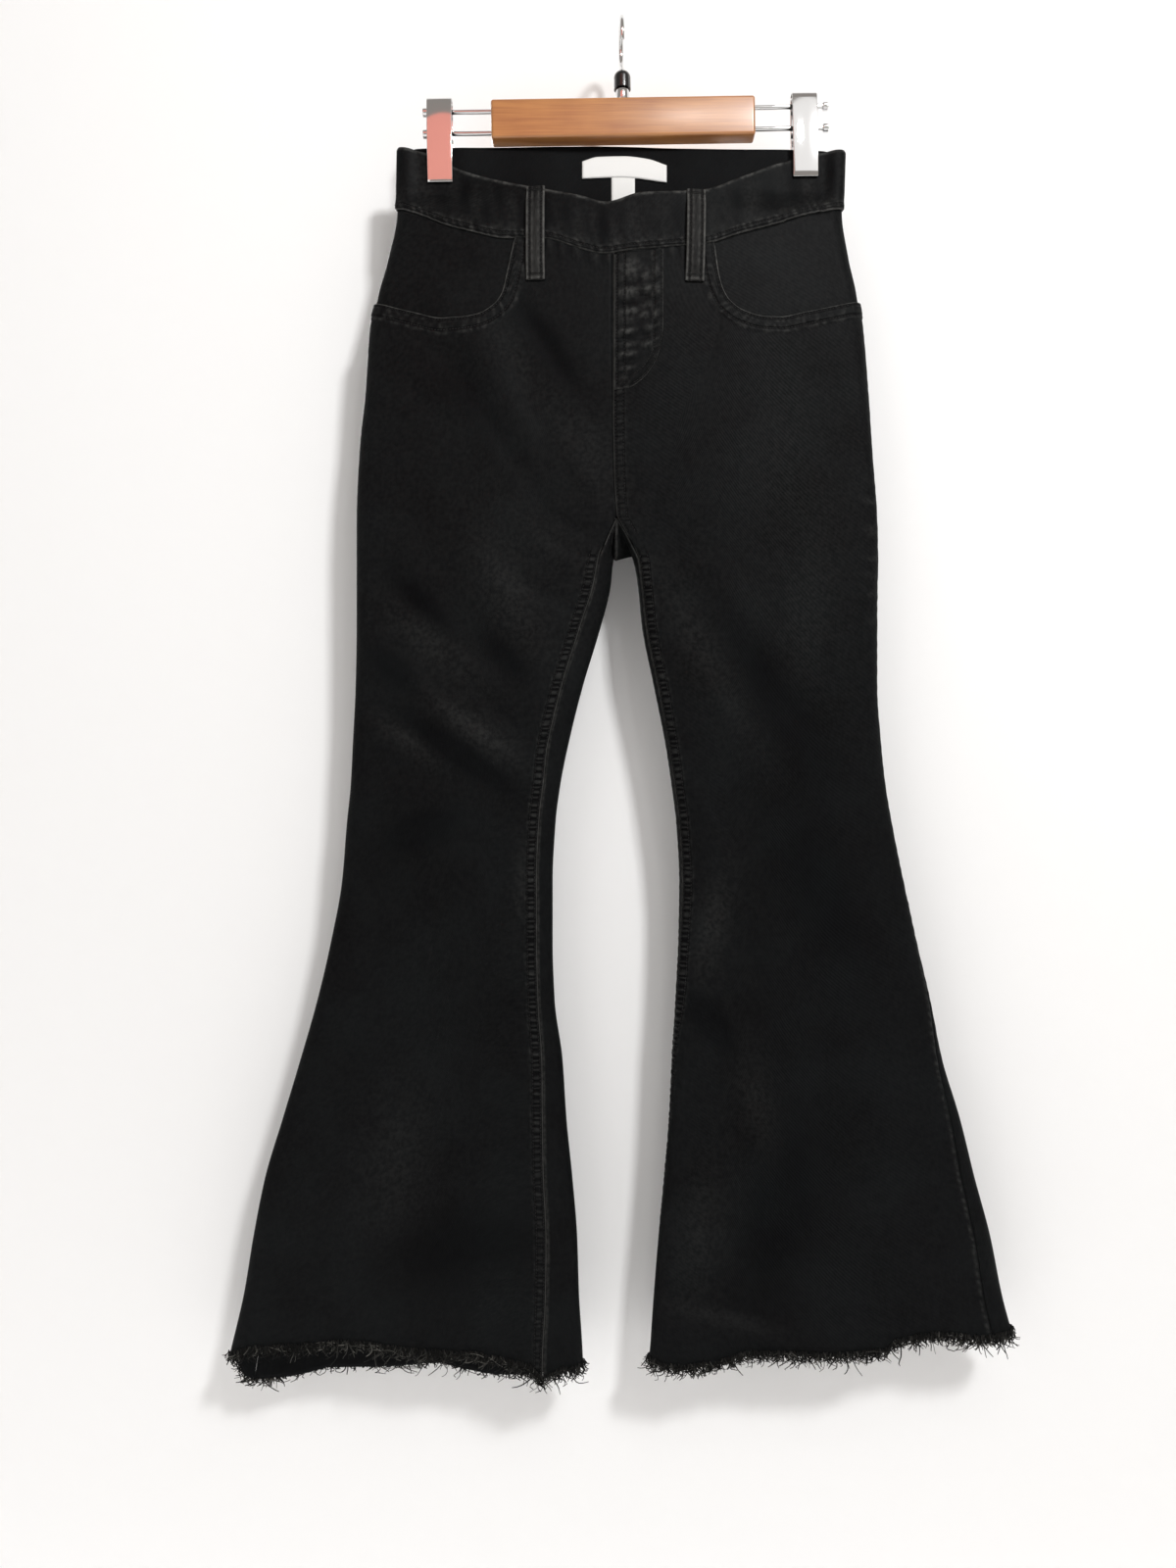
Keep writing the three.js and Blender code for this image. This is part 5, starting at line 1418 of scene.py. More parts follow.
def distance_to(mouth: Table, x: np.ndarray, z: np.ndarray) -> tuple[np.ndarray, np.ndarray]:
    """Measure places near a pocket mouth from its edge.

    Args:
        mouth: The pocket mouth.
        x: Places across.
        z: Heights.

    Returns:
        Distance from the edge and distance along it, with FAR for places well below.
    """
    line = mouth_samples(mouth)
    run = np.concatenate([[0.0], np.cumsum(np.linalg.norm(np.diff(line, axis=0), axis=1))])
    away = np.full(x.shape, FAR)
    along = np.zeros(x.shape)
    near = z > -270
    gaps = np.hypot(x[near][:, None] - line[None, :, 0], z[near][:, None] - line[None, :, 1])
    nearest = gaps.argmin(axis=1)
    away[near] = gaps[np.arange(len(nearest)), nearest]
    slope = np.gradient(line, axis=0)
    slope /= np.linalg.norm(slope, axis=1, keepdims=True)
    past = np.stack([x[near], z[near]], axis=-1) - line[nearest]
    along[near] = run[nearest] + (past * slope[nearest]).sum(axis=1)
    return away, along


def mouth_line(grid: Grid, half: Half, distance: float) -> tuple[np.ndarray, np.ndarray]:
    """Follow a front panel at one distance below the pocket mouth.

    Args:
        grid: The dressed panel.
        half: Its half.
        distance: How far from the edge the line runs.

    Returns:
        Points of the line and the cloth's directions there.
    """
    line = mouth_samples(half.mouth)
    slope = np.gradient(line, axis=0)
    slope /= np.linalg.norm(slope, axis=1, keepdims=True)
    x = line[:, 0] + slope[:, 1] * distance
    z = line[:, 1] - slope[:, 0] * distance
    outer = half.outer(z)
    keep = (np.abs(x - outer) > ROLL) & (z < FRONT_WAIST_SEAM.curve("z", x) - 2) & (z > -270)
    x, z = x[keep], z[keep]
    rows = grid.points[:, :, 2] > -280
    cells = np.flatnonzero(rows.ravel())
    flat, ways = grid.points.reshape(-1, 3)[cells], grid.normals.reshape(-1, 3)[cells]
    spots, ups = [], []
    for px, pz in zip(x, z):
        gap = np.hypot(flat[:, 0] - px, flat[:, 2] - pz)
        near = np.argsort(gap)[:4]
        weight = 1 / (gap[near] + 0.05)
        weight /= weight.sum()
        spots.append((px, float((flat[near, 1] * weight).sum()), pz))
        ups.append((ways[near] * weight[:, None]).sum(axis=0))
    return np.array(spots), np.array(ups)


SIDE_SEAM = -2.0         # how far behind the outline the side seams lie


class Waistband:
    """The front or back half of the waistband, from side seam to side seam."""

    ENDS = ((-172.0, 171.8), (-173.0, 170.3))    # x at the folded top and at the seam
    TOP_ROWS = (0.0, 0.5, 1.1, 2.0, 3.2)
    DEPTH = 48.0
    STEP = 1.5
    RISE = 1.8           # how far the back half's top comes up under the bar

    def __init__(self, side: Side) -> None:
        """Choose the half."""
        self.side = side
        self.name = f"waistband_{side.value}"

    def grid(self) -> Grid:
        """Lay out the band with both ends rolled round to the side seams.

        Returns:
            Its outer face.
        """
        seam = -self.side.facing * float(roll_angle(np.array(SIDE_SEAM))) + GAP / 2 / ROLL
        angles = np.linspace(seam, math.pi / 2, 13)
        rows = np.concatenate([np.array(self.TOP_ROWS) / self.DEPTH, np.arange(4.6, self.DEPTH, self.STEP) / self.DEPTH, [1.0]])
        middle = np.arange(self.ENDS[0][0] + ROLL + 2, self.ENDS[0][1] - ROLL - 1, self.STEP)
        share = rows[:, None]
        left, right = (mix(self.ENDS[0][k], self.ENDS[1][k], share) for k in (0, 1))
        offset = roll_offset(np.abs(angles))[None, :]
        x = np.concatenate([left + offset, np.repeat(middle[None, :], len(rows), 0), right - offset[:, ::-1]], axis=1)
        factor = np.sin(np.abs(angles))
        factor = np.concatenate([factor, np.ones(len(middle)), factor[::-1]])
        behind = np.concatenate([angles < 0, np.zeros(len(middle), dtype=bool), angles[::-1] < 0])
        z = mix(top_edge(self.side, x), waist_seam(self.side, x), share)
        if self.side is Side.BACK:
            z = z + self.RISE * np.exp(-(((x + 29) / 60.0) ** 2)) * (1 - share)
        here, there = body_points(self.side, x, z), body_points(self.side.other, x, z)
        points = np.where(behind[None, :, None], there, here)
        points[..., 1] *= factor[None, :]
        return Grid(points, self.side, Hand.LEFT)

    def cloth(self) -> Cloth:
        """Make the band with its seam, its soft elastic ripples, painted light and shade in upright streaks, and its
        folded top.

        Returns:
            The piece, ready to build.
        """
        grid = self.grid()
        piece = Cloth(self.name, grid, BAND)
        dressing = piece.dressing
        x = grid.points[..., 0]
        above = grid.from_hem
        dressing.add_band(WAIST, above, x + 400, np.ones_like(above))
        rounding = np.exp(-((grid.from_top / 1.1) ** 2))
        dressing.relief -= 1.0 * rounding
        dressing.relief -= 0.7 * np.exp(-((above / 0.8) ** 2))
        fold = np.exp(-(((grid.from_top - 1.2) / 1.3) ** 2))
        dressing.worn = np.maximum(dressing.worn, fold * (0.55 + 0.25 * wobble(x, 19.0, 0.5)))
        middle = np.exp(-((x / 70.0) ** 2))
        ripple = np.sin(np.clip(grid.from_top / self.DEPTH, 0, 1) * math.pi)
        dressing.relief += 0.12 * middle * ripple * wobble(x, 19.0, 0.2)
        dressing.relief += 0.22 * np.exp(-((above / 12.0) ** 2)) * wobble(x + 0.3 * above, 8.5, 3.1)
        low = np.exp(-(((above - 7.5) / 3.5) ** 2)) * (0.6 + 0.4 * wobble(x, 31.0, 0.9))
        dressing.worn = np.maximum(dressing.worn, COATING_WEAR + 0.07 * low)
        # Painted light and shade: upright streaks, lighter and darker, standing in for the light on the band's
        # ripples.
        streaks = COATING_WEAR + 0.06 * ripple * wobble(x, 23.0, 1.4) * wobble(x + 0.4 * above, 61.0, 0.7)
        dressing.worn = np.maximum(dressing.worn - COATING_WEAR, 0) + np.clip(streaks, 0, 1)
        return piece

    def stitches(self, piece: Cloth) -> Thread:
        """Sew the row above the seam."""
        grid = Grid(piece.outer(), self.side, Hand.LEFT)
        thread = Thread(f"stitches_{self.name}")
        keep = np.ones(grid.points.shape[1], dtype=bool)
        thread.add_row(*grid.line_across(piece.grid.from_hem, WAIST.last, keep))
        return thread


class Yoke:
    """The shaped piece between the back waistband and a back panel."""

    def __init__(self, hand: Hand) -> None:
        """Choose the half."""
        self.half = HALVES[hand]
        self.name = f"back_yoke_{hand.value}"

    def cloth(self) -> Cloth:
        """Make the yoke with its drawn lower edge.

        Returns:
            The piece, ready to build.
        """
        u = shares(BACK_COUNTS)
        steps = np.linspace(0, 1, 30)[:, None]
        start = np.full((len(steps), len(u)), -160.0)
        points = self.half.sheet(
            Side.BACK, np.broadcast_to(u, start.shape),
            lambda x, turned: mix(waist_seam(Side.BACK, x) - GAP, YOKE_SEAM.curve("z", x), steps), start)
        grid = Grid(points, Side.BACK, self.half.hand)
        grid.normals[:, -1, 0] = 0
        piece = Cloth(self.name, grid, CLOTH)
        below = np.exp(-((grid.from_hem / 5.0) ** 2))
        across = grid.from_outseam
        piece.dressing.relief += 0.22 * below * wobble(across, 8.0, 1.2)
        under = np.exp(-((grid.from_top / 8.0) ** 2))
        piece.dressing.relief += 0.25 * under * wobble(across, 7.5, 2.9)
        if self.half.hand is Hand.LEFT:
            piece.dressing.add_band(CENTRE, grid.from_inside, grid.from_top, np.ones_like(across))
        return piece

    def stitches(self, piece: Cloth) -> Thread:
        """Sew the centre seam's rows on, where this half carries them."""
        grid = Grid(piece.outer(), Side.BACK, self.half.hand)
        thread = Thread(f"stitches_{self.name}")
        keep = np.ones(grid.points.shape[0], dtype=bool)
        for row in STITCH_ROWS:
            thread.add_row(*grid.line(piece.grid.from_inside, row, keep))
        return thread


class PocketFacing:
    """The cloth that shows in a pocket mouth and runs on under the front panel."""

    def __init__(self, hand: Hand) -> None:
        """Choose the half."""
        self.half = HALVES[hand]
        self.name = f"pocket_facing_{hand.value}"

    def cloth(self) -> Cloth:
        """Make the facing.

        Returns:
            The piece, ready to build.
        """
        half = self.half
        last = half.share_at(Side.FRONT, half.pocket_top() + half.inward * POCKET_LAP, -178.0)
        u = np.concatenate([np.linspace(0, 0.12, 12, endpoint=False), np.linspace(0.12, last, 48)])
        steps = np.linspace(0, 1, 46)[:, None]
        start = np.full((len(steps), len(u)), -160.0)

        def height(x: np.ndarray, turned: np.ndarray) -> np.ndarray:
            """Go from the waist seam to well below the pocket mouth."""
            low = half.mouth.curve("z", x - half.inward * POCKET_LAP) - POCKET_LAP
            return mix(waist_seam(Side.FRONT, x) - GAP, low, steps)

        points = half.sheet(Side.FRONT, np.broadcast_to(u, start.shape), height, start)
        grid = Grid(points, Side.FRONT, half.hand)
        piece = Cloth(self.name, grid, CLOTH, lift=-CLOTH - 3 * GAP + 0.5)
        under = np.exp(-((grid.from_top / 8.0) ** 2))
        piece.dressing.relief += 0.2 * under * wobble(grid.points[..., 0], 7.0, 1.9)
        x, z = grid.points[..., 0], grid.points[..., 2]
        away, along = distance_to(half.mouth, x, z)
        piece.dressing.relief += 0.12 * np.exp(-((away / 5) ** 2)) * wobble(along, 8.0, 0.3)
        return piece


def laid_grid(side: Side, x: np.ndarray, steps: np.ndarray, top: Callable[[np.ndarray], np.ndarray],
              low: Callable[[np.ndarray], np.ndarray]) -> Grid:
    """Lay out a flat piece on the body.

    Args:
        side: The face that it lies on.
        x: Its columns.
        steps: Its rows, as shares from the top.
        top: Height of its top edge over x.
        low: Height of its lower edge over x.

    Returns:
        Its grid, from the viewer's left on the front.
    """
    across = np.repeat(x[None, :], len(steps), axis=0)
    z = mix(top(across), low(across), steps[:, None])
    return Grid(body_points(side, across, z), side, Hand.LEFT)


class MockFly:
    """The layer beside the centre seam that ends in a J, sewn flat."""

    LEFT, RIGHT = -6.0, 31.0
    PUCKERS = Table(("x", "z", "wide", "tall", "height"), (
        (5.0, -199.0, 8.0, 8.0, 0.7), (3.0, -209.5, 7.0, 2.0, -0.6), (4.0, -216.0, 7.5, 4.2, 0.9),
        (3.0, -225.5, 6.5, 1.8, -0.8), (5.0, -230.0, 7.0, 2.6, 0.9), (4.0, -237.0, 7.5, 3.4, 0.4),
        (3.0, -245.0, 6.0, 2.0, 1.0), (4.0, -250.0, 6.5, 1.8, -0.9), (5.0, -254.5, 7.5, 2.2, 0.5),
        (3.0, -261.5, 6.5, 1.7, 0.9), (4.0, -267.0, 7.0, 1.5, -0.8), (3.0, -272.0, 6.0, 1.8, 0.6),
        (17.0, -203.0, 4.0, 5.0, 0.5), (18.0, -213.5, 4.5, 3.0, 0.8), (16.0, -219.0, 6.0, 1.8, -0.6),
        (18.0, -226.0, 5.0, 3.0, 0.4), (17.0, -233.0, 4.0, 2.4, 0.7), (20.0, -242.0, 4.0, 3.0, 0.4),
        (16.0, -248.0, 4.5, 2.4, -0.7), (19.0, -254.0, 4.0, 2.6, 0.8), (25.0, -199.0, 3.0, 5.0, 0.5),
        (26.0, -214.0, 3.0, 4.0, 0.6), (25.0, -232.0, 3.4, 3.0, 0.7), (24.0, -244.0, 3.0, 3.0, -0.5)))

    def cloth(self) -> Cloth:
        """Make the fly with its drawn rows.

        Returns:
            The piece, ready to build.
        """
        x = np.linspace(self.LEFT, self.RIGHT - 0.3, 44)
        grid = laid_grid(Side.FRONT, x, np.linspace(0, 1, 110), lambda at: waist_seam(Side.FRONT, at) - 2,
                         lambda at: FLY_EDGE.curve("z", at))
        piece = Cloth("mock_fly", grid, LAYER, lift=GAP + LAYER, coarse=2)
        dressing = piece.dressing
        at, z = grid.points[..., 0], grid.points[..., 2]
        run = -z
        dressing.add_band(FLY, at - self.LEFT, run, np.ones_like(at))
        edge = np.minimum(self.RIGHT - at, grid.from_hem * 0.9)
        outer = edge < at - self.LEFT
        dressing.add_band(SeamBand(0.1, 0.2, 6.4, 0.5, 6.6), edge, run + at, np.where(outer, 1.0, 0.0), 0.45)
        for x_at, z_at, wide, tall, height in zip(*(self.PUCKERS.column(name) for name in self.PUCKERS.columns)):
            swell = np.exp(-(((at - x_at) / wide) ** 2) - (((z - z_at - 0.12 * (at - x_at)) / tall) ** 2))
            dressing.relief += 1.25 * height * swell
            dressing.worn = np.maximum(dressing.worn, max(height, 0) * 0.62 * swell)
        dressing.relief -= 0.5 * np.exp(-((np.minimum(edge, at - self.LEFT) / 0.7) ** 2))
        return piece

    def stitches(self, piece: Cloth) -> Thread:
        """Sew the two upright rows and the J.

        Args:
            piece: The dressed fly.

        Returns:
            Its thread.
        """
        grid = Grid(piece.outer(), Side.FRONT, Hand.LEFT)
        thread = Thread("stitches_mock_fly")
        keep = np.ones(grid.points.shape[0], dtype=bool)
        away = grid.points[..., 0] - self.LEFT
        for row in STITCH_ROWS:
            thread.add_row(*grid.line(away, row, keep))
        for inset in STITCH_ROWS:
            right = grid.points[..., 2] > FLY_LOW + 34
            thread.add_row(*grid.line(self.RIGHT - grid.points[..., 0], inset, right[:, -1]))
            across = np.linspace(-4, self.RIGHT - inset * 0.8, 40)
            z = FLY_EDGE.curve("z", across) + inset * 1.1
            rise = smoothstep(14, self.RIGHT, across) * inset * 0.8
            spots = body_points(Side.FRONT, across, z + rise)
            spots[:, 1] -= GAP + LAYER + 0.1
            ups = np.tile([0.0, -1.0, 0.0], (len(across), 1))
            thread.add_row(spots[across > 8], ups[across > 8])
        return thread


@dataclass(frozen=True)
class BeltLoop:
    """A narrow strip sewn down at both ends, standing off the waistband between them."""

    name: str
    side: Side
    x: float
    lean: float
    below: float         # how far it runs below the waist seam

    STANCE = Table(("share", "off"), ((0, 0.3), (0.07, 0.3), (0.17, 1.8), (0.5, 2.6), (0.83, 1.8), (0.93, 0.3), (1, 0.3)))

    def cloth(self) -> Cloth:
        """Make the strip with its two folded edges and the ridge between them.

        Returns:
            The piece, ready to build.
        """
        steps = np.linspace(0, 1, 62)
        across = np.linspace(-0.5, 0.5, 19)
        top = float(top_edge(self.side, np.array(self.x))) - 1
        low = float(waist_seam(self.side, np.array(self.x))) - self.below
        x = self.x + across[None, :] * LOOP_WIDTH - self.lean * (steps[:, None] - 0.5)
        z = np.repeat(mix(top, low, steps)[:, None], len(across), axis=1)
        base = Grid(body_points(self.side, x, z), self.side, Hand.LEFT)
        off = self.STANCE.curve("off", steps)[:, None, None] + LOOP_THICK
        smooth = base.normals.mean(axis=1, keepdims=True)
        grid = Grid(base.points + smooth * off, self.side, Hand.LEFT)
        piece = Cloth(self.name, grid, LOOP_THICK, coarse=2)
        dressing = piece.dressing
        away = np.abs(across)[None, :] * LOOP_WIDTH
        run = steps[:, None] * (top - low)
        edge = LOOP_WIDTH / 2 - away
        dressing.relief -= 0.7 * np.exp(-((edge / 0.9) ** 2))
        dressing.relief -= 0.32 * np.exp(-(((away - 4.4) / 0.8) ** 2))
        dressing.relief += 0.22 * np.exp(-((away / 1.5) ** 2))
        dressing.relief += 0.12 * wobble(run + 0.6 * away, 5.5, self.x) * (edge > 1)
        bars = sum(np.exp(-(((steps[:, None] - at) / 0.022) ** 2)) for at in (0.035, 0.945))
        dressing.relief -= 0.35 * bars
        rubbed = 0.75 * np.exp(-(((edge - 0.9) / 0.8) ** 2)) + 0.4 * np.exp(-(((away - 2.4) / 0.8) ** 2))
        rubbed = rubbed * (0.75 + 0.25 * wobble(run, 7.0, 1.0)) + 0.5 * np.exp(-(((steps[:, None] - 0.985) / 0.016) ** 2))
        dressing.worn = np.clip(rubbed, 0, 1)
        dressing.seam[..., 0] = np.where(edge < 4.6, edge - 0.7, FAR)
        dressing.seam[..., 1] = run
        dressing.seam[..., 2] = 0.7
        return piece

    def stitches(self, piece: Cloth) -> Thread:
        """Sew the long rows and the bar of close stitches at both ends.

        Args:
            piece: The dressed loop.

        Returns:
            Its thread.
        """
        grid = Grid(piece.outer(), self.side, Hand.LEFT)
        thread = Thread(f"stitches_{self.name}")
        rows, columns = grid.points.shape[:2]
        for column in (3, columns - 4):
            thread.add_row(grid.points[4:-4, column], grid.normals[4:-4, column], lift=0.05)
        for row in (2, 3, rows - 5, rows - 4):
            thread.add_row(grid.points[row, 1:-1], grid.normals[row, 1:-1], pitch=0.95, length=1.3, lift=0.1)
        return thread


BELT_LOOPS = (
    BeltLoop("belt_loop_front_left", Side.FRONT, -64.6, 0.0, 32.0),
    BeltLoop("belt_loop_front_right", Side.FRONT, 54.8, 1.5, 28.0),
    BeltLoop("belt_loop_back_left", Side.BACK, -96.0, 0.0, 24.0),
    BeltLoop("belt_loop_back_centre", Side.BACK, -4.0, 0.0, 24.0),
    BeltLoop("belt_loop_back_right", Side.BACK, 98.0, 0.0, 24.0),
)


class Label:
    """The blank label inside the back waistband and the tab sewn in under it."""

    TAB = (-7.5, 10.5)
    TAB_LOW = -136.0

    def label(self) -> Cloth:
        """Make the label."""
        grid = laid_grid(Side.BACK, np.linspace(-30, 35, 40), np.linspace(0, 1, 12),
                         lambda at: LABEL_TOP.curve("z", at), lambda at: LABEL_LOW.curve("z", at))
        return Cloth("waist_label", grid, LAYER, lift=-BAND - GAP, coarse=1)

    def tab(self) -> Cloth:
        """Make the tab."""
        grid = laid_grid(Side.BACK, np.linspace(*self.TAB, 12), np.linspace(0, 1, 14),
                         lambda at: LABEL_LOW.curve("z", at) - GAP, lambda at: np.full(np.shape(at), self.TAB_LOW))
        return Cloth("waist_tab", grid, LAYER, lift=-BAND - GAP, coarse=1)


def each(values: np.ndarray) -> np.ndarray:
    """Shape one value for each thread so that it works on all points of it."""
    return values[:, None, None]


class HemFray:
    """The loose ends along a raw hem: short ends that hang, and long threads that lie along it."""

    ENDS = 2300
    STEPS = 7
    TUFT = 16.0          # how far a tuft reaches from a side seam
    SIDES = 3
    LONG = 46

    def __init__(self, hand: Hand, front: Cloth, back: Cloth) -> None:
        """Find the hem once round the leg.

        Args:
            hand: The leg.
            front: Its front panel.
            back: Its back panel.
        """
        self.hand = hand
        self.name = f"hem_fray_{hand.value}"
        self.loose = f"hem_threads_{hand.value}"
        self.random = np.random.default_rng(11 if hand is Hand.LEFT else 12)
        points = [piece.outer()[-1] - piece.grid.normals[-1] * CLOTH / 2 for piece in (front, back)]
        self.points = np.concatenate([points[0], points[1][::-1]])
        self.normals = np.concatenate([front.grid.normals[-1], back.grid.normals[-1][::-1]])
        self.normals[:, 2] = 0
        self.normals /= np.linalg.norm(self.normals, axis=1, keepdims=True)
        steps = np.linalg.norm(np.diff(np.concatenate([self.points, self.points[:1]]), axis=0), axis=1)
        self.run = np.concatenate([[0.0], np.cumsum(steps)])
        self.corners = (0.0, self.run[len(points[0])], self.run[-1])

    def at(self, run: np.ndarray) -> tuple[np.ndarray, np.ndarray]:
        """Find places on the hem and the cloth's directions there, by distance round it."""
        run = np.mod(run, self.run[-1])
        points = np.concatenate([self.points, self.points[:1]])
        normals = np.concatenate([self.normals, self.normals[:1]])
        spots = np.stack([np.interp(run, self.run, points[:, k]) for k in range(3)], axis=-1)
        ways = np.stack([np.interp(run, self.run, normals[:, k]) for k in range(3)], axis=-1)
        return spots, ways / np.maximum(np.linalg.norm(ways, axis=-1, keepdims=True), 1e-9)

    def ends(self) -> tuple[np.ndarray, np.ndarray, np.ndarray]:
        """Lay out the short ends.

        Returns:
            Their middle lines, their radii and their shades.
        """
        random, count = self.random, self.ENDS
        where = np.sort(random.uniform(0, self.run[-1], count))
        clump = 0.55 + 0.45 * wobble(where, 17.0, 0.3) * wobble(where, 5.5, 1.2)
        tuft = sum(np.exp(-(((where - corner) / self.TUFT) ** 2)) for corner in self.corners)
        length = (4.0 + 7.5 * random.random(count) ** 1.5) * (0.65 + 0.5 * clump) * (1 + 0.45 * tuft)
        length += np.where(random.random(count) > 0.99, random.uniform(8, 16, count), 0)
        roots, out = self.at(where)
        if self.hand is Hand.LEFT:
            plain = (out[:, 1] > 0.3) & (tuft < 0.3) & (random.random(count) > 0.3)
            length[plain] *= 0.3
        side = np.stack([-out[:, 1], out[:, 0], np.zeros(count)], axis=-1)
        down = np.array([0.0, 0.0, -1.0])
        lean = random.normal(0, 0.42, count)
        lift = random.normal(0.2, 0.26, count) * np.where(out[:, 1] > 0.3, 0.5, 1.0)
        curl = random.normal(0, 1.5, count) * np.clip(length / 6, 0.4, 1.6)
        turns = random.uniform(2.5, 7.8, count)
        t = np.linspace(0, 1, self.STEPS)[None, :, None]
        droop = t - 0.38 * t ** 2.4 * each(np.clip(random.random(count) * 1.6, 0, 1.5))
        above = random.uniform(0.5, 4.5, count)
        roots += out * (CLOTH / 2 + 0.3 + 0.12 * above[:, None])
        lines = (
            roots[:, None, :] + down * (each(length) * droop - each(above))
            + side[:, None, :] * (each(length * lean) * t ** 1.4 + each(curl) * np.sin(each(turns) * t) * t)
            + out[:, None, :] * (each(length * lift) * t ** 1.5 + 0.5 * each(curl) * (1 - np.cos(each(turns) * t)) * t)
        )
        taper = 1 - 0.45 * t[..., 0] ** 2
        radii = random.uniform(0.32, 0.62, count)[:, None] * taper
        shade = np.clip(random.normal(-0.05, 0.23, count), 0, 1)
        return lines, radii, shade

    def long_threads(self) -> tuple[np.ndarray, np.ndarray, np.ndarray]:
        """Lay out the long threads that have come away along the edge.

        Returns:
            Their middle lines, their radii and their shades.
        """
        random, count, steps = self.random, self.LONG, 4 * self.STEPS
        where = random.uniform(0, self.run[-1], count)
        length = random.uniform(9, 38, count)
        t = np.linspace(0, 1, steps)[None, :]
        spots, out = self.at(where[:, None] + length[:, None] * t)
        drop = random.uniform(-0.8, 3.2, count)[:, None] + random.uniform(0.5, 2.6, count)[:, None] * np.sin(
            math.pi * t * random.uniform(0.8, 2.4, count)[:, None] + random.uniform(0, 3, count)[:, None])
        stand = 1.0 + random.uniform(0, 1.3, count)[:, None] * (1 + np.sin(
            math.pi * t * random.uniform(1.0, 3.0, count)[:, None] + random.uniform(0, 6, count)[:, None]))
        lines = spots + out * stand[..., None]
        lines[..., 2] -= drop
        radii = np.full((count, steps), 0.28)
        shade = np.clip(random.normal(0.5, 0.25, count), 0.1, 1)
        return lines, radii, shade

    def build(self, material: bpy.types.Material) -> bpy.types.Object:
        """Make all the threads one object.

        Args:
            material: Their finish.

        Returns:
            The new object.
        """
        vertices, faces, shades, start = [], [], [], 0
        for lines, radii, shade in (self.ends(), self.long_threads()):
            block, block_faces = tubes(lines, radii, self.SIDES, start)
            vertices.append(block)
            faces += block_faces
            steps = lines.shape[1]
            paler = shade[:, None] * np.linspace(0.3, 1.7, steps)[None, :]
            shades.append(np.clip(np.repeat(paler.ravel(), len(block) // (len(shade) * steps)), 0, 1))
            start += len(block)
        return strand_object(self.loose, np.concatenate(vertices), faces, np.concatenate(shades), material)


def tubes(lines: np.ndarray, radii: np.ndarray, sides: int, start: int) -> tuple[np.ndarray, list[list[int]]]:
    """Make thin tubes round many middle lines at once.

    Args:
        lines: Points of each line.
        radii: Radius at each point.
        sides: How many sides a tube has.
        start: Number of the first vertex.

    Returns:
        The vertices and the faces.
    """
    count, steps = lines.shape[:2]
    ways = np.gradient(lines, axis=1)
    ways /= np.maximum(np.linalg.norm(ways, axis=2, keepdims=True), 1e-9)
    helper = np.where(np.abs(ways[..., 1:2]) < 0.9, np.array([0.0, 1.0, 0.0]), np.array([1.0, 0.0, 0.0]))
    first = np.cross(ways, helper)
    first /= np.maximum(np.linalg.norm(first, axis=2, keepdims=True), 1e-9)
    second = np.cross(ways, first)
    angles = np.arange(sides) / sides * 2 * math.pi
    rings = (
        lines[:, :, None, :]
        + first[:, :, None, :] * (np.cos(angles)[None, None, :, None] * radii[..., None, None])
        + second[:, :, None, :] * (np.sin(angles)[None, None, :, None] * radii[..., None, None])
    )
    ids = np.arange(count * steps * sides).reshape(count, steps, sides) + start
    after = np.roll(ids, -1, axis=2)
    walls = np.stack([ids[:, :-1], after[:, :-1], after[:, 1:], ids[:, 1:]], axis=-1).reshape(-1, 4).tolist()
    roots = ids[:, 0, ::-1].reshape(-1, sides).tolist()
    tips = ids[:, -1].reshape(-1, sides).tolist()
    return rings.reshape(-1, 3), walls + roots + tips


def linear(colour: str) -> tuple[float, float, float, float]:
    """Turn an sRGB hex colour into linear values."""
    parts = [int(colour[i:i + 2], 16) / 255 for i in (1, 3, 5)]
    values = [part / 12.92 if part <= 0.04045 else ((part + 0.055) / 1.055) ** 2.4 for part in parts]
    return (*values, 1.0)


def add_node(tree: bpy.types.NodeTree, kind: str, inputs: dict | None = None, **settings: object) -> bpy.types.Node:
    """Add a node with its settings, its values and its links.

    Args:
        tree: The node tree.
        kind: The node's type.
        inputs: Values or output sockets for its inputs, by name or number.
        settings: The node's own properties.

    Returns:
        The new node.
    """
    node = tree.nodes.new(kind)
    for name, value in settings.items():
        setattr(node, name, value)
    for name, value in (inputs or {}).items():
        if isinstance(value, bpy.types.NodeSocket):
            tree.links.new(value, node.inputs[name])
        else:
            node.inputs[name].default_value = value
    return node


@dataclass(frozen=True)
class Finish:
    """A finish with one shader and no pattern."""

    name: str
    colour: str
    roughness: float
    metallic: float = 0.0
    coat: float = 0.0
    coat_roughness: float = 0.1
    sheen: float = 0.0
    specular: float = 0.5

    def start(self) -> tuple[bpy.types.Material, bpy.types.NodeTree, bpy.types.Node]:
        """Make the material and its shader.

        Returns:
            The material, its node tree and the shader.
        """
        material = bpy.data.materials.new(self.name)
        material.use_nodes = True
        tree = material.node_tree
        tree.nodes.clear()
        shader = add_node(tree, "ShaderNodeBsdfPrincipled", {
            "Base Color": linear(self.colour),
            "Roughness": self.roughness,
            "Metallic": self.metallic,
            "Coat Weight": self.coat,
            "Coat Roughness": self.coat_roughness,
            "Sheen Weight": self.sheen,
            "Specular IOR Level": self.specular,
        })
        add_node(tree, "ShaderNodeOutputMaterial", {"Surface": shader.outputs["BSDF"]})
        return material, tree, shader

    def build(self) -> bpy.types.Material:
        """Make the material."""
        return self.start()[0]


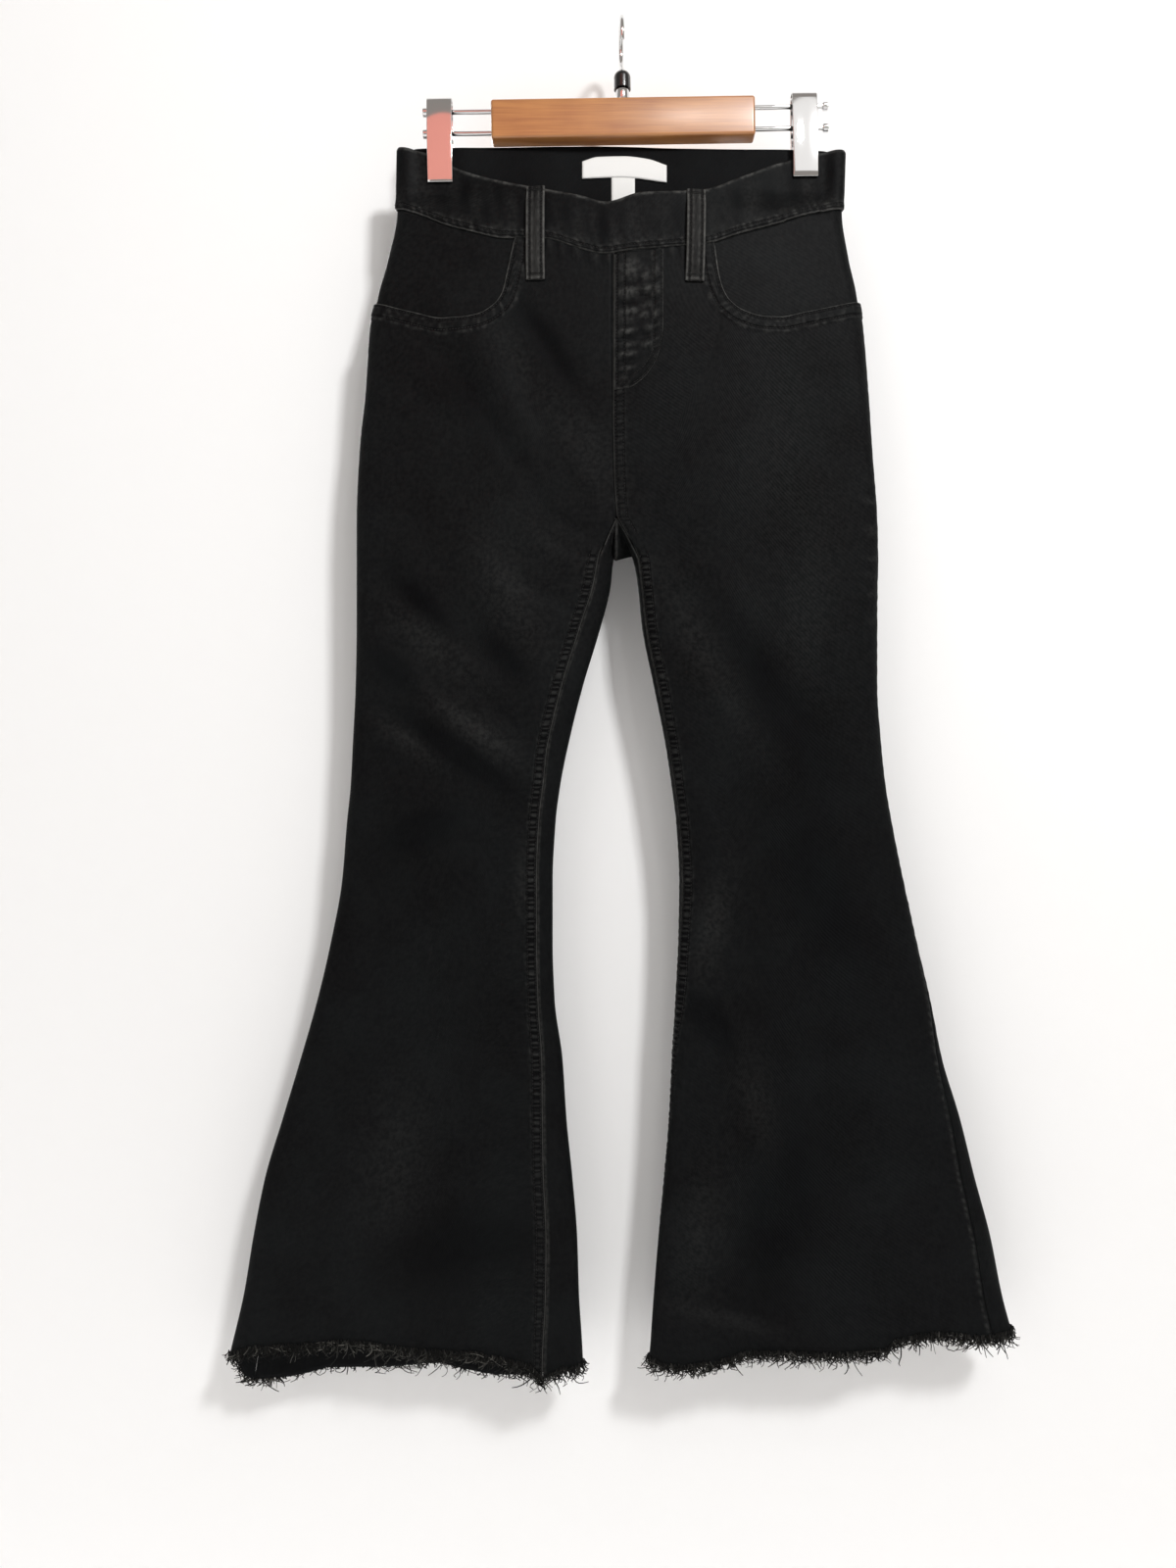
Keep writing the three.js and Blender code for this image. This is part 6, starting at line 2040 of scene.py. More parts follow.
@dataclass(frozen=True)
class Denim(Finish):
    """Stretch denim woven from cotton with elastane, dyed and coated black.

    The eye sees a close, matt black with a faint brown-green cast, a soft sheen where a fold
    turns to the light, and a grey cotton core where seams and edges are rubbed.
    """

    # The pale grey of rubbed cotton, also used for the painted highlights on folds.
    rubbed: str = "#565654"
    deep: str = "#060607"
    slub: float = 0.9         # mm across one drawn warp end, drawn coarser than the real 0.4
    reach: float = 7.0        # mm along it
    mottle: float = 60.0      # mm across a patch of uneven dye

    def build(self) -> bpy.types.Material:
        """Make the material with its weave, wear and stitched ladders; the wear carries painted highlights and shade
        on some folds, and the ladders painted shade in their pits.
        """
        material, tree, shader = self.start()
        cloth = add_node(tree, "ShaderNodeUVMap", uv_map="cloth").outputs["UV"]
        spot = add_node(tree, "ShaderNodeTexCoord").outputs["Object"]
        ends = add_node(tree, "ShaderNodeMapping", {
            "Vector": cloth, "Scale": (1 / (self.slub * MM), 1 / (self.reach * MM), 1.0)})
        weave = add_node(tree, "ShaderNodeTexNoise", {
            "Vector": ends.outputs["Vector"], "Scale": 1.0, "Detail": 2.0}).outputs[0]
        dye = add_node(tree, "ShaderNodeTexNoise", {
            "Vector": spot, "Scale": 1 / (self.mottle * MM), "Detail": 4.0, "Roughness": 0.6}).outputs[0]
        twill = add_node(tree, "ShaderNodeTexWave", {
            "Vector": cloth, "Scale": 0.3 / (1.6 * MM), "Distortion": 1.5, "Detail": 1.0, "Detail Scale": 3.0},
            bands_direction="DIAGONAL").outputs[0]
        tone = add_node(tree, "ShaderNodeMath", {0: weave, 1: 0.55}, operation="MULTIPLY")
        tone = add_node(tree, "ShaderNodeMath", {0: dye, 1: 0.9, 2: tone.outputs[0]}, operation="MULTIPLY_ADD")
        ground = add_node(tree, "ShaderNodeValToRGB", {"Fac": tone.outputs[0]})
        ground.color_ramp.elements[0].position = 0.5
        ground.color_ramp.elements[0].color = linear(self.deep)
        ground.color_ramp.elements[1].position = 0.92
        ground.color_ramp.elements[1].color = linear(self.colour)
        # The worn attribute holds real wear together with painted highlights and painted shade on some folds and a
        # painted shadow under the front waistband.
        worn = add_node(tree, "ShaderNodeAttribute", attribute_name="worn").outputs["Fac"]
        patchy = add_node(tree, "ShaderNodeTexNoise", {
            "Vector": spot, "Scale": 1 / (3.0 * MM), "Detail": 3.0}).outputs[0]
        patchy = add_node(tree, "ShaderNodeMapRange", {
            "Value": patchy, "From Min": 0.36, "From Max": 0.64, "To Min": 0.25, "To Max": 1.0}).outputs[0]
        rub = add_node(tree, "ShaderNodeMath", {0: worn, 1: patchy}, operation="MULTIPLY").outputs[0]
        ladder, light, edge = self.ladder(tree)
        rub = add_node(tree, "ShaderNodeMath", {0: edge, 1: 0.34, 2: rub}, operation="MULTIPLY_ADD").outputs[0]
        rub = add_node(tree, "ShaderNodeMath", {0: light, 1: 0.11, 2: rub}, operation="MULTIPLY_ADD", use_clamp=True).outputs[0]
        rubbed = add_node(tree, "ShaderNodeMix", {
            0: rub, 6: ground.outputs["Color"], 7: linear(self.rubbed)}, data_type="RGBA")
        # Painted shade: the stitch pits and the grooves along both rows are darkened towards the deep colour.
        dark = add_node(tree, "ShaderNodeMath", {0: ladder, 1: 0.95}, operation="MULTIPLY", use_clamp=True).outputs[0]
        colour = add_node(tree, "ShaderNodeMix", {
            0: dark, 6: rubbed.outputs[2], 7: linear(self.deep)}, data_type="RGBA")
        tree.links.new(colour.outputs[2], shader.inputs["Base Color"])
        relief = add_node(tree, "ShaderNodeMath", {0: weave, 1: 0.5, 2: twill}, operation="MULTIPLY_ADD").outputs[0]
        fine = add_node(tree, "ShaderNodeBump", {
            "Height": relief, "Strength": 0.35, "Distance": 0.12 * MM})
        pits = add_node(tree, "ShaderNodeMath", {0: light, 1: ladder}, operation="SUBTRACT").outputs[0]
        bump = add_node(tree, "ShaderNodeBump", {
            "Height": pits, "Strength": 0.9, "Distance": 0.5 * MM, "Normal": fine.outputs["Normal"]})
        tree.links.new(bump.outputs["Normal"], shader.inputs["Normal"])
        return material

    def ladder(self, tree: bpy.types.NodeTree) -> tuple[bpy.types.NodeSocket, ...]:
        """Draw the pits that the stitches pull, the crests between them and the rubbed edge.

        Args:
            tree: The node tree.

        Returns:
            Sockets of how deep a pit is, how high a crest is and how far the edge is rubbed.
        """
        seam = add_node(tree, "ShaderNodeAttribute", attribute_name="seam").outputs["Vector"]
        parts = add_node(tree, "ShaderNodeSeparateXYZ", {"Vector": seam}).outputs
        turn = add_node(tree, "ShaderNodeMath", {0: parts[1], 1: 2 * math.pi / RUNG_PITCH}, operation="MULTIPLY").outputs[0]
        tick = add_node(tree, "ShaderNodeMath", {0: turn}, operation="SINE").outputs[0]
        after = add_node(tree, "ShaderNodeMapRange", {"Value": parts[0], "From Min": 1.5, "From Max": 2.4}).outputs[0]
        before = add_node(tree, "ShaderNodeMapRange", {
            "Value": parts[0], "From Min": 7.2, "From Max": 8.6, "To Min": 1.0, "To Max": 0.0}).outputs[0]
        span = add_node(tree, "ShaderNodeMath", {0: after, 1: before}, operation="MULTIPLY").outputs[0]
        strong = add_node(tree, "ShaderNodeMapRange", {"Value": parts[2], "From Min": 0.6, "From Max": 1.0}).outputs[0]
        span = add_node(tree, "ShaderNodeMath", {0: span, 1: strong}, operation="MULTIPLY").outputs[0]
        rows = None
        for row in STITCH_ROWS:
            gap = add_node(tree, "ShaderNodeMath", {0: parts[0], 1: row}, operation="SUBTRACT").outputs[0]
            gap = add_node(tree, "ShaderNodeMath", {0: gap}, operation="ABSOLUTE").outputs[0]
            near = add_node(tree, "ShaderNodeMapRange", {
                "Value": gap, "From Min": 0.35, "From Max": 1.25, "To Min": 1.0, "To Max": 0.0}).outputs[0]
            rows = near if rows is None else add_node(
                tree, "ShaderNodeMath", {0: rows, 1: near}, operation="MAXIMUM").outputs[0]
        shown = add_node(tree, "ShaderNodeMapRange", {"Value": parts[2], "From Max": 0.6}).outputs[0]
        rows = add_node(tree, "ShaderNodeMath", {0: rows, 1: shown}, operation="MULTIPLY").outputs[0]
        deep = add_node(tree, "ShaderNodeMapRange", {"Value": tick, "From Min": 0.15, "From Max": 0.75}).outputs[0]
        high = add_node(tree, "ShaderNodeMapRange", {"Value": tick, "From Min": -0.1, "From Max": -0.8}).outputs[0]
        pit = add_node(tree, "ShaderNodeMath", {0: span, 1: deep}, operation="MULTIPLY").outputs[0]
        pit = add_node(tree, "ShaderNodeMath", {0: rows, 1: 0.7, 2: pit}, operation="MULTIPLY_ADD", use_clamp=True).outputs[0]
        crest = add_node(tree, "ShaderNodeMath", {0: span, 1: high}, operation="MULTIPLY").outputs[0]
        edge = add_node(tree, "ShaderNodeMapRange", {
            "Value": parts[0], "From Min": 0.3, "From Max": 1.1, "To Min": 1.0, "To Max": 0.0}).outputs[0]
        edge = add_node(tree, "ShaderNodeMath", {0: edge, 1: shown}, operation="MULTIPLY").outputs[0]
        return pit, crest, edge


@dataclass(frozen=True)
class FrayedCotton(Finish):
    """Loose ends of dyed cotton yarn, black outside and grey where the core shows."""

    pale: str = "#6f6e69"

    def build(self) -> bpy.types.Material:
        """Make the material, lighter on the threads whose core shows."""
        material, tree, shader = self.start()
        shade = add_node(tree, "ShaderNodeAttribute", attribute_name="shade").outputs["Fac"]
        colour = add_node(tree, "ShaderNodeMix", {
            0: shade, 6: linear(self.colour), 7: linear(self.pale)}, data_type="RGBA")
        tree.links.new(colour.outputs[2], shader.inputs["Base Color"])
        return material


@dataclass(frozen=True)
class LacqueredWood(Finish):
    """Plain hardwood under a satin lacquer: warm brown, with fine pores along the bar."""

    dark: str = "#9a6238"
    grain: float = 1.6        # mm across one drawn growth line

    def build(self) -> bpy.types.Material:
        """Make the material with its grain."""
        material, tree, shader = self.start()
        spot = add_node(tree, "ShaderNodeTexCoord").outputs["Object"]
        lines = add_node(tree, "ShaderNodeMapping", {
            "Vector": spot, "Scale": (1 / (60 * MM), 1 / (6 * MM), 1 / (self.grain * MM))})
        grain = add_node(tree, "ShaderNodeTexNoise", {
            "Vector": lines.outputs["Vector"], "Scale": 1.0, "Detail": 5.0, "Roughness": 0.6, "Distortion": 0.6}).outputs[0]
        patch = add_node(tree, "ShaderNodeTexNoise", {
            "Vector": spot, "Scale": 1 / (34 * MM), "Detail": 2.0}).outputs[0]
        tone = add_node(tree, "ShaderNodeMath", {0: patch, 1: 0.5, 2: grain}, operation="MULTIPLY_ADD").outputs[0]
        ramp = add_node(tree, "ShaderNodeValToRGB", {"Fac": tone})
        ramp.color_ramp.elements[0].position = 0.5
        ramp.color_ramp.elements[0].color = linear(self.dark)
        ramp.color_ramp.elements[1].position = 0.9
        ramp.color_ramp.elements[1].color = linear(self.colour)
        tree.links.new(ramp.outputs["Color"], shader.inputs["Base Color"])
        bump = add_node(tree, "ShaderNodeBump", {"Height": grain, "Strength": 0.15, "Distance": 0.1 * MM})
        tree.links.new(bump.outputs["Normal"], shader.inputs["Normal"])
        return material


@dataclass(frozen=True)
class WovenSatin(Finish):
    """A white polyester satin label: smooth, a little glossy, with fine cross ribs."""

    rib: float = 0.8          # mm from one rib to the next

    def build(self) -> bpy.types.Material:
        """Make the material with its ribs."""
        material, tree, shader = self.start()
        cloth = add_node(tree, "ShaderNodeUVMap", uv_map="cloth").outputs["UV"]
        ribs = add_node(tree, "ShaderNodeTexWave", {
            "Vector": cloth, "Scale": 0.32 / (self.rib * MM), "Distortion": 0.4}, bands_direction="Y").outputs[0]
        bump = add_node(tree, "ShaderNodeBump", {"Height": ribs, "Strength": 0.2, "Distance": 0.08 * MM})
        tree.links.new(bump.outputs["Normal"], shader.inputs["Normal"])
        return material


# Black stretch denim, the same cloth rubbed on the loops, and polyester core-spun thread.
BLACK_DENIM = Denim("black_coated_stretch_denim", "#0e1011", 0.54, sheen=0.003, specular=0.04)
WORN_DENIM = Denim("rubbed_black_stretch_denim", "#282827", 0.66, sheen=0.01, specular=0.08)
SEWING_THREAD = Finish("black_core_spun_thread", "#141414", 0.5, sheen=0.01, specular=0.15)
FRAYED_COTTON = FrayedCotton("frayed_cotton_yarn", "#131312", 0.85, sheen=0.02, specular=0.1)
WHITE_SATIN = WovenSatin("white_woven_satin", "#e4e4e2", 0.5, sheen=0.1)
HANGER_WOOD = LacqueredWood("satin_lacquered_wood", "#b57c46", 0.4, coat=0.8, coat_roughness=0.22)
CHROME = Finish("polished_chrome_plate", "#dcdcdc", 0.07, metallic=1.0)
BLACK_ABS = Finish("moulded_black_abs", "#111111", 0.22, coat=0.2)
WARM_CARD = Finish("rose_brown_card", "#d88d80", 0.9)


@dataclass(frozen=True)
class WallPaint(Finish):
    """Matt white paint on the side that faces the jeans, with nothing to see from behind."""

    def build(self) -> bpy.types.Material:
        """Make the material, open on its back."""
        material, tree, shader = self.start()
        behind = add_node(tree, "ShaderNodeNewGeometry").outputs["Backfacing"]
        clear = add_node(tree, "ShaderNodeBsdfTransparent").outputs[0]
        mixed = add_node(tree, "ShaderNodeMixShader", {0: behind, 1: shader.outputs[0], 2: clear}).outputs[0]
        end = next(node for node in tree.nodes if node.type == "OUTPUT_MATERIAL")
        tree.links.new(mixed, end.inputs["Surface"])
        return material


def only_select(thing: bpy.types.Object | None) -> None:
    """Leave one object selected and active, or none."""
    if bpy.context.object and bpy.context.object.mode != "OBJECT":
        bpy.ops.object.mode_set(mode="OBJECT")
    bpy.ops.object.select_all(action="DESELECT")
    if thing:
        thing.select_set(True)
        bpy.context.view_layer.objects.active = thing


class Hanger:
    """The clip hanger, tilted a little about its hook."""

    TILT = 0.9               # degrees, the viewer's right side higher
    BAR = (201.0, 15.0, 30.0)
    BAR_TOP = -60.0
    BAR_ROUND = 2.2
    ROD_RADIUS = 1.75
    ROD_ENDS = (-153.0, 157.0)
    ROD_HEIGHTS = (-66.0, -82.5)
    STOP = (3.2, 4.0)
    CLIP_WIDTH = 19.0
    CLIP_PLATE = 1.2
    CLIP_REACH = 4.05
    CLIP_BOW = 1.6
    CLIP_TOP = -55.4
    CLIP_LOW = -121.5
    CLIP_SITES = (-140.0, 138.5)
    COLLAR = (5.2, -59.7, -51.2)
    CAP = (6.4, -50.7, -37.0)
    HOOK_WIRE = 1.75
    HOOK_INSIDE = 15.0
    HOOK_SWEEP = 267.0
    NECK_BEND = 62.0
    NECK_RADIUS = 14.8

    def finish(self, piece: bpy.types.Object, name: str, nodes: Sequence[str], slot: str, material: bpy.types.Material,
               bevel: float = 0.0, segments: int = 3) -> bpy.types.Object:
        """Round a piece's edges, tilt it into place and say what it is.

        Args:
            piece: The piece.
            name: Its name.
            nodes: The solids that it stands for.
            slot: Not used.
            material: Its finish.
            bevel: Radius of its rounded edges, in mm.
            segments: Steps round an edge.

        Returns:
            The piece.
        """
        only_select(piece)
        bpy.ops.object.transform_apply(location=True, rotation=True, scale=True)
        bpy.ops.object.mode_set(mode="EDIT")
        bpy.ops.mesh.select_all(action="SELECT")
        bpy.ops.mesh.remove_doubles(threshold=1e-7)
        bpy.ops.mesh.normals_make_consistent(inside=False)
        bpy.ops.object.mode_set(mode="OBJECT")
        if bevel:
            modifier = piece.modifiers.new("rounded edges", "BEVEL")
            modifier.width = bevel * MM
            modifier.segments = segments
            modifier.limit_method = "ANGLE"
            modifier.angle_limit = math.radians(40)
            bpy.ops.object.modifier_apply(modifier=modifier.name)
        piece.data.transform(Matrix.Rotation(math.radians(-self.TILT), 4, "Y"))
        bpy.ops.object.shade_smooth_by_angle(angle=math.radians(40))
        piece.name = name
        piece.data.name = name
        piece.data.materials.clear()
        piece.data.materials.append(material)
        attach(piece, "root")
        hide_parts(*nodes)
        LOG.info("%s: %d faces", name, len(piece.data.polygons))
        return piece

    def bar(self, material: bpy.types.Material) -> None:
        """Make the wooden bar from a cube."""
        only_select(None)
        length, deep, tall = self.BAR
        bpy.ops.mesh.primitive_cube_add(size=1, location=(0, 0, (self.BAR_TOP - tall / 2) * MM))
        piece = bpy.context.object
        piece.scale = (length * MM, deep * MM, tall * MM)
        self.finish(piece, "bar", ["hanger_bar"], "hanger_wood", material, self.BAR_ROUND, 5)

    def rods(self, material: bpy.types.Material) -> None:
        """Make the two rods with their end stops from cylinders."""
        for i, height in enumerate(self.ROD_HEIGHTS):
            left, right = self.ROD_ENDS
            radius, length = self.STOP
            parts = (
                (self.ROD_RADIUS, left + 1, right - 1),
                (radius, left, left + length),
                (radius, right - length, right),
            )
            pieces = []
            for size, start, end in parts:
                only_select(None)
                bpy.ops.mesh.primitive_cylinder_add(
                    vertices=32, radius=size * MM, depth=(end - start) * MM,
                    location=((start + end) / 2 * MM, 0, height * MM), rotation=(0, math.pi / 2, 0))
                pieces.append(bpy.context.object)
            only_select(pieces[0])
            for piece in pieces[1:]:
                piece.select_set(True)
            bpy.ops.object.join()
            self.finish(pieces[0], f"rod_{i + 1}", [f"hanger_rod_{i + 1}"], "chrome", material, 0.5, 3)

    def clip_outline(self) -> list[tuple[float, float]]:
        """Trace a clip's section, two jaws bent from one plate.

        Returns:
            Places as y and z, once round.
        """
        reach, plate, bow = self.CLIP_REACH, self.CLIP_PLATE, self.CLIP_BOW
        shoulder = self.CLIP_TOP - 6
        middle = (self.CLIP_LOW + shoulder) / 2

        def side(y: float, swell: float) -> list[tuple[float, float]]:
            """Bow a jaw outwards on its way up to the shoulder."""
            steps = np.linspace(0, 1, 13)
            return [(y + 2 * swell * 2 * t * (1 - t) * 1.0, (1 - t) ** 2 * self.CLIP_LOW + 2 * t * (1 - t) * middle
                     + t * t * shoulder) for t in steps]

        def crown(y: float, top: float) -> list[tuple[float, float]]:
            """Round the plate over the rods."""
            angles = np.linspace(0, math.pi, 15)[1:-1]
            return [(-y * math.cos(a), shoulder + (top - shoulder) * math.sin(a)) for a in angles]

        outer = side(-reach - plate, -bow) + crown(reach + plate, self.CLIP_TOP)
        outer += side(reach + plate, bow)[::-1]
        inner = side(reach, bow) + crown(-reach, self.CLIP_TOP - plate)
        inner += side(-reach, -bow)[::-1]
        return outer + inner

    def clips(self, material: bpy.types.Material) -> None:
        """Make each clip from a disc drawn out to its section and pulled to its width."""
        outline = self.clip_outline()
        for name, x in zip(("left", "right"), self.CLIP_SITES):
            only_select(None)
            bpy.ops.mesh.primitive_circle_add(vertices=len(outline), radius=1, fill_type="NGON")
            piece = bpy.context.object
            for vertex, (y, z) in zip(piece.data.vertices, outline):
                vertex.co = ((x - self.CLIP_WIDTH / 2) * MM, y * MM, z * MM)
            bpy.ops.object.mode_set(mode="EDIT")
            bpy.ops.mesh.select_all(action="SELECT")
            bpy.ops.mesh.extrude_region_move(TRANSFORM_OT_translate={"value": (self.CLIP_WIDTH * MM, 0, 0)})
            bpy.ops.object.mode_set(mode="OBJECT")
            self.finish(piece, f"clip_{name}", [f"hanger_clip_{name}"], "chrome", material, 0.38, 3)

    def neck(self, chrome: bpy.types.Material, plastic: bpy.types.Material) -> None:
        """Make the collar and the domed cap from cylinders."""
        for name, sizes, material, slot, edge in (
                ("collar", self.COLLAR, chrome, "chrome", 0.9), ("cap", self.CAP, plastic, "black_plastic", 0.0)):
            radius, low, top = sizes
            only_select(None)
            bpy.ops.mesh.primitive_cylinder_add(
                vertices=48, radius=radius * MM, depth=(top - low) * MM, location=(0, 0, (low + top) / 2 * MM))
            piece = bpy.context.object
            if name == "cap":
                self.dome(piece, top * MM)
            self.finish(piece, name, [f"hanger_{name}"], slot, material, edge, 3)

    def dome(self, piece: bpy.types.Object, top: float) -> None:
        """Round the cap's upper rim into a dome.

        Args:
            piece: The cap's cylinder.
            top: Height of its top, in metres.
        """
        only_select(piece)
        bpy.ops.object.transform_apply(location=True, rotation=True, scale=True)
        for edge in piece.data.edges:
            edge.select = all(abs(piece.data.vertices[i].co.z - top) < 1e-6 for i in edge.vertices)
        for face in piece.data.polygons:
            face.select = False
        bpy.context.tool_settings.mesh_select_mode = (False, True, False)
        bpy.ops.object.mode_set(mode="EDIT")
        bpy.ops.mesh.bevel(offset=5.2 * MM, segments=10, profile=0.5, affect="EDGES")
        bpy.ops.object.mode_set(mode="OBJECT")
        bpy.context.tool_settings.mesh_select_mode = (True, False, False)

    def hook(self, material: bpy.types.Material) -> None:
        """Make the hook's wire by spinning a disc round the neck's bend and then round the hook."""
        only_select(None)
        bend = math.radians(self.NECK_BEND)
        wire = self.HOOK_INSIDE + self.HOOK_WIRE
        rise = self.NECK_RADIUS * math.sin(bend)
        start = -self.HOOK_INSIDE - wire * math.sin(bend) - rise
        bpy.ops.mesh.primitive_circle_add(
            vertices=20, radius=self.HOOK_WIRE * MM, fill_type="NGON", location=(0, 0, start * MM))
        piece = bpy.context.object
        bpy.ops.object.transform_apply(location=True, rotation=True, scale=True)
        bpy.ops.object.mode_set(mode="EDIT")
        bpy.ops.mesh.select_all(action="SELECT")
        bpy.ops.mesh.spin(steps=10, angle=bend, center=(0, self.NECK_RADIUS * MM, start * MM), axis=(1, 0, 0))
        bpy.ops.mesh.spin(
            steps=44, angle=-math.radians(self.HOOK_SWEEP), center=(0, 0, -self.HOOK_INSIDE * MM), axis=(1, 0, 0))
        bpy.ops.object.mode_set(mode="OBJECT")
        self.finish(piece, "hook", ["hanger_hook"], "chrome", material, 0.5, 2)

    def build(self, wood: bpy.types.Material, chrome: bpy.types.Material, plastic: bpy.types.Material) -> None:
        """Make every piece of the hanger."""
        self.bar(wood)
        self.rods(chrome)
        self.clips(chrome)
        self.neck(chrome, plastic)
        self.hook(chrome)


class Jeans:
    """The jeans: all their cloth pieces, stitches and frayed ends."""

    def __init__(self) -> None:
        """Make the finishes."""
        self.denim = BLACK_DENIM.build()
        self.worn = WORN_DENIM.build()
        self.thread = SEWING_THREAD.build()
        self.frayed = FRAYED_COTTON.build()
        self.satin = WHITE_SATIN.build()

    def sewn(self, thread: Thread, slot: str) -> list[bpy.types.Object]:
        """Build a piece's stitches, where it has any.

        Args:
            thread: The gathered stitches.
            slot: Not used.

        Returns:
            The new object in a list, or nothing.
        """
        if not thread.centres:
            return []
        piece = thread.build(self.thread)
        return [piece]

    def legs(self) -> None:
        """Make the four panels, their stitches and the frayed hems."""
        for hand in Hand:
            panels = {}
            sewn = {}
            for side in Side:
                panel = LegPanel(hand, side)
                panels[side] = panel.cloth()
                sewn[side] = self.sewn(panel.stitches(panels[side]), "black_denim")
            fray = HemFray(hand, panels[Side.FRONT], panels[Side.BACK])
            loose = fray.build(self.frayed)
            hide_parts(fray.name)
            for side, piece in panels.items():
                hangs = ["waistband_front"] if side is Side.FRONT else [f"back_yoke_{hand.value}"]
                extra = [loose] if side is Side.FRONT else []
                shell = piece.build(self.denim)
                shell.name = f"{piece.name}_cloth"
                piece.declare(shell, [piece.name], "black_denim", hangs, sewn[side] + extra)

    def waist(self) -> None:
        """Make the waistband, the yokes, the facings and the mock fly."""
        for maker in (Waistband(Side.FRONT), Waistband(Side.BACK), Yoke(Hand.LEFT), Yoke(Hand.RIGHT), MockFly()):
            piece = maker.cloth()
            sewn = []
            if not (isinstance(maker, Yoke) and maker.half.hand is Hand.RIGHT):
                sewn = self.sewn(maker.stitches(piece), "black_denim")
            hangs = ["waistband_front"] if isinstance(maker, MockFly) else ["waistband_back"]
            if isinstance(maker, Waistband):
                hangs = ["hanger_clip_left", "hanger_clip_right"]
            shell = piece.build(self.denim)
            shell.name = f"{piece.name}_cloth"
            piece.declare(shell, [piece.name], "black_denim", hangs, sewn)
        for hand in Hand:
            piece = PocketFacing(hand).cloth()
            shell = piece.build(self.denim)
            shell.name = f"{piece.name}_cloth"
            piece.declare(shell, [piece.name], "black_denim", ["waistband_front"])

    def trim(self) -> None:
        """Make the belt loops, the label and its tab."""
        for loop in BELT_LOOPS:
            piece = loop.cloth()
            sewn = self.sewn(loop.stitches(piece), "worn_denim")
            shell = piece.build(self.worn)
            shell.name = f"{piece.name}_cloth"
            piece.declare(shell, [piece.name], "worn_denim", [f"waistband_{loop.side.value}"], sewn)
        for piece in (Label().label(), Label().tab()):
            shell = piece.build(self.satin)
            shell.name = f"{piece.name}_cloth"
            piece.declare(shell, [piece.name], "white_satin", ["waistband_back"])

    def build(self) -> None:
        """Make all the cloth."""
        self.legs()
        self.waist()
        self.trim()


@dataclass(frozen=True)
class Lamp:
    """A soft rectangular light."""

    name: str
    at: tuple[float, float, float]
    aim: tuple[float, float, float]
    size: float
    power: float
    colour: tuple[float, float, float] = (1.0, 1.0, 1.0)

    def build(self) -> None:
        """Hang the light and turn it to what it lights."""
        light = bpy.data.lights.new(self.name, "AREA")
        light.shape = "SQUARE"
        light.size = self.size
        light.energy = self.power
        light.color = self.colour
        lamp = bpy.data.objects.new(self.name, light)
        lamp.location = self.at
        way = Vector(self.aim) - Vector(self.at)
        lamp.rotation_euler = way.to_track_quat("-Z", "Y").to_euler()
        bpy.context.scene.collection.objects.link(lamp)


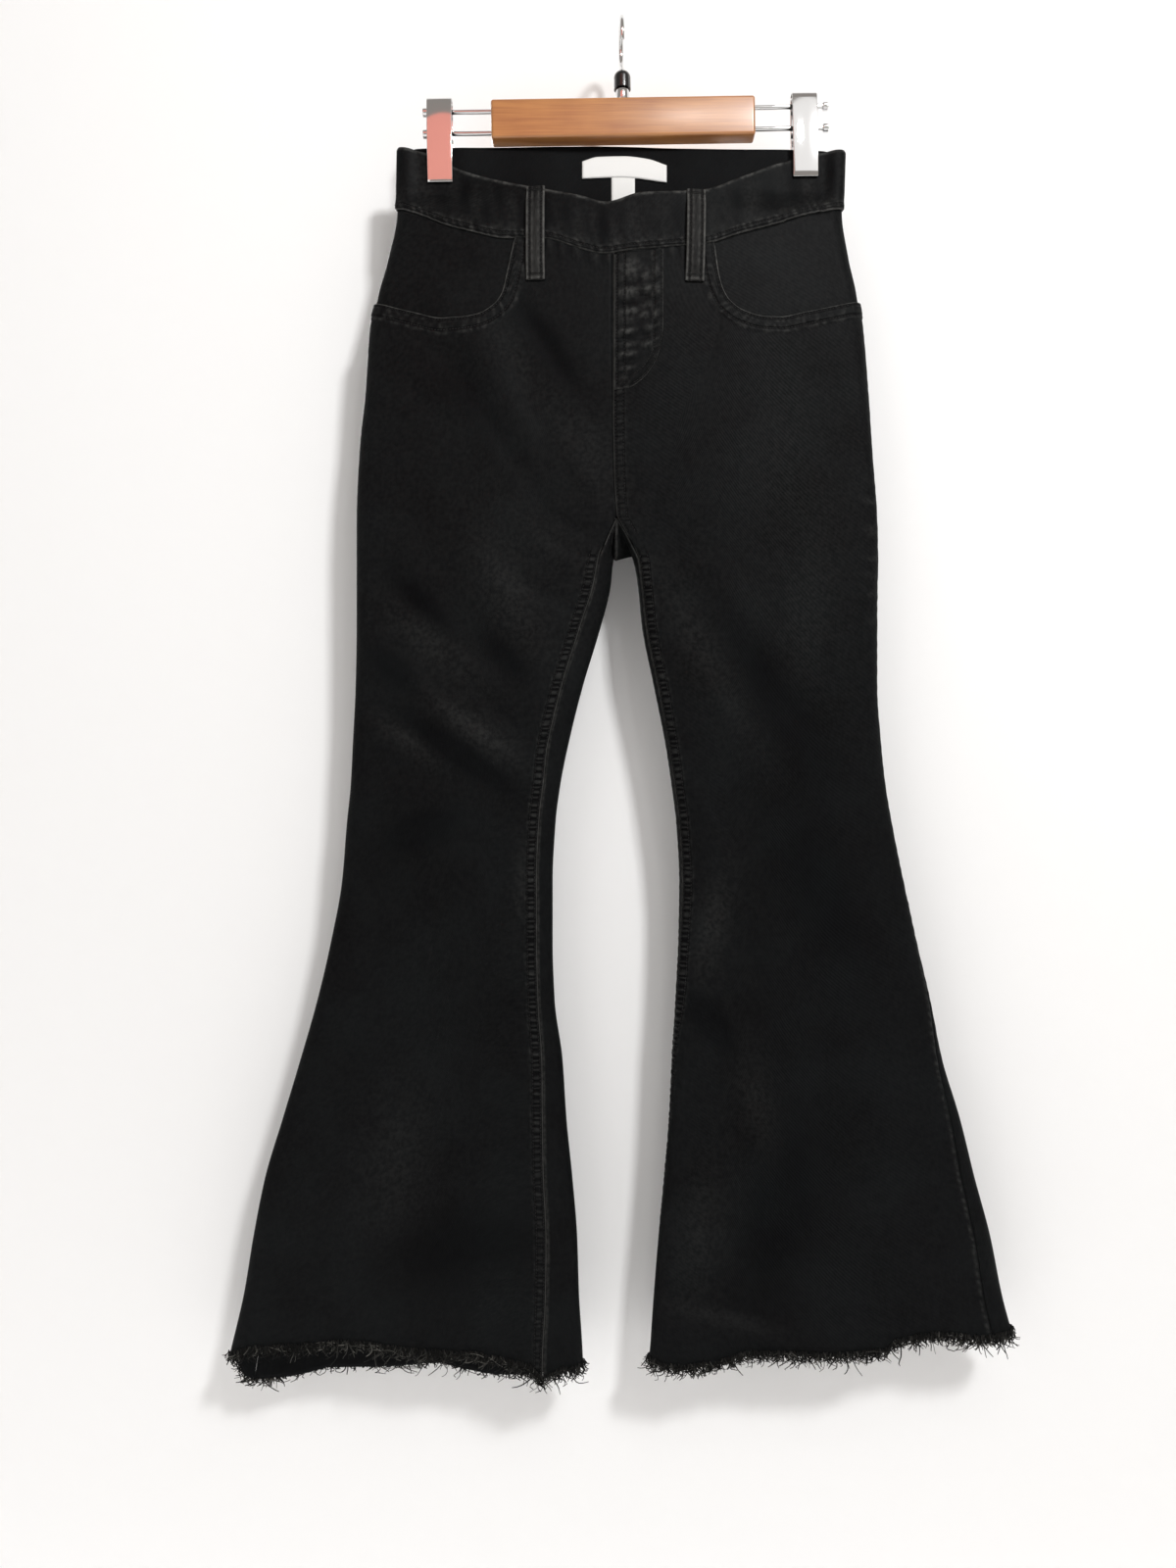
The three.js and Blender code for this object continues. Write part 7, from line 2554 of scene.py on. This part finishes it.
class Studio:
    """The plain wall and floor, the lights and the camera."""

    LAMPS = (
        Lamp("key_light", (0.97, -1.8, 1.0), (0.0, 0.0, -0.5), 0.3, 41.0),
        Lamp("window_glow", (0.33, -0.98, 0.42), (0.1, 0.0, -0.1), 0.6, 0.9),
        Lamp("bar_glare", (0.2, -0.92, 0.44), (0.08, 0.0, -0.08), 0.1, 0.8),
        Lamp("fill_light", (-1.3, -1.6, -0.5), (0.0, 0.0, -0.7), 1.2, 4.0),
        Lamp("rear_light", (-1.0, 1.9, 0.7), (0.0, 0.0, -0.5), 0.8, 70.0),
    )
    WORLD = 0.34
    WORLD_COLOUR = "#fdf4ec"

    def surfaces(self) -> None:
        """Make the wall behind and the floor below."""
        paint = WallPaint("matt_white_wall", "#f4f4f4", 0.9).build()
        floor = Finish("matt_white_floor", "#f4f4f4", 0.9).build()
        for name, at, turn, size, finish in (
                ("wall", (0, WALL_Y * MM, 0), (math.pi / 2, 0, 0), 6.0, paint),
                ("floor", (0, 0, FLOOR_Z * MM), (0, 0, 0), 8.0, floor)):
            only_select(None)
            bpy.ops.mesh.primitive_plane_add(size=size, location=at, rotation=turn)
            plane = bpy.context.object
            bpy.ops.object.transform_apply(location=True, rotation=True, scale=True)
            plane.name = name
            plane.data.materials.append(finish)
            plane.visible_shadow = name == "floor"

    def card(self) -> None:
        """Hold up a warm card that only the left clip's chrome shows."""
        only_select(None)
        bpy.ops.mesh.primitive_plane_add(size=0.7, location=(-0.32, -0.95, 0.33), rotation=(math.pi / 2, 0, 0))
        card = bpy.context.object
        bpy.ops.object.transform_apply(location=True, rotation=True, scale=True)
        card.name = "warm_card"
        card.data.materials.append(WARM_CARD.build())
        card.visible_camera = False
        card.visible_diffuse = False
        card.visible_shadow = False

    def lights(self) -> None:
        """Hang the lights and lighten the room."""
        for lamp in self.LAMPS:
            lamp.build()
        world = bpy.data.worlds.new("pale_room")
        bpy.context.scene.world = world
        world.use_nodes = True
        tree = world.node_tree
        tree.nodes.clear()
        room = add_node(tree, "ShaderNodeBackground", {"Color": linear(self.WORLD_COLOUR), "Strength": self.WORLD})
        add_node(tree, "ShaderNodeOutputWorld", {"Surface": room.outputs[0]})

    def camera(self) -> None:
        """Set the camera where the photograph was taken from."""
        view = bpy.data.cameras.new("photo_view")
        view.lens = LENS
        view.sensor_width = SENSOR
        view.sensor_fit = "AUTO"
        eye = bpy.data.objects.new("photo_view", view)
        eye.location = [size * MM for size in CAMERA_AT]
        eye.rotation_euler = (math.pi / 2, 0, 0)
        bpy.context.scene.collection.objects.link(eye)
        bpy.context.scene.camera = eye
        bpy.context.scene.view_settings.view_transform = "Standard"

    def build(self) -> None:
        """Make the whole studio."""
        self.surfaces()
        self.card()
        self.lights()
        self.camera()


def main() -> None:
    """Build the studio, the hanger and the jeans."""
    logging.basicConfig(level=logging.INFO, format="%(message)s")
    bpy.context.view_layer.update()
    Studio().build()
    Hanger().build(HANGER_WOOD.build(), CHROME.build(), BLACK_ABS.build())
    Jeans().build()
    only_select(None)


if __name__ == "__main__":
    main()
